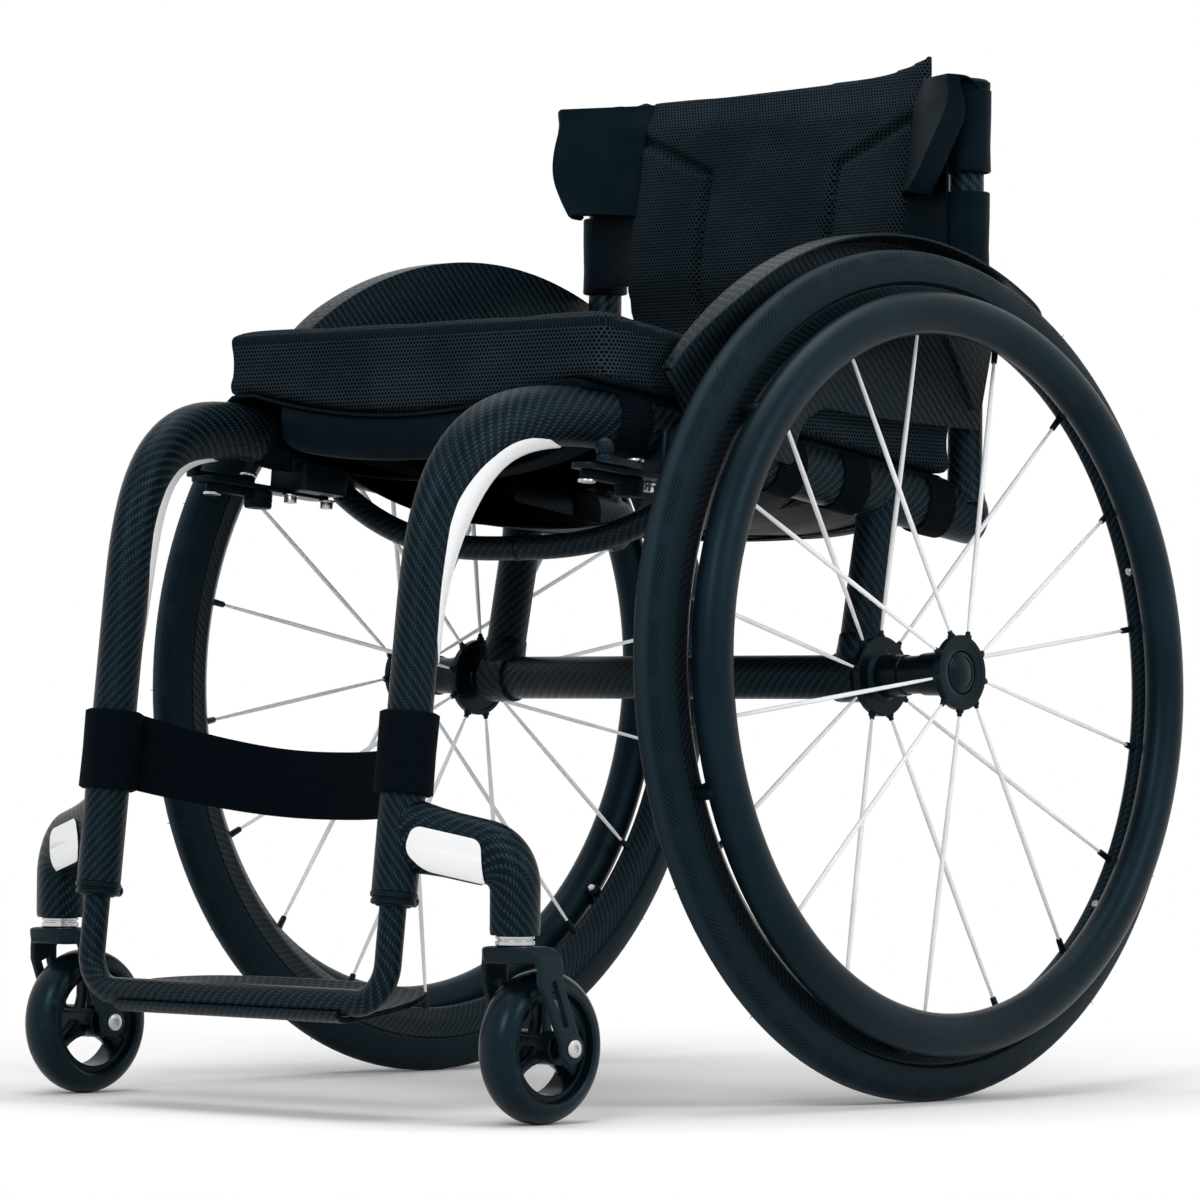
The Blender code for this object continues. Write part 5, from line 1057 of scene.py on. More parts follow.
add_pair("release_cap", moved(turned(button, 48, False), wheel_place), hub_black, "button",
         ["release_button"], 30.0)
add_pair("axle_receiver", moved(turned(receiver, 40), wheel_place), black_metal, "frame",
         ["axle_sleeve"], 30.0)


# Casters
# Small solid wheels: a smooth round polyurethane tyre on a three-spoked nylon core with a
# wide hub, turning on a steel bolt.
CASTER_RADIUS = 0.050
CASTER_WIDTH = 0.029
CASTER_TYRE_HEIGHT = 0.0145
CORE_WIDTH = 0.022
CASTER_BEAD = CASTER_RADIUS - CASTER_TYRE_HEIGHT
caster_place = Matrix.Translation(on_axle(CASTER_SPREAD, -CASTER_REACH, CASTER_RADIUS))


def caster_tyre_profile():
    low = CASTER_BEAD + FIT_GAP
    height = CASTER_RADIUS - low
    wide = CASTER_WIDTH / 2
    half = [(CORE_WIDTH / 2, low), (wide - 0.0012, low + height * 0.05),
            (wide, low + height * 0.18)]
    for step in range(1, 11):
        turn = math.pi / 2 * step / 11
        half.append((wide * math.cos(turn) ** 0.9,
                     low + height * (0.18 + 0.82 * math.sin(turn) ** 1.05)))
    return both_ends(half + [(0.0, CASTER_RADIUS)])


def polyurethane_look(wire):
    scuff = cloudiness(wire, 150.0, 5.0).between(0.60, 0.72)
    clean, scuffed = colour(0.0016, 0.0046, 0.0072), colour(0.0060, 0.0110, 0.0150)
    return {"Base Color": scuff.blend(clean, scuffed),
            "Roughness": 0.24 + cloudiness(wire, 34.0) * 0.16 + scuff * 0.15,
            "Normal": cloudiness(wire, 900.0, 2.0).bumped(0.10, 0.0001)}


caster_rubber = finish("caster_polyurethane", 0.20, polyurethane_look)
add_pair("caster_tread", moved(turned(caster_tyre_profile(), 96), caster_place), caster_rubber,
         "caster", ["caster_tyre"])


def caster_core():
    half = CORE_WIDTH / 2
    inner = CASTER_BEAD - 0.0045
    rim_ring = turned([(-half, inner + 0.0008), (-half + 0.0008, CASTER_BEAD),
                       (half - 0.0008, CASTER_BEAD), (half, inner + 0.0008),
                       (half - 0.0008, inner), (-half + 0.0008, inner)], 96)
    face = [(0.0247, 0.0044), (0.0247, 0.0062), (0.0243, 0.0065), (0.018, 0.0065), (0.018, 0.0078),
            (0.0176, 0.0078), (0.0176, 0.0090), (0.018, 0.0090), (0.018, 0.0102), (0.0172, 0.0110),
            (0.0, 0.0112)]
    webs = []
    for index in range(3):
        out = spoke_way(math.pi / 2, index, 3)
        stations = [(out * reach, out, X_AXIS, CORE_WIDTH * wide, deep)
                    for reach, wide, deep in ((0.006, 0.78, 0.016), (0.012, 0.66, 0.0115),
                                              (0.017, 0.60, 0.0092), (0.024, 0.60, 0.0088),
                                              (0.029, 0.66, 0.0110), (0.0325, 0.74, 0.0165))]
        webs.append(swept(stations, 16, 0.6))
    return gathered(rim_ring, turned(both_ends(face), 48), *webs)


core_nylon = finish("caster_core_nylon", 0.16, black_look((0.0008, 0.0022, 0.0034), 0.18, 240.0))
add_pair("caster_wheel_core", moved(caster_core(), caster_place), core_nylon, "caster",
         ["caster_core"], 30.0)


# Caster forks
# Bent black aluminium forks, milled with a slot in each arm; the stem turns in the arm's
# housing over a bright two-step spacer, and a socket-head bolt carries the wheel.
SPACER_HEIGHT = 0.0064
FORK_TOP = HOUSING_BOTTOM - SPACER_HEIGHT - 2 * FIT_GAP
ARM_HALF = 0.025
ARM_THICK = 0.0045
ARM_X = ARM_HALF + ARM_THICK / 2
HIGH_ARM_X = ARM_X - 0.0030
CROWN_THICK = 0.0115
ARM_TOP_Z = 0.093
ARM_TOP_WIDE = 0.022
CROWN_WIDE = 0.032
CROWN_REAR = 0.018
HIGH_Y = CROWN_REAR - ARM_TOP_WIDE / 2
CROWN_Y = CROWN_REAR - CROWN_WIDE / 2
BOSS_RADIUS = 0.0100
STEM_RADIUS = 0.0070
STEM_RISE = 0.038
# The crown's half, from the arm in: share of the arm's thickness inwards, y, share of the crown's
# thickness below its middle, width, and depth as shares of the arm's and the crown's thickness.
CROWN_STEPS = ((0.18, HIGH_Y, 0.42, ARM_TOP_WIDE, ARM_THICK * 1.35),
               (0.45, HIGH_Y - 0.0008, 0.22, 0.0230, CROWN_THICK * 0.60),
               (0.9, (HIGH_Y + CROWN_Y) / 2, 0.08, 0.0255, CROWN_THICK * 0.78),
               (1.6, CROWN_Y + 0.0008, 0.0, 0.0300, CROWN_THICK * 0.94))


def fork_plate():
    """A flat strip bent round the wheel from one boss to the other."""
    crown_z = FORK_TOP - CROWN_THICK / 2
    low = (ARM_X, CASTER_TRAIL, CASTER_RADIUS, BOSS_RADIUS * 1.86, ARM_THICK)
    high = (HIGH_ARM_X, HIGH_Y, ARM_TOP_Z, ARM_TOP_WIDE, ARM_THICK)
    half = [tuple(a + (b - a) * share for a, b in zip(low, high))
            for share in (0.0, 0.2, 0.4, 0.6, 0.8)]
    half += [high, (HIGH_ARM_X + 0.0001, HIGH_Y, crown_z - CROWN_THICK * 0.75, ARM_TOP_WIDE,
                    ARM_THICK * 1.05)]
    half += [(HIGH_ARM_X - ARM_THICK * inwards, y, crown_z - CROWN_THICK * down, wide, deep)
             for inwards, y, down, wide, deep in CROWN_STEPS]
    half += [(HIGH_ARM_X * 0.58, CROWN_Y, crown_z, CROWN_WIDE, CROWN_THICK)]
    rows = half + [(-row[0], *row[1:]) for row in half[::-1]]
    stations = []
    for index, (x, y, z, wide, deep) in enumerate(rows):
        ahead = rows[min(index + 1, len(rows) - 1)]
        behind = rows[max(index - 1, 0)]
        along = Vector((ahead[0] - behind[0], 0.0, ahead[2] - behind[2]))
        stations.append((on_axle(CASTER_SPREAD + x, y - STEM_REACH, z), along, Y_AXIS, wide, deep))
    return swept(stations, 28, 0.30, 0.01)


def cut_away(bm, *tools):
    """The shape less each tool, by exact Boolean."""
    holder = put("holder", mesh_of("holder", bm))
    cutters = []
    for tool in tools:
        cutters.append(put("cutter", mesh_of("cutter", tool)))
        modifier = holder.modifiers.new("cut", 'BOOLEAN')
        modifier.operation = 'DIFFERENCE'
        modifier.solver = 'EXACT'
        modifier.object = cutters[-1]
    graph = bpy.context.evaluated_depsgraph_get()
    result = bmesh.new()
    result.from_mesh(bpy.data.meshes.new_from_object(holder.evaluated_get(graph)))
    for item in (holder, *cutters):
        bpy.data.objects.remove(item, do_unlink=True)
    return result


def fork_shape():
    slots = []
    bosses = []
    for side in (-1, 1):
        high = on_axle(CASTER_SPREAD + side * HIGH_ARM_X, HIGH_Y - STEM_REACH, ARM_TOP_Z)
        low = on_axle(CASTER_SPREAD + side * ARM_X, -CASTER_REACH, CASTER_RADIUS)
        foot = high.lerp(low, 0.68)
        slots.append(swept([(place, foot - high, X_AXIS, ARM_THICK * 3, wide)
                            for place, wide in ((high, 0.0080), (foot, 0.0050))], 24, 0.5))
        near = low.copy()
        near.x = CASTER_SPREAD + side * ARM_HALF
        bosses.append(softly_ended(near, near + X_AXIS * side * ARM_THICK, BOSS_RADIUS, 0.0006))
    return gathered(cut_away(fork_plate(), *slots), *bosses)


def stood_up(bm, x, y):
    """Turns a piece that was spun about X upright, and sets it over a place."""
    return moved(bm, Matrix.Translation(on_axle(x, y, 0.0)) @ Matrix.Rotation(-math.pi / 2, 4, 'Y'))


stem_foot = on_axle(CASTER_SPREAD, -STEM_REACH, FORK_TOP - 0.002)
stem = softly_ended(stem_foot, stem_foot + Z_AXIS * (STEM_RISE + 0.002), STEM_RADIUS, 0.0008)
fork_black = finish("fork_black", 0.10, black_look((0.0060, 0.0105, 0.0140), 0.34, 640.0))
add_pair("fork_bridge", gathered(fork_shape(), stem), fork_black, "fork",
         ["caster_fork"], 32.0)

spacer = turned(shifted(FORK_TOP + FIT_GAP, 0.0,
                        ((0.0, 0.0075), (0.0, 0.0122), (0.0006, 0.0128), (0.0030, 0.0128),
                         (0.0034, 0.0114), (0.0042, 0.0114), (0.0046, 0.0126),
                         (SPACER_HEIGHT - 0.0004, 0.0126), (SPACER_HEIGHT, 0.0120),
                         (SPACER_HEIGHT, 0.0075))), 48)
add_pair("housing_spacer", stood_up(spacer, CASTER_SPREAD, -STEM_REACH), bright_steel, "frame",
         ["stem_spacer"], 25.0)

bolt_half = shifted(ARM_HALF + ARM_THICK + FIT_GAP, 0.0,
                    ((0.0, 0.0040), (0.0, 0.0056), (0.0005, 0.0060), (0.0014, 0.0057),
                     (0.0020, 0.0042), (0.0020, 0.0026), (0.0004, 0.0024), (0.0004, 0.0)))
bolt = turned([(-along, radius) for along, radius in bolt_half[::-1]] + bolt_half, 36, False)
add_pair("caster_axle_bolt", moved(bolt, caster_place), bright_steel, "fork",
         ["caster_bolt"], 25.0)


# Footrest
# A U of thin carbon tube slides in both legs and is clamped by a collar with one set screw.
# A curved carbon plate hooks round its bar and runs back under the feet.
FOOT_TUBE_RADIUS = 0.009
BAR_HEIGHT = 0.0765
FOOT_CORNER = 0.026
FOOT_INSERTION = 0.110
COLLAR_HEIGHT = 0.0085
leg_way = Vector((0.0, LEG_LEAN, 1.0)).normalized()
screw_way = Vector((0.0, 1.0, -LEG_LEAN)).normalized()


def footrest_line():
    top = LEG_FOOT + FOOT_INSERTION * leg_way.z
    low = leg_point(BAR_HEIGHT)
    left = leg_point(top)
    middle = Vector((0.0, low.y, low.z))
    bend = round_corner(left, low, middle, FOOT_CORNER, 14)
    half = [left, left.lerp(bend[0], 0.5), left.lerp(bend[0], 0.9)] + bend
    half += [bend[-1].lerp(middle, share) for share in (0.1, 0.5)]
    return half + [middle] + [Vector((-point.x, point.y, point.z)) for point in reversed(half)]


foot_tube = swept(stations_along(footrest_line(), screw_way, FOOT_TUBE_RADIUS * 2,
                                 FOOT_TUBE_RADIUS * 2), 28)
add_piece("footrest_bar", foot_tube, carbon, "footrest", ["footrest_tube"])

PLATE_LIP_HALF = 0.106
PLATE_HALF = 0.131
PLATE_DEPTH = 0.054
PLATE_RISE = 0.0115
PLATE_THICK = 0.004
PLATE_END_DROP = 0.005
LIP_SHARE = 0.3
LIP_TURNS = (212.0, 270.0)
plate_bar = leg_point(BAR_HEIGHT)


def plate_place(across, y):
    """A point of the plate: wrapped under the bar at its front edge and curved up behind it."""
    hug = FOOT_TUBE_RADIUS + FIT_GAP * 2
    back = (y + 1.0) / 2.0
    if back < LIP_SHARE:
        turn = math.radians(LIP_TURNS[0] + (LIP_TURNS[1] - LIP_TURNS[0]) * back / LIP_SHARE)
        return Vector((PLATE_LIP_HALF * across, plate_bar.y + hug * math.cos(turn),
                       plate_bar.z + hug * math.sin(turn)))
    share = (back - LIP_SHARE) / (1.0 - LIP_SHARE)
    x = (PLATE_LIP_HALF + (PLATE_HALF - PLATE_LIP_HALF) * eased(share * 1.15)) * across
    end = hug + PLATE_RISE - PLATE_END_DROP * abs(across) ** 3
    edge = 0.004 * abs(across) ** 6 * share
    return Vector((x, plate_bar.y + PLATE_DEPTH * share - edge,
                   plate_bar.z - hug + end * share ** 1.5))


foot_plate = laid_grid(48, 26, plate_place, (2 * PLATE_HALF, PLATE_DEPTH))
if sum(face.normal.z for face in foot_plate.faces) < 0:
    bmesh.ops.reverse_faces(foot_plate, faces=foot_plate.faces)
plate = add_piece("foot_board", thick(foot_plate, PLATE_THICK), carbon, "footrest",
                  ["footplate"])
softened = plate.modifiers.new("soft_edges", 'BEVEL')
softened.width = 0.0009
softened.segments = 2
softened.limit_method = 'ANGLE'

collar_top = leg_point(LEG_FOOT) - leg_way * FIT_GAP
collar_foot = collar_top - leg_way * COLLAR_HEIGHT
collar = straight(collar_foot, collar_top,
                  [(0.0, 0.0138), (0.08, 0.0150), (0.35, 0.0150), (0.42, 0.0144), (0.52, 0.0144),
                   (0.60, 0.0156), (0.95, 0.0156), (1.0, 0.0150)], 40)
lower_lip = straight(collar_foot - leg_way * 0.001, collar_foot, [(0.0, 0.0110), (1.0, 0.0122)], 40)
screw_root = (collar_top + collar_foot) / 2 + screw_way * 0.0125
screw = straight(screw_root, screw_root + screw_way * 0.0081,
                 [(0.0, 0.0028), (0.45, 0.0028), (0.46, 0.0038), (0.9, 0.0038), (1.0, 0.0032)], 20)
black_plastic = finish("black_plastic", 0.14, black_look((0.0010, 0.0026, 0.0040), 0.30, 180.0))
add_pair("height_collar", gathered(collar, lower_lip, screw), black_plastic, "frame",
         ["leg_collar"], 30.0)


# Leg strap
# A black elastic band slung behind the calves, sewn into a wider loop round each leg.
# Fine ribs stand across it, and its surface is matt.
RIB_COLOUR = (0.0008, 0.0016, 0.0026)
CROSS_PITCH = 0.0009


def ribs_look(pitch):
    """Woven webbing with ribs that stand across it, their crests painted light and their troughs
    painted dark as shade.
    """
    # The rib colour is taken darker for the troughs and lighter for the crests: painted shade and
    # painted light.
    low, bright = [colour(*[part * times for part in RIB_COLOUR]) for times in (0.35, 2.6)]

    def varying(wire):
        round_piece, along = surface_metres(wire)
        rib = abs((round_piece / pitch).fraction() - 0.5) * 2.0
        cross = abs((along / CROSS_PITCH).fraction() - 0.5) * 2.0
        crest = 1.0 - rib * rib
        # Painted light on the rib crests and painted shade in the troughs.
        return {"Base Color": crest.between(0.05, 0.85).blend(low, bright),
                "Roughness": 0.62 + cloudiness(wire, 60.0) * 0.2,
                "Normal": (crest + cross * 0.18).bumped(0.8, 0.0005)}
    return varying


elastic = finish("ribbed_elastic", 0.03, ribs_look(0.0016))
STRAP_TOP = 0.2644
STRAP_BOTTOM = 0.2125
STRAP_THICK = 0.003
LOOP_PROUD = 0.0044
STRAP_SAG_BACK = 0.058
STRAP_TOP_SAG = 0.026
STRAP_BOTTOM_SAG = 0.0195
STRAP_POWER = 2.4
strap_back = LEG_DEPTH / 2 + FIT_GAP + STRAP_THICK


def band_place(x, y):
    """A place on the strap's rear face, from leg to leg and from bottom to top."""
    share = (y + 1.0) / 2.0
    slack = 1.0 - abs(x) ** STRAP_POWER
    sag = STRAP_BOTTOM_SAG + (STRAP_TOP_SAG - STRAP_BOTTOM_SAG) * share
    height = STRAP_BOTTOM + (STRAP_TOP - STRAP_BOTTOM) * share
    wave = 0.0007 * math.sin(x * 9.0 + 1.0) * slack
    back = leg_y(height) + strap_back + STRAP_SAG_BACK * slack + wave
    return on_axle(LEG_SPREAD * x, back, height - sag * slack)


def webbing_loop(steps, along, centre, deep, pitch, wall):
    """A band once round a tube: centre(place) is its middle, steps are (place, how proud)."""
    stations = []
    for place, proud in steps:
        size = (FIT_GAP + proud) * 2
        stations.append((centre(place), along, X_AXIS, TUBE_WIDTH + size, deep + size))
    return thick(swept(stations, 40, 1.0, pitch, False), wall)


loop_low = STRAP_BOTTOM - 0.001
loop_high = STRAP_TOP + 0.001
leg_loop = webbing_loop(((loop_low, 0.0020), (loop_low + 0.0012, LOOP_PROUD),
                         ((loop_low + loop_high) / 2, LOOP_PROUD - 0.0004),
                         (loop_high - 0.0012, LOOP_PROUD), (loop_high, 0.0020)),
                        leg_way, leg_point, LEG_DEPTH, 0.0016, 0.0011)
band = thick(laid_grid(72, 10, band_place, (2.0 * (LEG_SPREAD + STRAP_SAG_BACK * 0.62),
                                            STRAP_TOP - STRAP_BOTTOM)), 0.0022)
calf_band = add_piece("calf_band", gathered(band, mirrored(leg_loop), leg_loop), elastic, "frame",
                      ["calf_strap"])


# Seat sheet
# Nylon stretched over both rails, with a padded front roll and a looser under-cloth. Ribbed
# webbing loops go round the rails, and their tension straps cross below.
THREAD = 0.0008


def nylon_look(wire):
    x, y, z = place_in_space(wire).parts()
    weave = abs((x / THREAD).fraction() - 0.5) + abs(((y + z) / THREAD).fraction() - 0.5)
    wrinkle = cloudiness(wire, 22.0, 5.0)
    fine = cloudiness(wire, 140.0, 3.0)
    height = weave * 0.10 + wrinkle * 2.2 + fine * 0.25
    # The colour follows the wrinkle height: lighter on the folds' crests and darker in their
    # hollows, as painted shade.
    dark, light = colour(0.0008, 0.0032, 0.0058), colour(0.0020, 0.0058, 0.0094)
    return {"Base Color": wrinkle.between(0.35, 0.7).blend(dark, light),
            "Roughness": 0.44 + fine * 0.16,
            "Normal": height.bumped(0.5, 0.0009)}


nylon = finish("smooth_nylon", 0.05, nylon_look)
webbing = finish("ribbed_webbing", 0.03, ribs_look(0.0022))
SLING_THICK = 0.0025
SLING_FRONT = 0.284
SLING_REAR = 0.088
SLING_SAG = 0.018
SAG_HALF = 0.150
LOOP_WIDTH = 0.028
LOOP_PLACES = (-0.245, -0.087, -0.018, 0.077)
STRAP_LIFTS = (0.034, 0.002, 0.002, 0.002)
STRAP_WIDE = 0.026
RAIL_INSIDE = TUBE_WIDTH / 2 + 0.0006
ROLL_HEIGHT = 0.032
ROLL_THICK = 0.012
UNDER_LOW = 0.3935
UNDER_SEAM = UNDER_LOW + 0.004
UNDER_FRONT = 0.130
UNDER_REAR = 0.092


def sheet_top(x, y):
    """The upper side of the seat sheet, y told from the axle line."""
    slack = max(1.0 - (x / SAG_HALF) ** 2, 0.0)
    over = max(abs(x) - RAIL_SPREAD, 0.0) / (TUBE_WIDTH / 2)
    drop = RAIL_DEPTH / 2 * (1.0 - math.sqrt(max(1.0 - over ** 2, 0.0)))
    return rail_top(y) + FIT_GAP + SLING_THICK - SLING_SAG * slack - drop


def rail_spread(y):
    """How far out the rail's centre line is at a place along it."""
    target = y + AXLE_Y
    for low, high in zip(frame_stations, frame_stations[1:]):
        if low[0].z > BEND_FOOT and low[0].y <= target <= high[0].y:
            share = (target - low[0].y) / (high[0].y - low[0].y)
            return low[0].x + (high[0].x - low[0].x) * share
    return RAIL_SPREAD


def seat_place(x, y):
    reach = (SLING_REAR - SLING_FRONT) / 2 + y * (SLING_REAR + SLING_FRONT) / 2
    spread = rail_spread(reach)
    wide = math.copysign(abs(x) ** 0.9, x) * (spread + 0.009)
    return on_axle(wide, reach, sheet_top(wide * RAIL_SPREAD / spread, reach))


seat = thick(laid_grid(56, 40, seat_place, (0.366, 0.372)), 0.002)
seat_piece = add_piece("seat_sheet", seat, nylon, "frame", ["seat_sling"])


def front_roll():
    """A padded hem that hangs from the sheet's front edge between the legs."""
    flap_half = LEG_SPREAD - TUBE_WIDTH / 2 - 0.006
    stations = []
    for step in range(-20, 21):
        x = flap_half * math.sin(math.pi / 2 * step / 20)
        slim = (1.0 - abs(step / 20) ** 8) * 0.45 + 0.55
        height = ROLL_HEIGHT * slim
        centre = on_axle(x, -SLING_FRONT + 0.0065, sheet_top(x, -SLING_FRONT) - height / 2)
        stations.append((centre, X_AXIS, Y_AXIS, ROLL_THICK * slim, height))
    return swept(stations, 24, 0.85, 0.002)


add_piece("seat_front_roll", front_roll(), nylon, "frame", [])


def rail_loop(y):
    """A webbing band that goes once round the rail."""
    half = LOOP_WIDTH / 2
    steps = ((-1.0, 0.0004), (-0.97, 0.0014), (0.0, 0.0016), (0.97, 0.0014), (1.0, 0.0004))
    return webbing_loop([(y + share * half, proud) for share, proud in steps],
                        Vector((0.0, 1.0, -RAIL_SLOPE)),
                        lambda at: on_axle(rail_spread(at), at, rail_z(at)), RAIL_DEPTH,
                        0.0022, 0.0010)


def tension_strap(y, low):
    """A strap from rail to rail that hangs below the seat sheet."""
    half = rail_spread(y) - RAIL_INSIDE
    rise = rail_z(y) - 0.006 - low
    return thick(laid_grid(40, 3, lambda x, share: on_axle(half * x, y + share * STRAP_WIDE / 2,
                                                           low + rise * abs(x) ** 2.4),
                           (2.2 * half, STRAP_WIDE)), 0.0016)


add_pair("rail_loops", gathered(*[rail_loop(y) for y in LOOP_PLACES]), webbing, "frame")
straps = [tension_strap(y, UNDER_LOW + lift) for y, lift in zip(LOOP_PLACES, STRAP_LIFTS)]
strap_webbing = finish("strap_webbing", 0.03, ribs_look(0.0022))
add_piece("tension_straps", gathered(*straps), strap_webbing, "frame", [])


def under_place(x, y):
    """The under-cloth: its front edge runs back in the middle, and folds cross it."""
    front = -UNDER_FRONT - 0.085 * abs(x) ** 3.2
    reach = front + (y + 1.0) / 2.0 * (UNDER_REAR - front)
    fold = 0.0012 * math.sin(x * 7.0 + y * 2.0) + 0.0008 * math.sin(y * 11.0)
    rise = (rail_z(reach) - 0.004 - UNDER_SEAM) * abs(x) ** 3.4
    return on_axle((RAIL_SPREAD - RAIL_INSIDE) * x, reach,
                   UNDER_SEAM + rise + fold * (1.0 - x * x))


under_form = thick(laid_grid(48, 30, under_place, (0.34, 0.222)), 0.0012)
under = add_piece("under_cloth", under_form, nylon, "frame", [])


# Seat cushion
# A foam block in a loose cover: knitted mesh with staggered holes on top and sides, a ribbed
# strip round its upper edge. It lies in the seat sheet, and lifts off.
CUSHION_HALF = 0.1842
CUSHION_FRONT = 0.2815
CUSHION_REAR = 0.094
CUSHION_THICK = 0.047
CUSHION_CROWN = 0.005
CUSHION_CORNER = 0.014
CUSHION_DRAW = 0.0022
CUSHION_EARS = 0.009
CUSHION_ROLL = 0.004
CUSHION_MIDDLE = (CUSHION_REAR - CUSHION_FRONT) / 2
CUSHION_HALF_LENGTH = (CUSHION_REAR + CUSHION_FRONT) / 2
STRIP_LOW = rail_top(0.0) + SLING_THICK + CUSHION_THICK - 0.0105
STRIP_HIGH = STRIP_LOW + 0.0060
RIB_PITCH = 0.0026


def knit(across, up, wide, high):
    """How far a place is from a hole's middle in staggered rows: under 0.55 in the hole."""
    row = up / high
    shift = (row.floor() % 2.0) * 0.5
    x = (across / wide + shift).fraction() - 0.5
    y = row.fraction() - 0.5
    return x * x * 9.5 + y * y * 7.0


def knit_look(wide, high, strip=None):
    """Knitted mesh whose holes are painted near black as shade; strip is the height range of a
    ribbed strip, if any.
    """
    def varying(wire):
        place = place_in_space(wire).parts()
        facing = wire.node("ShaderNodeTexCoord", None, None, 1).parts()
        on_side = abs(facing[0]) > 0.70
        on_top = abs(facing[2]) > 0.72
        across = place[0] + on_side * (place[1] - place[0])
        up = place[2] + on_top * (place[1] - place[2])
        hole = 1.0 - knit(across, up, wide, high).between(0.55, 1.30)
        thread = abs((across / (wide / 4)).fraction() - 0.5) * (1.0 - hole)
        height = 1.0 - hole + thread * 0.25
        drift = cloudiness(wire, 18.0)
        dark, light = colour(0.0120, 0.0205, 0.0275), colour(0.0190, 0.0300, 0.0385)
        yarn = drift.between(0.3, 0.7).blend(dark, light)
        # The holes are not open: they are painted near black as the shade inside them.
        shade = hole.blend(yarn, colour(0.0002, 0.0008, 0.0014))
        if strip:
            top_line = place[2] + (place[1] - AXLE_Y) * RAIL_SLOPE
            in_strip = (top_line > strip[0]) * (top_line < strip[1]) * (1.0 - on_top)
            rib = abs((across / RIB_PITCH).fraction() - 0.5) * 2.0
            height = height + in_strip * (rib * 1.3 - height)
            # Painted shade between the strip's ribs and painted light on their crests.
            ribs = rib.blend(colour(0.0006, 0.0016, 0.0026), colour(0.0120, 0.0200, 0.0265))
            shade = in_strip.blend(shade, ribs)
        return {"Base Color": shade,
                "Roughness": 0.66 + drift * 0.16,
                "Normal": height.bumped(0.9, 0.0008)}
    return varying


def cushion_place(a, b, c):
    """Where a point of a cube from -1 to 1 goes on the cushion."""
    x = a * CUSHION_HALF
    y = b * CUSHION_HALF_LENGTH
    inner_x = CUSHION_HALF - CUSHION_CORNER
    inner_y = CUSHION_HALF_LENGTH - CUSHION_CORNER
    past_x = abs(x) - inner_x
    past_y = abs(y) - inner_y
    if past_x > 0 and past_y > 0:
        pull = max(past_x, past_y) / math.hypot(past_x, past_y)
        x = math.copysign(inner_x + past_x * pull, x)
        y = math.copysign(inner_y + past_y * pull, y)
    share = (c + 1.0) / 2.0
    rim = max(abs(a), abs(b))
    waist = math.sin(math.pi * share) ** 0.8
    size = 1.0 - (CUSHION_DRAW / CUSHION_HALF) * waist * rim ** 4
    if y > 0.0:
        y += CUSHION_EARS * (y / CUSHION_HALF_LENGTH) * (x / CUSHION_HALF) ** 4
    x *= size
    y = CUSHION_MIDDLE + y * size
    rolled = CUSHION_ROLL * (max(rim - 0.95, 0.0) / 0.05) ** 2.4
    low = sheet_top(min(abs(x), SAG_HALF), y) + 0.0006 + rolled * 0.8
    top = rail_top(y) + SLING_THICK + CUSHION_THICK + CUSHION_CROWN * (1.0 - rim ** 2) - rolled
    return on_axle(x, y, low + (top - low) * share)


def cube_form(cuts, place):
    """A cube cut into a fine grid whose points go where place(a, b, c) says."""
    bm = bmesh.new()
    bmesh.ops.create_cube(bm, size=2.0)
    bmesh.ops.subdivide_edges(bm, edges=bm.edges[:], cuts=cuts, use_grid_fill=True)
    for vert in bm.verts:
        vert.co = place(*vert.co)
    return outward(bm)


SWELL_FRAMES = 20
SWELL_PRESSURE = 4.0


def smoothed(bm):
    bmesh.ops.smooth_vert(bm, verts=bm.verts, factor=0.5, use_axis_x=True, use_axis_y=True,
                          use_axis_z=True)
    return bm


def blown_up(form):
    """Where each point of a form is after it has swelled as cloth."""
    cloth = form.modifiers.new("cloth", 'CLOTH')
    cloth.settings.use_pressure = True
    cloth.settings.uniform_pressure_force = SWELL_PRESSURE
    cloth.settings.effector_weights.gravity = 0.0
    cloth.settings.quality = 5
    cloth.point_cache.frame_start = 1
    cloth.point_cache.frame_end = SWELL_FRAMES
    for frame_number in range(1, SWELL_FRAMES + 1):
        bpy.context.scene.frame_set(frame_number)
    swelled = form.evaluated_get(bpy.context.evaluated_depsgraph_get())
    ends = [vert.co.copy() for vert in swelled.to_mesh().vertices]
    swelled.to_mesh_clear()
    form.modifiers.clear()
    bpy.context.scene.frame_set(1)
    return ends


def swollen(name, bm, voxel, most, kept):
    """Stuffs a form: evens its mesh, blows it up as cloth and caps how far each point moves."""
    form = put(name + "_form", mesh_of(name, bm))
    remesh = form.modifiers.new("even", 'REMESH')
    remesh.mode = 'VOXEL'
    remesh.voxel_size = voxel
    graph = bpy.context.evaluated_depsgraph_get()
    even = bpy.data.meshes.new_from_object(form.evaluated_get(graph))
    form.modifiers.clear()
    form.data = even
    for vert, last in zip(even.vertices, blown_up(form)):
        move = last - vert.co
        if move.length > most:
            move = move.normalized() * most
        vert.co = vert.co + kept(vert.co, move)
    result = bmesh.new()
    result.from_mesh(even)
    bpy.data.objects.remove(form, do_unlink=True)
    return smoothed(result)


def flat_below(first, move):
    """Keeps the cushion's underside on the seat sheet."""
    if first.z < sheet_top(min(abs(first.x), SAG_HALF), first.y - AXLE_Y) + 0.010:
        return Vector((move.x * 0.4, move.y * 0.4, max(move.z, 0.0)))
    return move


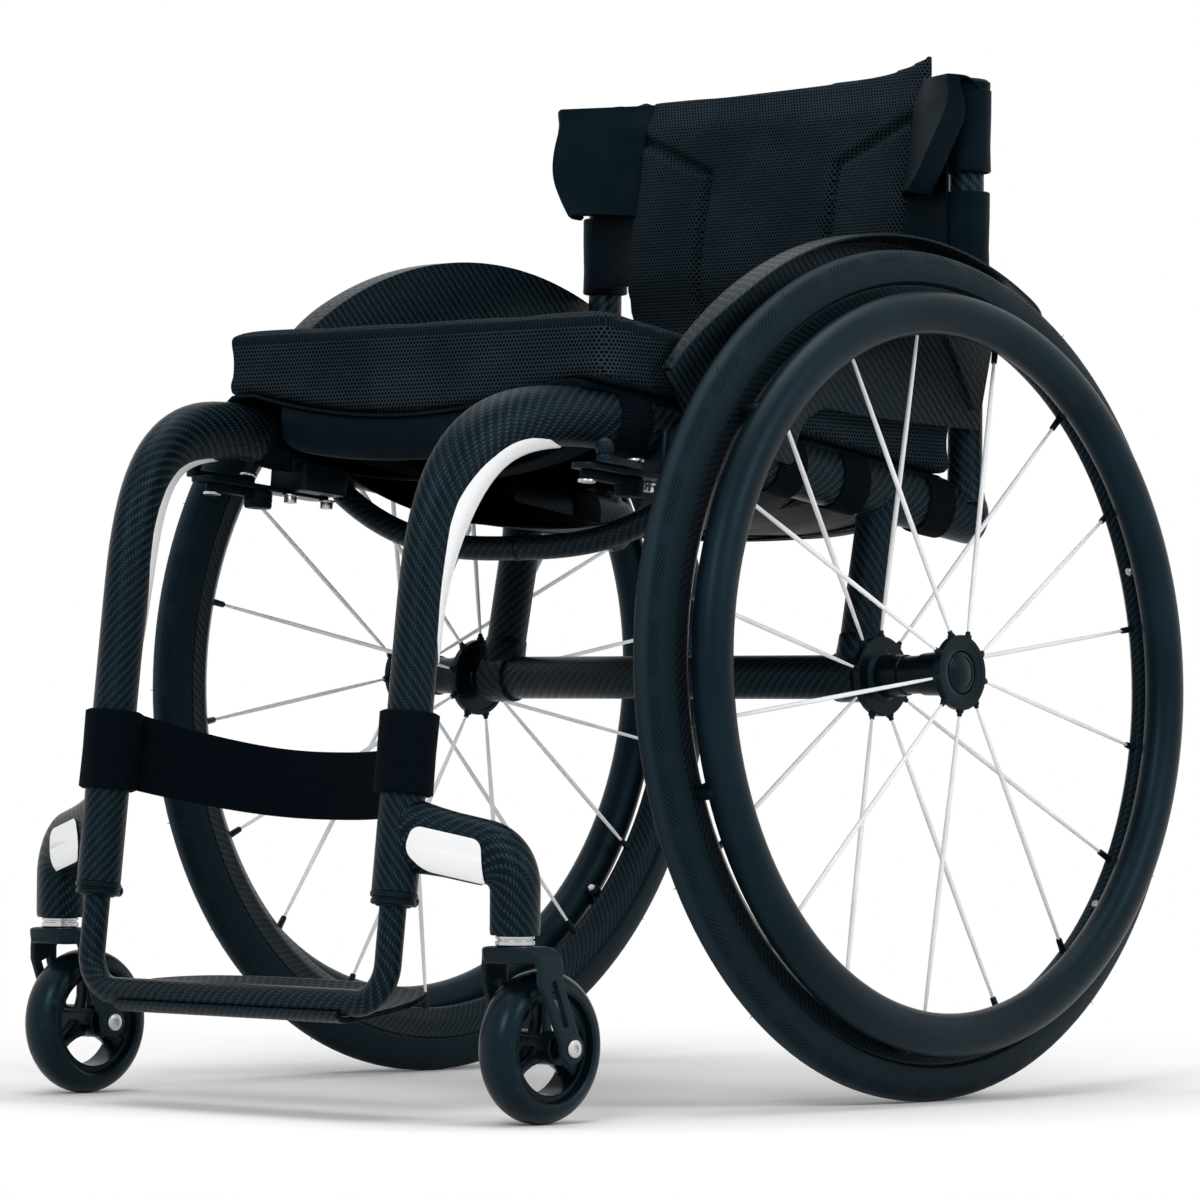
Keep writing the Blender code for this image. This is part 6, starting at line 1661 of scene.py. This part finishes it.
cushion = swollen("cushion", cube_form(36, cushion_place), 0.005, 0.0025, flat_below)
cushion_cloth = finish("cushion_knit", 0.02, knit_look(0.0031, 0.0026, (STRIP_LOW, STRIP_HIGH)))
cushion_piece = add_piece("cushion_pad", cushion, cushion_cloth, "cushion",
                          ["seat_cushion"], 60.0)
rounder = cushion_piece.modifiers.new("rounder", 'SUBSURF')
rounder.levels = 1
rounder.render_levels = 1


# Back canes
# Upright carbon tubes that stand on the rear ends of the rails and carry the back.
# Each widens a little where it meets its rail.
CANE_SPREAD = 0.174
CANE_REACH = 0.1165
CANE_RADIUS = 0.0125
BACK_TOP = 0.7275
WING_TOP = BACK_TOP - 0.004
CANE_TOP = WING_TOP - 0.0015


def cane_point(z, x=0.0, y=0.0):
    """A place told from a cane's centre line."""
    return on_axle(CANE_SPREAD + x, CANE_REACH + y, z)


cane = straight(cane_point(rail_z(CANE_REACH) + 0.008), cane_point(CANE_TOP),
                shifted(0.0, CANE_RADIUS, ((0.0, 0.0028), (0.03, 0.0012), (0.06, 0.0),
                                           (0.995, 0.0), (1.0, -0.001))), 32, Y_AXIS)
add_pair("cane_tube", cane, carbon, "frame", ["back_cane"])


# Back
# A padded panel of knitted mesh between the canes. Two sewn channels run up it and turn out
# to its pointed upper corners.
BACK_HALF = 0.133
BACK_BOW = 0.0095
BOW_BOTTOM = 0.548
BOW_EASE = 0.05
BOW_TOP_EASE = 0.026
TOP_LIFT = 0.0035
TOP_LEAN = 0.0035
BACK_BOTTOM = 0.446
BACK_THICK = 0.014
BACK_SAG = 0.005
BACK_REACH = 0.098
BACK_RECLINE = 0.022
RECLINE_DROP = 0.1475
CORNER_PEAK = 0.0060
CHANNEL_X = 0.062
CHANNEL_TOP = BACK_TOP - 0.0595
CHANNEL_CORNER = BACK_TOP - 0.0275
CHANNEL_DEPTH = 0.0062
CHANNEL_WIDTH = 0.009


def panel_reach(x, z):
    """How far back the panel's front lies, its channels left out."""
    rest = BACK_REACH + BACK_RECLINE * eased((z - BACK_TOP) / RECLINE_DROP + 1.0)
    bow = eased((z - BOW_BOTTOM) / BOW_EASE) * (1.0 - eased((z - BACK_TOP) / BOW_TOP_EASE + 1.0))
    return rest - BACK_BOW * bow + BACK_SAG * (1.0 - min((x / BACK_HALF) ** 2, 1.0))


def channel_depth(x, z):
    """1 along a sewn channel, falling away to 0 at its sides."""
    if z <= CHANNEL_TOP:
        away = abs(x - CHANNEL_X)
    else:
        run = Vector((BACK_HALF - CHANNEL_X, CHANNEL_CORNER - CHANNEL_TOP))
        offset = Vector((x - CHANNEL_X, z - CHANNEL_TOP))
        share = min(max(offset.dot(run) / run.length_squared, 0.0), 1.0)
        away = (offset - run * share).length
    return math.exp(-(away / (CHANNEL_WIDTH * 0.40)) ** 2)


def back_place(a, b, c):
    """Where a point of a cube from -1 to 1 goes on the panel: b runs through it."""
    x = a * BACK_HALF
    z = BACK_BOTTOM + (BACK_TOP - BACK_BOTTOM) * (c + 1.0) / 2.0
    peak = CORNER_PEAK * (1.0 + 0.8 * a) * abs(a) ** 5
    z += (TOP_LIFT + TOP_LEAN * a + peak) * eased(c * 2.0 - 1.0)
    thin = 0.62 * max(max(abs(a), abs(c)) - 0.90, 0.0) / 0.10
    half = BACK_THICK / 2 * (1.0 - thin ** 2)
    return on_axle(x, panel_reach(x, z) + BACK_THICK / 2 + b * (half - 0.0008), z)


def kept_edge(first, move):
    """Lets the panel swell only forwards and back."""
    return Vector((move.x * 0.1, move.y, move.z * 0.1))


def sewn(bm):
    """Draws the panel's front in along its channels."""
    for vert in bm.verts:
        x = abs(vert.co.x)
        front = vert.co.y - AXLE_Y < panel_reach(x, vert.co.z) + BACK_THICK / 2
        drawn = CHANNEL_DEPTH * channel_depth(x, vert.co.z)
        vert.co.y += drawn if front else -drawn * 0.35
    return bm


panel = swollen("panel", cube_form(40, back_place), 0.004, 0.0022, kept_edge)
bmesh.ops.subdivide_edges(panel, edges=panel.edges[:], cuts=1, use_grid_fill=True)
back_cloth = finish("back_knit", 0.02, knit_look(0.0028, 0.0024))
back_piece = add_piece("back_panel", sewn(smoothed(panel)), back_cloth, "frame",
                       ["back_upholstery"], 60.0)


# Back sleeves and wings
# Smooth nylon: a sleeve low on each cane with a web to the panel, and a wing whose pocket
# slips over the cane's top. A stitched mesh strip edges each wing.
POCKET_BOTTOM = WING_TOP - 0.0675
POCKET_TOP = WING_TOP - 0.008
POCKET_RADIUS = 0.0175
SLEEVE_TOP = WING_TOP - 0.0815
SLEEVE_BOTTOM = SLEEVE_TOP - 0.057
SLEEVE_RADIUS = 0.0168
CLOTH_LEAN = 0.0012
CLOTH_WALL = 0.0012
PANEL_EDGE = 0.129
WEB_BOTTOM = SLEEVE_BOTTOM + 0.003
WEB_TOP = WING_TOP - 0.012
WEB_START = PANEL_EDGE - 0.004
WEB_END = CANE_SPREAD - 0.003
WING_LOW = 0.6405
WING_START = PANEL_EDGE + 0.002
FOLD_SPREAD = 0.187
FOLD_REACH = 0.083
FOLD_SHARE = 0.84


def cloth_tube(low, high, radius):
    """Stations of a nylon tube round the cane, a little loose and uneven."""
    stations = []
    for share, size in shifted(0.0, radius, ((0.0, -0.0009), (0.015, 0.0), (0.3, -0.0007),
                                             (0.7, -0.0002), (0.985, 0.0), (1.0, -0.0009))):
        wide = size * 2 + CLOTH_LEAN * math.sin(share * 3.0)
        stations.append((cane_point(low + (high - low) * share), Z_AXIS, Y_AXIS, wide, size * 2))
    return stations


def web_place(x, y):
    """The web from the panel's edge to the front of the sleeve and of the pocket above it."""
    z = WEB_BOTTOM + (WEB_TOP - WEB_BOTTOM) * (y + 1.0) / 2.0
    share = (x + 1.0) / 2.0
    start_y = panel_reach(BACK_HALF, z) + BACK_THICK / 2
    end_y = CANE_REACH - SLEEVE_RADIUS * 0.97
    return on_axle(WEB_START + (WEB_END - WEB_START) * share,
                   start_y + (end_y - start_y) * share + 0.002 * math.sin(math.pi * share), z)


sleeve = swept(cloth_tube(SLEEVE_BOTTOM, SLEEVE_TOP, SLEEVE_RADIUS), 36, 1.0, 0.002, False)
web = thick(laid_grid(8, 40, web_place, (0.03, 0.12)), 0.0025)
add_pair("cane_wrap", gathered(thick(sleeve, CLOTH_WALL), web), nylon, "frame",
         ["cane_sleeve"])


def wing_place(x, y):
    """The wing: from the panel's edge out to a fold, then back along its outer side."""
    share = (x + 1.0) / 2.0 / FOLD_SHARE
    z = WING_LOW + (WING_TOP - WING_LOW) * (y + 1.0) / 2.0
    fold_x = FOLD_SPREAD - 0.0215 * max(1.0 - (z - WING_LOW - 0.0045) / 0.06, 0.0) ** 2
    fold_y = FOLD_REACH - 0.0145 * eased((WING_TOP - 0.006 - z) / 0.055)
    start_y = panel_reach(BACK_HALF, z) + 0.0045
    top = eased((z - WING_TOP + 0.030) / 0.030)
    if share > 1.0:
        past = (share - 1.0) / (1.0 / FOLD_SHARE - 1.0)
        back = 0.012 * eased((WING_TOP - z) / 0.035) + 0.002
        return on_axle(fold_x + 0.003 * math.sin(math.pi / 2 * past), fold_y + back * past,
                       z - 0.003 * top * past)
    bow = -0.003 * math.sin(math.pi * share) * eased((z - WING_LOW) / 0.06)
    return on_axle(WING_START + (fold_x - WING_START) * share,
                   start_y + (fold_y - start_y) * share ** 0.9 + bow,
                   z + 0.002 * (1.0 - share) ** 3 * top)


def hood_place(x, y):
    """Cloth from the wing's top edge over the cane's head and down behind it, in small folds."""
    share = (x + 1.0) / 2.0
    back = (y + 1.0) / 2.0
    front = wing_place(share * FOLD_SHARE * 2.0 - 1.0, 1.0)
    turn = math.pi * share
    behind = cane_point(WING_TOP - 0.012, -POCKET_RADIUS * math.cos(turn),
                        POCKET_RADIUS * math.sin(turn))
    crest = 0.007 * math.sin(math.pi * min(back * 1.15, 1.0)) * (1.0 - 0.35 * share)
    fold = 0.0011 * math.sin(share * 17.0 + back * 5.0) * math.sin(math.pi * back)
    return front.lerp(behind, back) + Z_AXIS * (crest + fold)


wing = thick(laid_grid(36, 30, wing_place, (0.075, 0.083)), 0.0036)
hood = thick(laid_grid(30, 20, hood_place, (0.06, 0.05)), CLOTH_WALL)
pocket_stations = cloth_tube(POCKET_BOTTOM, POCKET_TOP, POCKET_RADIUS)
for rise, size in ((0.0050, 0.0168), (0.0072, 0.0140), (0.0080, 0.0100)):
    pocket_stations.append((cane_point(POCKET_TOP + rise), Z_AXIS, Y_AXIS, size * 2, size * 2))
pocket = swept(pocket_stations, 36, 1.0, 0.002, False)
rim_edges = [edge for edge in pocket.edges
             if edge.is_boundary and edge.verts[0].co.z > WING_TOP - 0.004]
bmesh.ops.contextual_create(pocket, geom=rim_edges)
pocket = thick(outward(pocket), CLOTH_WALL)
add_pair("wing_cover", gathered(wing, hood, pocket), nylon, "frame", ["back_wing"])


def strip_place(x, y):
    """The stitched strip beside the wing's outer edge."""
    place = wing_place(2.0 * FOLD_SHARE * (0.85 + 0.11 * x) - 1.0, y * 0.94)
    return place + Vector((0.0004, -0.0009, 0.0))


strip_cloth = finish("strip_knit", 0.02, knit_look(0.0018, 0.0016))
wing_strip = thick(laid_grid(8, 30, strip_place, (0.016, 0.072)), 0.0012)
add_pair("wing_strip", wing_strip, strip_cloth, "frame")


# Side guards
# Carbon plates beside the cushion, rolled over the tyre at the top and stiffened by a bead.
# Each is screwed to the rail and clipped to the cane.
GUARD_THICK = 0.0025
GUARD_FACE = 0.1903
GUARD_RADIUS = 0.3045
GUARD_LIP_FACE = 0.212
GUARD_FRONT = math.radians(139.0)
GUARD_REAR = math.radians(64.0)
GUARD_STEPS = 60
GUARD_LIP_STEPS = 66
GUARD_TIP_STEPS = 4
GUARD_FEET = ((-0.195, 0.452), (-0.096, 0.437), (-0.092, 0.455), (-0.083, 0.469),
              (-0.064, 0.4785), (-0.023, 0.4745), (0.108, 0.4704))
GUARD_CORNER = 0.005
GUARD_EDGE = 0.0006
CLIP_Z = 0.535
CLIP_HALF = 0.011
outer_face = GUARD_FACE + GUARD_THICK


def guard_arc(step, grow=0.0):
    """A point of the guard's round top, and its turn about the axle."""
    turn = GUARD_FRONT + (GUARD_REAR - GUARD_FRONT) * step / GUARD_STEPS
    radius = GUARD_RADIUS + grow
    return on_axle(0.0, radius * math.cos(turn), AXLE_HEIGHT + radius * math.sin(turn)), turn


def guard_plate():
    bm = bmesh.new()
    outline = [guard_arc(step, GUARD_THICK)[0] for step in range(GUARD_STEPS + 1)]
    outline += [on_axle(0.0, *foot) for foot in reversed(GUARD_FEET)]
    verts = [bm.verts.new((GUARD_FACE, point.y, point.z)) for point in outline]
    bm.faces.new(verts)
    bevelled(bm, verts[GUARD_STEPS + 2:], GUARD_CORNER, 5, 'VERTICES')
    side = bmesh.ops.extrude_face_region(bm, geom=bm.faces[:])["geom"]
    bmesh.ops.translate(bm, verts=[item for item in side if isinstance(item, bmesh.types.BMVert)],
                        vec=X_AXIS * GUARD_THICK)
    bevelled(bm, sharp_edges(outward(bm)), GUARD_EDGE, 2)
    lay_map(bm, lambda co: (co.y, co.z))
    return bm


def guard_lip():
    """The rolled edge: it widens from its front and ends in a rounded tip."""
    stations = []
    for step in range(GUARD_LIP_STEPS + 1):
        place, turn = guard_arc(step, GUARD_THICK / 2)
        left = min(1.0, (GUARD_LIP_STEPS - step) / GUARD_TIP_STEPS)
        tip = 0.35 + 0.65 * math.sqrt(1.0 - (1.0 - left) ** 2)
        narrow = min(tip, 0.45 + 0.55 * eased(step / (GUARD_STEPS * 0.25)))
        width = (GUARD_LIP_FACE - GUARD_FACE) * narrow
        place.x = GUARD_FACE + width / 2
        along = Vector((0.0, math.sin(turn), -math.cos(turn)))
        stations.append((place, along, X_AXIS, width, GUARD_THICK))
    return swept(stations, 20, 0.45)


def bead(points, radius):
    """A thin raised rib along a line."""
    return swept(stations_along(points, X_AXIS, radius * 2, radius * 2), 10, 1.0, 0.002)


arc_points = [guard_arc(step, -0.0035)[0] + X_AXIS * outer_face
              for step in range(2, GUARD_STEPS - 1)]
rib_points = [on_axle(outer_face, 0.040 + 0.062 * share, 0.560 - 0.075 * share ** 1.6)
              for share in [step / 16 for step in range(17)]]
guard = gathered(guard_plate(), guard_lip(), bead(arc_points, 0.0010), bead(rib_points, 0.0009))
add_pair("guard_shell", guard, carbon, "frame", ["side_guard"])

boss = on_axle(RAIL_SPREAD + TUBE_WIDTH / 2 - 0.001, -0.125, rail_z(-0.125))
boss_face, boss_outer, boss_head = [boss + X_AXIS * (x - boss.x) for x in
                                    (GUARD_FACE, outer_face, outer_face + 0.0022)]
clamp = straight(cane_point(CLIP_Z - CLIP_HALF), cane_point(CLIP_Z + CLIP_HALF),
                 shifted(0.0, CANE_RADIUS, ((0.0, 0.0004), (0.06, 0.0018), (0.94, 0.0018),
                                            (1.0, 0.0004))))
fixings = [softly_ended(boss, boss_face, 0.006, 0.0005, 20),
           softly_ended(boss_outer, boss_head, 0.0046, 0.0007, 20), clamp,
           softly_ended(cane_point(CLIP_Z, CANE_RADIUS, -0.004),
                        on_axle(GUARD_FACE + 0.0002, CANE_REACH - 0.006, CLIP_Z),
                        0.0058, 0.0005, 20)]
add_pair("guard_fixings", gathered(*fixings), black_plastic, "frame", (), 30.0)


# Brakes
# Scissor brakes of black anodised aluminium under each rail: a bar in a two-screw cradle, a
# ball-ended lever above it and a shoe arm with a knurled pad below.
BAR_TOP = 0.4236
BAR_THICK = 0.004
BAR_SPREAD = 0.181
BAR_WIDTH = 0.020
RUN_GAP = 0.0004
BRAKE_TILT = math.radians(-4.6)
LEVER_PIVOT = (0.184, -0.250)
LEVER_LENGTH = 0.0445
LEVER_DEGREES = -75.7
LEVER_THICK = 0.005
SHOE_PIVOT = (0.178, -0.290)
SHOE_LENGTH = 0.044
SHOE_DEGREES = 92.0
SHOE_THICK = 0.0055
BRAKE_ARM_WIDTH = 0.010
PIVOT_RADIUS = 0.003
PIVOT_HEAD = 0.0062
HEAD_RISE = 0.0022
BALL_RADIUS = 0.0064
CRADLE_SCREWS = (-0.2205, -0.1840)
tilt_at = Matrix.Translation(on_axle(0.0, -0.2016, BAR_TOP))
brake_tilt = tilt_at @ Matrix.Rotation(BRAKE_TILT, 4, 'X') @ tilt_at.inverted()


def milled_block(low, high, corner, edge):
    """A block whose upright corners and then all its edges are rounded."""
    bm = bmesh.new()
    bmesh.ops.create_cube(bm, size=1.0)
    size = Vector(high) - Vector(low)
    bmesh.ops.scale(bm, vec=size, verts=bm.verts)
    upright = [e for e in bm.edges if abs((e.verts[0].co - e.verts[1].co).z) > size.z * 0.9]
    bevelled(bm, upright, corner, 8)
    bevelled(bm, sharp_edges(bm), edge, 2)
    bmesh.ops.translate(bm, vec=(Vector(high) + Vector(low)) / 2, verts=bm.verts)
    return bm


def flat_arm(pivot, length, degrees, low, thickness):
    """A flat arm with round ends that starts at its pivot, and the place of its other end."""
    half = BRAKE_ARM_WIDTH / 2
    bm = milled_block((-half, -half, low), (length + half, half, low + thickness),
                      BRAKE_ARM_WIDTH * 0.499, 0.0005)
    turn = math.radians(degrees)
    moved(bm, Matrix.Translation(on_axle(*pivot, 0.0)) @ Matrix.Rotation(turn, 4, 'Z'))
    return bm, (pivot[0] + length * math.cos(turn), pivot[1] + length * math.sin(turn))


def upright_pin(pivot, low, high, radius, ease=0.0005, sides=24):
    return softly_ended(on_axle(*pivot, low), on_axle(*pivot, high), radius, ease, sides)


def add_brake(name, parts, material, body, nodes=()):
    """One of the brake's pieces, tilted with the rail."""
    add_pair(name, moved(gathered(*parts), brake_tilt), material, body, nodes, 30.0)


bar_low = BAR_TOP - BAR_THICK
lever_low = BAR_TOP + RUN_GAP
lever_high = lever_low + LEVER_THICK + RUN_GAP
shoe_top = bar_low - RUN_GAP
arm_low = shoe_top - SHOE_THICK - RUN_GAP
bar = milled_block(on_axle(BAR_SPREAD - BAR_WIDTH / 2, -0.302, bar_low),
                   on_axle(BAR_SPREAD + BAR_WIDTH / 2, -0.1777, BAR_TOP), 0.006, 0.0006)
cradle_half = TUBE_WIDTH / 2 + 0.0035
cradle = milled_block(on_axle(RAIL_SPREAD - cradle_half, -0.2255, BAR_TOP - BAR_THICK / 2),
                      on_axle(RAIL_SPREAD + cradle_half, -0.1805, rail_z(-0.203)), 0.004, 0.0012)
rail_bore = swept([(on_axle(RAIL_SPREAD, y, rail_z(y)), Vector((0.0, 1.0, -RAIL_SLOPE)), X_AXIS,
                    TUBE_WIDTH + 0.001, RAIL_DEPTH + 0.001) for y in (-0.25, -0.20, -0.15)], 40)
held = [moved(part, brake_tilt) for part in
        (bar, cradle, upright_pin(LEVER_PIVOT, BAR_TOP - 0.003, lever_high + 0.001, PIVOT_RADIUS),
         upright_pin(SHOE_PIVOT, arm_low - 0.001, BAR_TOP - 0.002, PIVOT_RADIUS))]
held[1] = cut_away(held[1], rail_bore)
add_pair("brake_body", gathered(*held), black_metal, "frame", ["brake_clamp"], 30.0)

heads = [upright_pin(LEVER_PIVOT, lever_high, lever_high + HEAD_RISE, PIVOT_HEAD, 0.0007),
         upright_pin(SHOE_PIVOT, arm_low - HEAD_RISE, arm_low, PIVOT_HEAD, 0.0007)]
for reach in CRADLE_SCREWS:
    for low, high, radius, ease in ((0.0016, 0.0002, 0.0058, 0.0003),
                                    (0.0065, 0.0012, 0.0046, 0.0006)):
        heads.append(upright_pin((RAIL_SPREAD, reach), bar_low - low, bar_low - high, radius, ease))
add_brake("brake_screws", heads, bright_steel, "frame")

lever, lever_end = flat_arm(LEVER_PIVOT, LEVER_LENGTH, LEVER_DEGREES, lever_low, LEVER_THICK)
ball = bmesh.new()
bmesh.ops.create_uvsphere(ball, u_segments=32, v_segments=20, radius=BALL_RADIUS,
                          matrix=Matrix.Translation(on_axle(*lever_end, lever_low + 0.0100)))
neck = upright_pin(lever_end, lever_low + 0.003, lever_low + 0.0075, 0.0036, 0.0004, 20)
add_brake("lever_arm", (lever, neck, ball), black_metal, "lever", ["brake_lever"])

shoe, shoe_end = flat_arm(SHOE_PIVOT, SHOE_LENGTH, SHOE_DEGREES, shoe_top - SHOE_THICK, SHOE_THICK)
pad = turned(shifted(shoe_top, 0.0, ((-0.0125, 0.0), (-0.0125, 0.0088), (-0.0119, 0.0096),
                                     (-0.0100, 0.0100), (-0.0080, 0.0097), (-0.0074, 0.0100),
                                     (-0.0056, 0.0100), (-0.0050, 0.0097), (-0.0044, 0.0100),
                                     (-0.0010, 0.0098), (0.0, 0.0090), (0.0, 0.0))), 40, False)
pad_rubber = finish("pad_rubber", 0.06, black_look((0.0016, 0.0036, 0.0054), 0.5, 300.0))
add_brake("shoe_arm", (shoe, stood_up(pad, *shoe_end)), pad_rubber, "shoe",
          ["brake_shoe"])


# Floor, light and camera
# A white floor that turns to the background's own white further out, soft lamps and the
# camera low in front of the sitter's left.
FLOOR_HALF = 30.0
FLOOR_WHITE = 0.92
WORLD_FILL = 0.55
floor_mesh = bmesh.new()
bmesh.ops.create_grid(floor_mesh, x_segments=2, y_segments=2, size=FLOOR_HALF)
floor = put("floor", mesh_of("floor", floor_mesh))
floor_paint = bpy.data.materials.new("floor_paint")
floor_paint.use_nodes = True
wire = Wire(floor_paint.node_tree)
shader = floor_paint.node_tree.nodes["Principled BSDF"]
for socket, value in {"Base Color": colour(FLOOR_WHITE, FLOOR_WHITE, FLOOR_WHITE),
                      "Roughness": 0.9, "Specular IOR Level": 0.0}.items():
    shader.inputs[socket].default_value = value
ground = place_in_space(wire).parts()
distance = (ground[0] * ground[0] + ground[1] * ground[1]) ** 0.5
from_camera, from_mirror = [wire.node("ShaderNodeLightPath", None, None, output)
                            for output in (0, 3)]
glow = wire.node("ShaderNodeEmission", None, {"Color": WHITE, "Strength": 1.0})
mixed = wire.node("ShaderNodeMixShader", None,
                  {0: distance.between(0.45, 0.95) * from_camera.maths('MAXIMUM', from_mirror),
                   1: Wire(wire.tree, shader.outputs[0]), 2: glow})
wire.tree.links.new(mixed.socket, wire.tree.nodes["Material Output"].inputs["Surface"])
floor.data.materials.append(floor_paint)

world = bpy.data.worlds.new("studio")
bpy.context.scene.world = world
world.use_nodes = True
air = Wire(world.node_tree)
rays = [air.node("ShaderNodeLightPath", None, None, output) for output in (0, 3, 6)]
direct = rays[0].maths('MAXIMUM', rays[1]).maths('MAXIMUM', rays[2])
backdrop = world.node_tree.nodes["Background"]
backdrop.inputs["Color"].default_value = WHITE
air.tree.links.new((direct * (1.0 - WORLD_FILL) + WORLD_FILL).socket, backdrop.inputs["Strength"])


def lamp(name, place, aim, size, power):
    data = bpy.data.lights.new(name, 'AREA')
    data.shape = 'RECTANGLE'
    data.size, data.size_y = size
    data.energy = power
    light = put(name, data)
    light.location = place
    light.rotation_euler = (Vector(aim) - Vector(place)).to_track_quat('-Z', 'Y').to_euler()


lamp("key", (1.6, -3.2, 2.3), (0.0, 0.0, 0.35), (1.1, 1.1), 45.0)
lamp("side", (3.2, 0.4, 1.9), (0.0, 0.0, 0.35), (1.4, 1.0), 30.0)
lamp("top", (0.0, 0.0, 3.0), (0.0, 0.0, 0.3), (2.0, 2.0), 40.0)

EYE = Vector((2.6728, -2.9622, 0.2515))
YAW = 0.7344
PITCH = math.radians(1.375)
ROLL = math.radians(0.43)
SENSOR_WIDTH = 36.0
FOCAL_PIXELS = 5616.1
PHOTO_PIXELS = 1200
ahead = Vector((-math.sin(YAW) * math.cos(PITCH), math.cos(YAW) * math.cos(PITCH),
                math.sin(PITCH)))
sideways = Vector((math.cos(YAW), math.sin(YAW), 0.0))
upwards = sideways.cross(ahead)
right = sideways * math.cos(ROLL) + upwards * math.sin(ROLL)
top = upwards * math.cos(ROLL) - sideways * math.sin(ROLL)
camera_data = bpy.data.cameras.new("camera")
camera_data.sensor_width = SENSOR_WIDTH
camera_data.lens = FOCAL_PIXELS / PHOTO_PIXELS * SENSOR_WIDTH
camera_data.clip_end = 200.0
camera = put("camera", camera_data)
camera.matrix_world = Matrix.Translation(EYE) @ Matrix((right, top, -ahead)).transposed().to_4x4()
bpy.context.scene.camera = camera
bpy.context.scene.view_settings.view_transform = 'Standard'
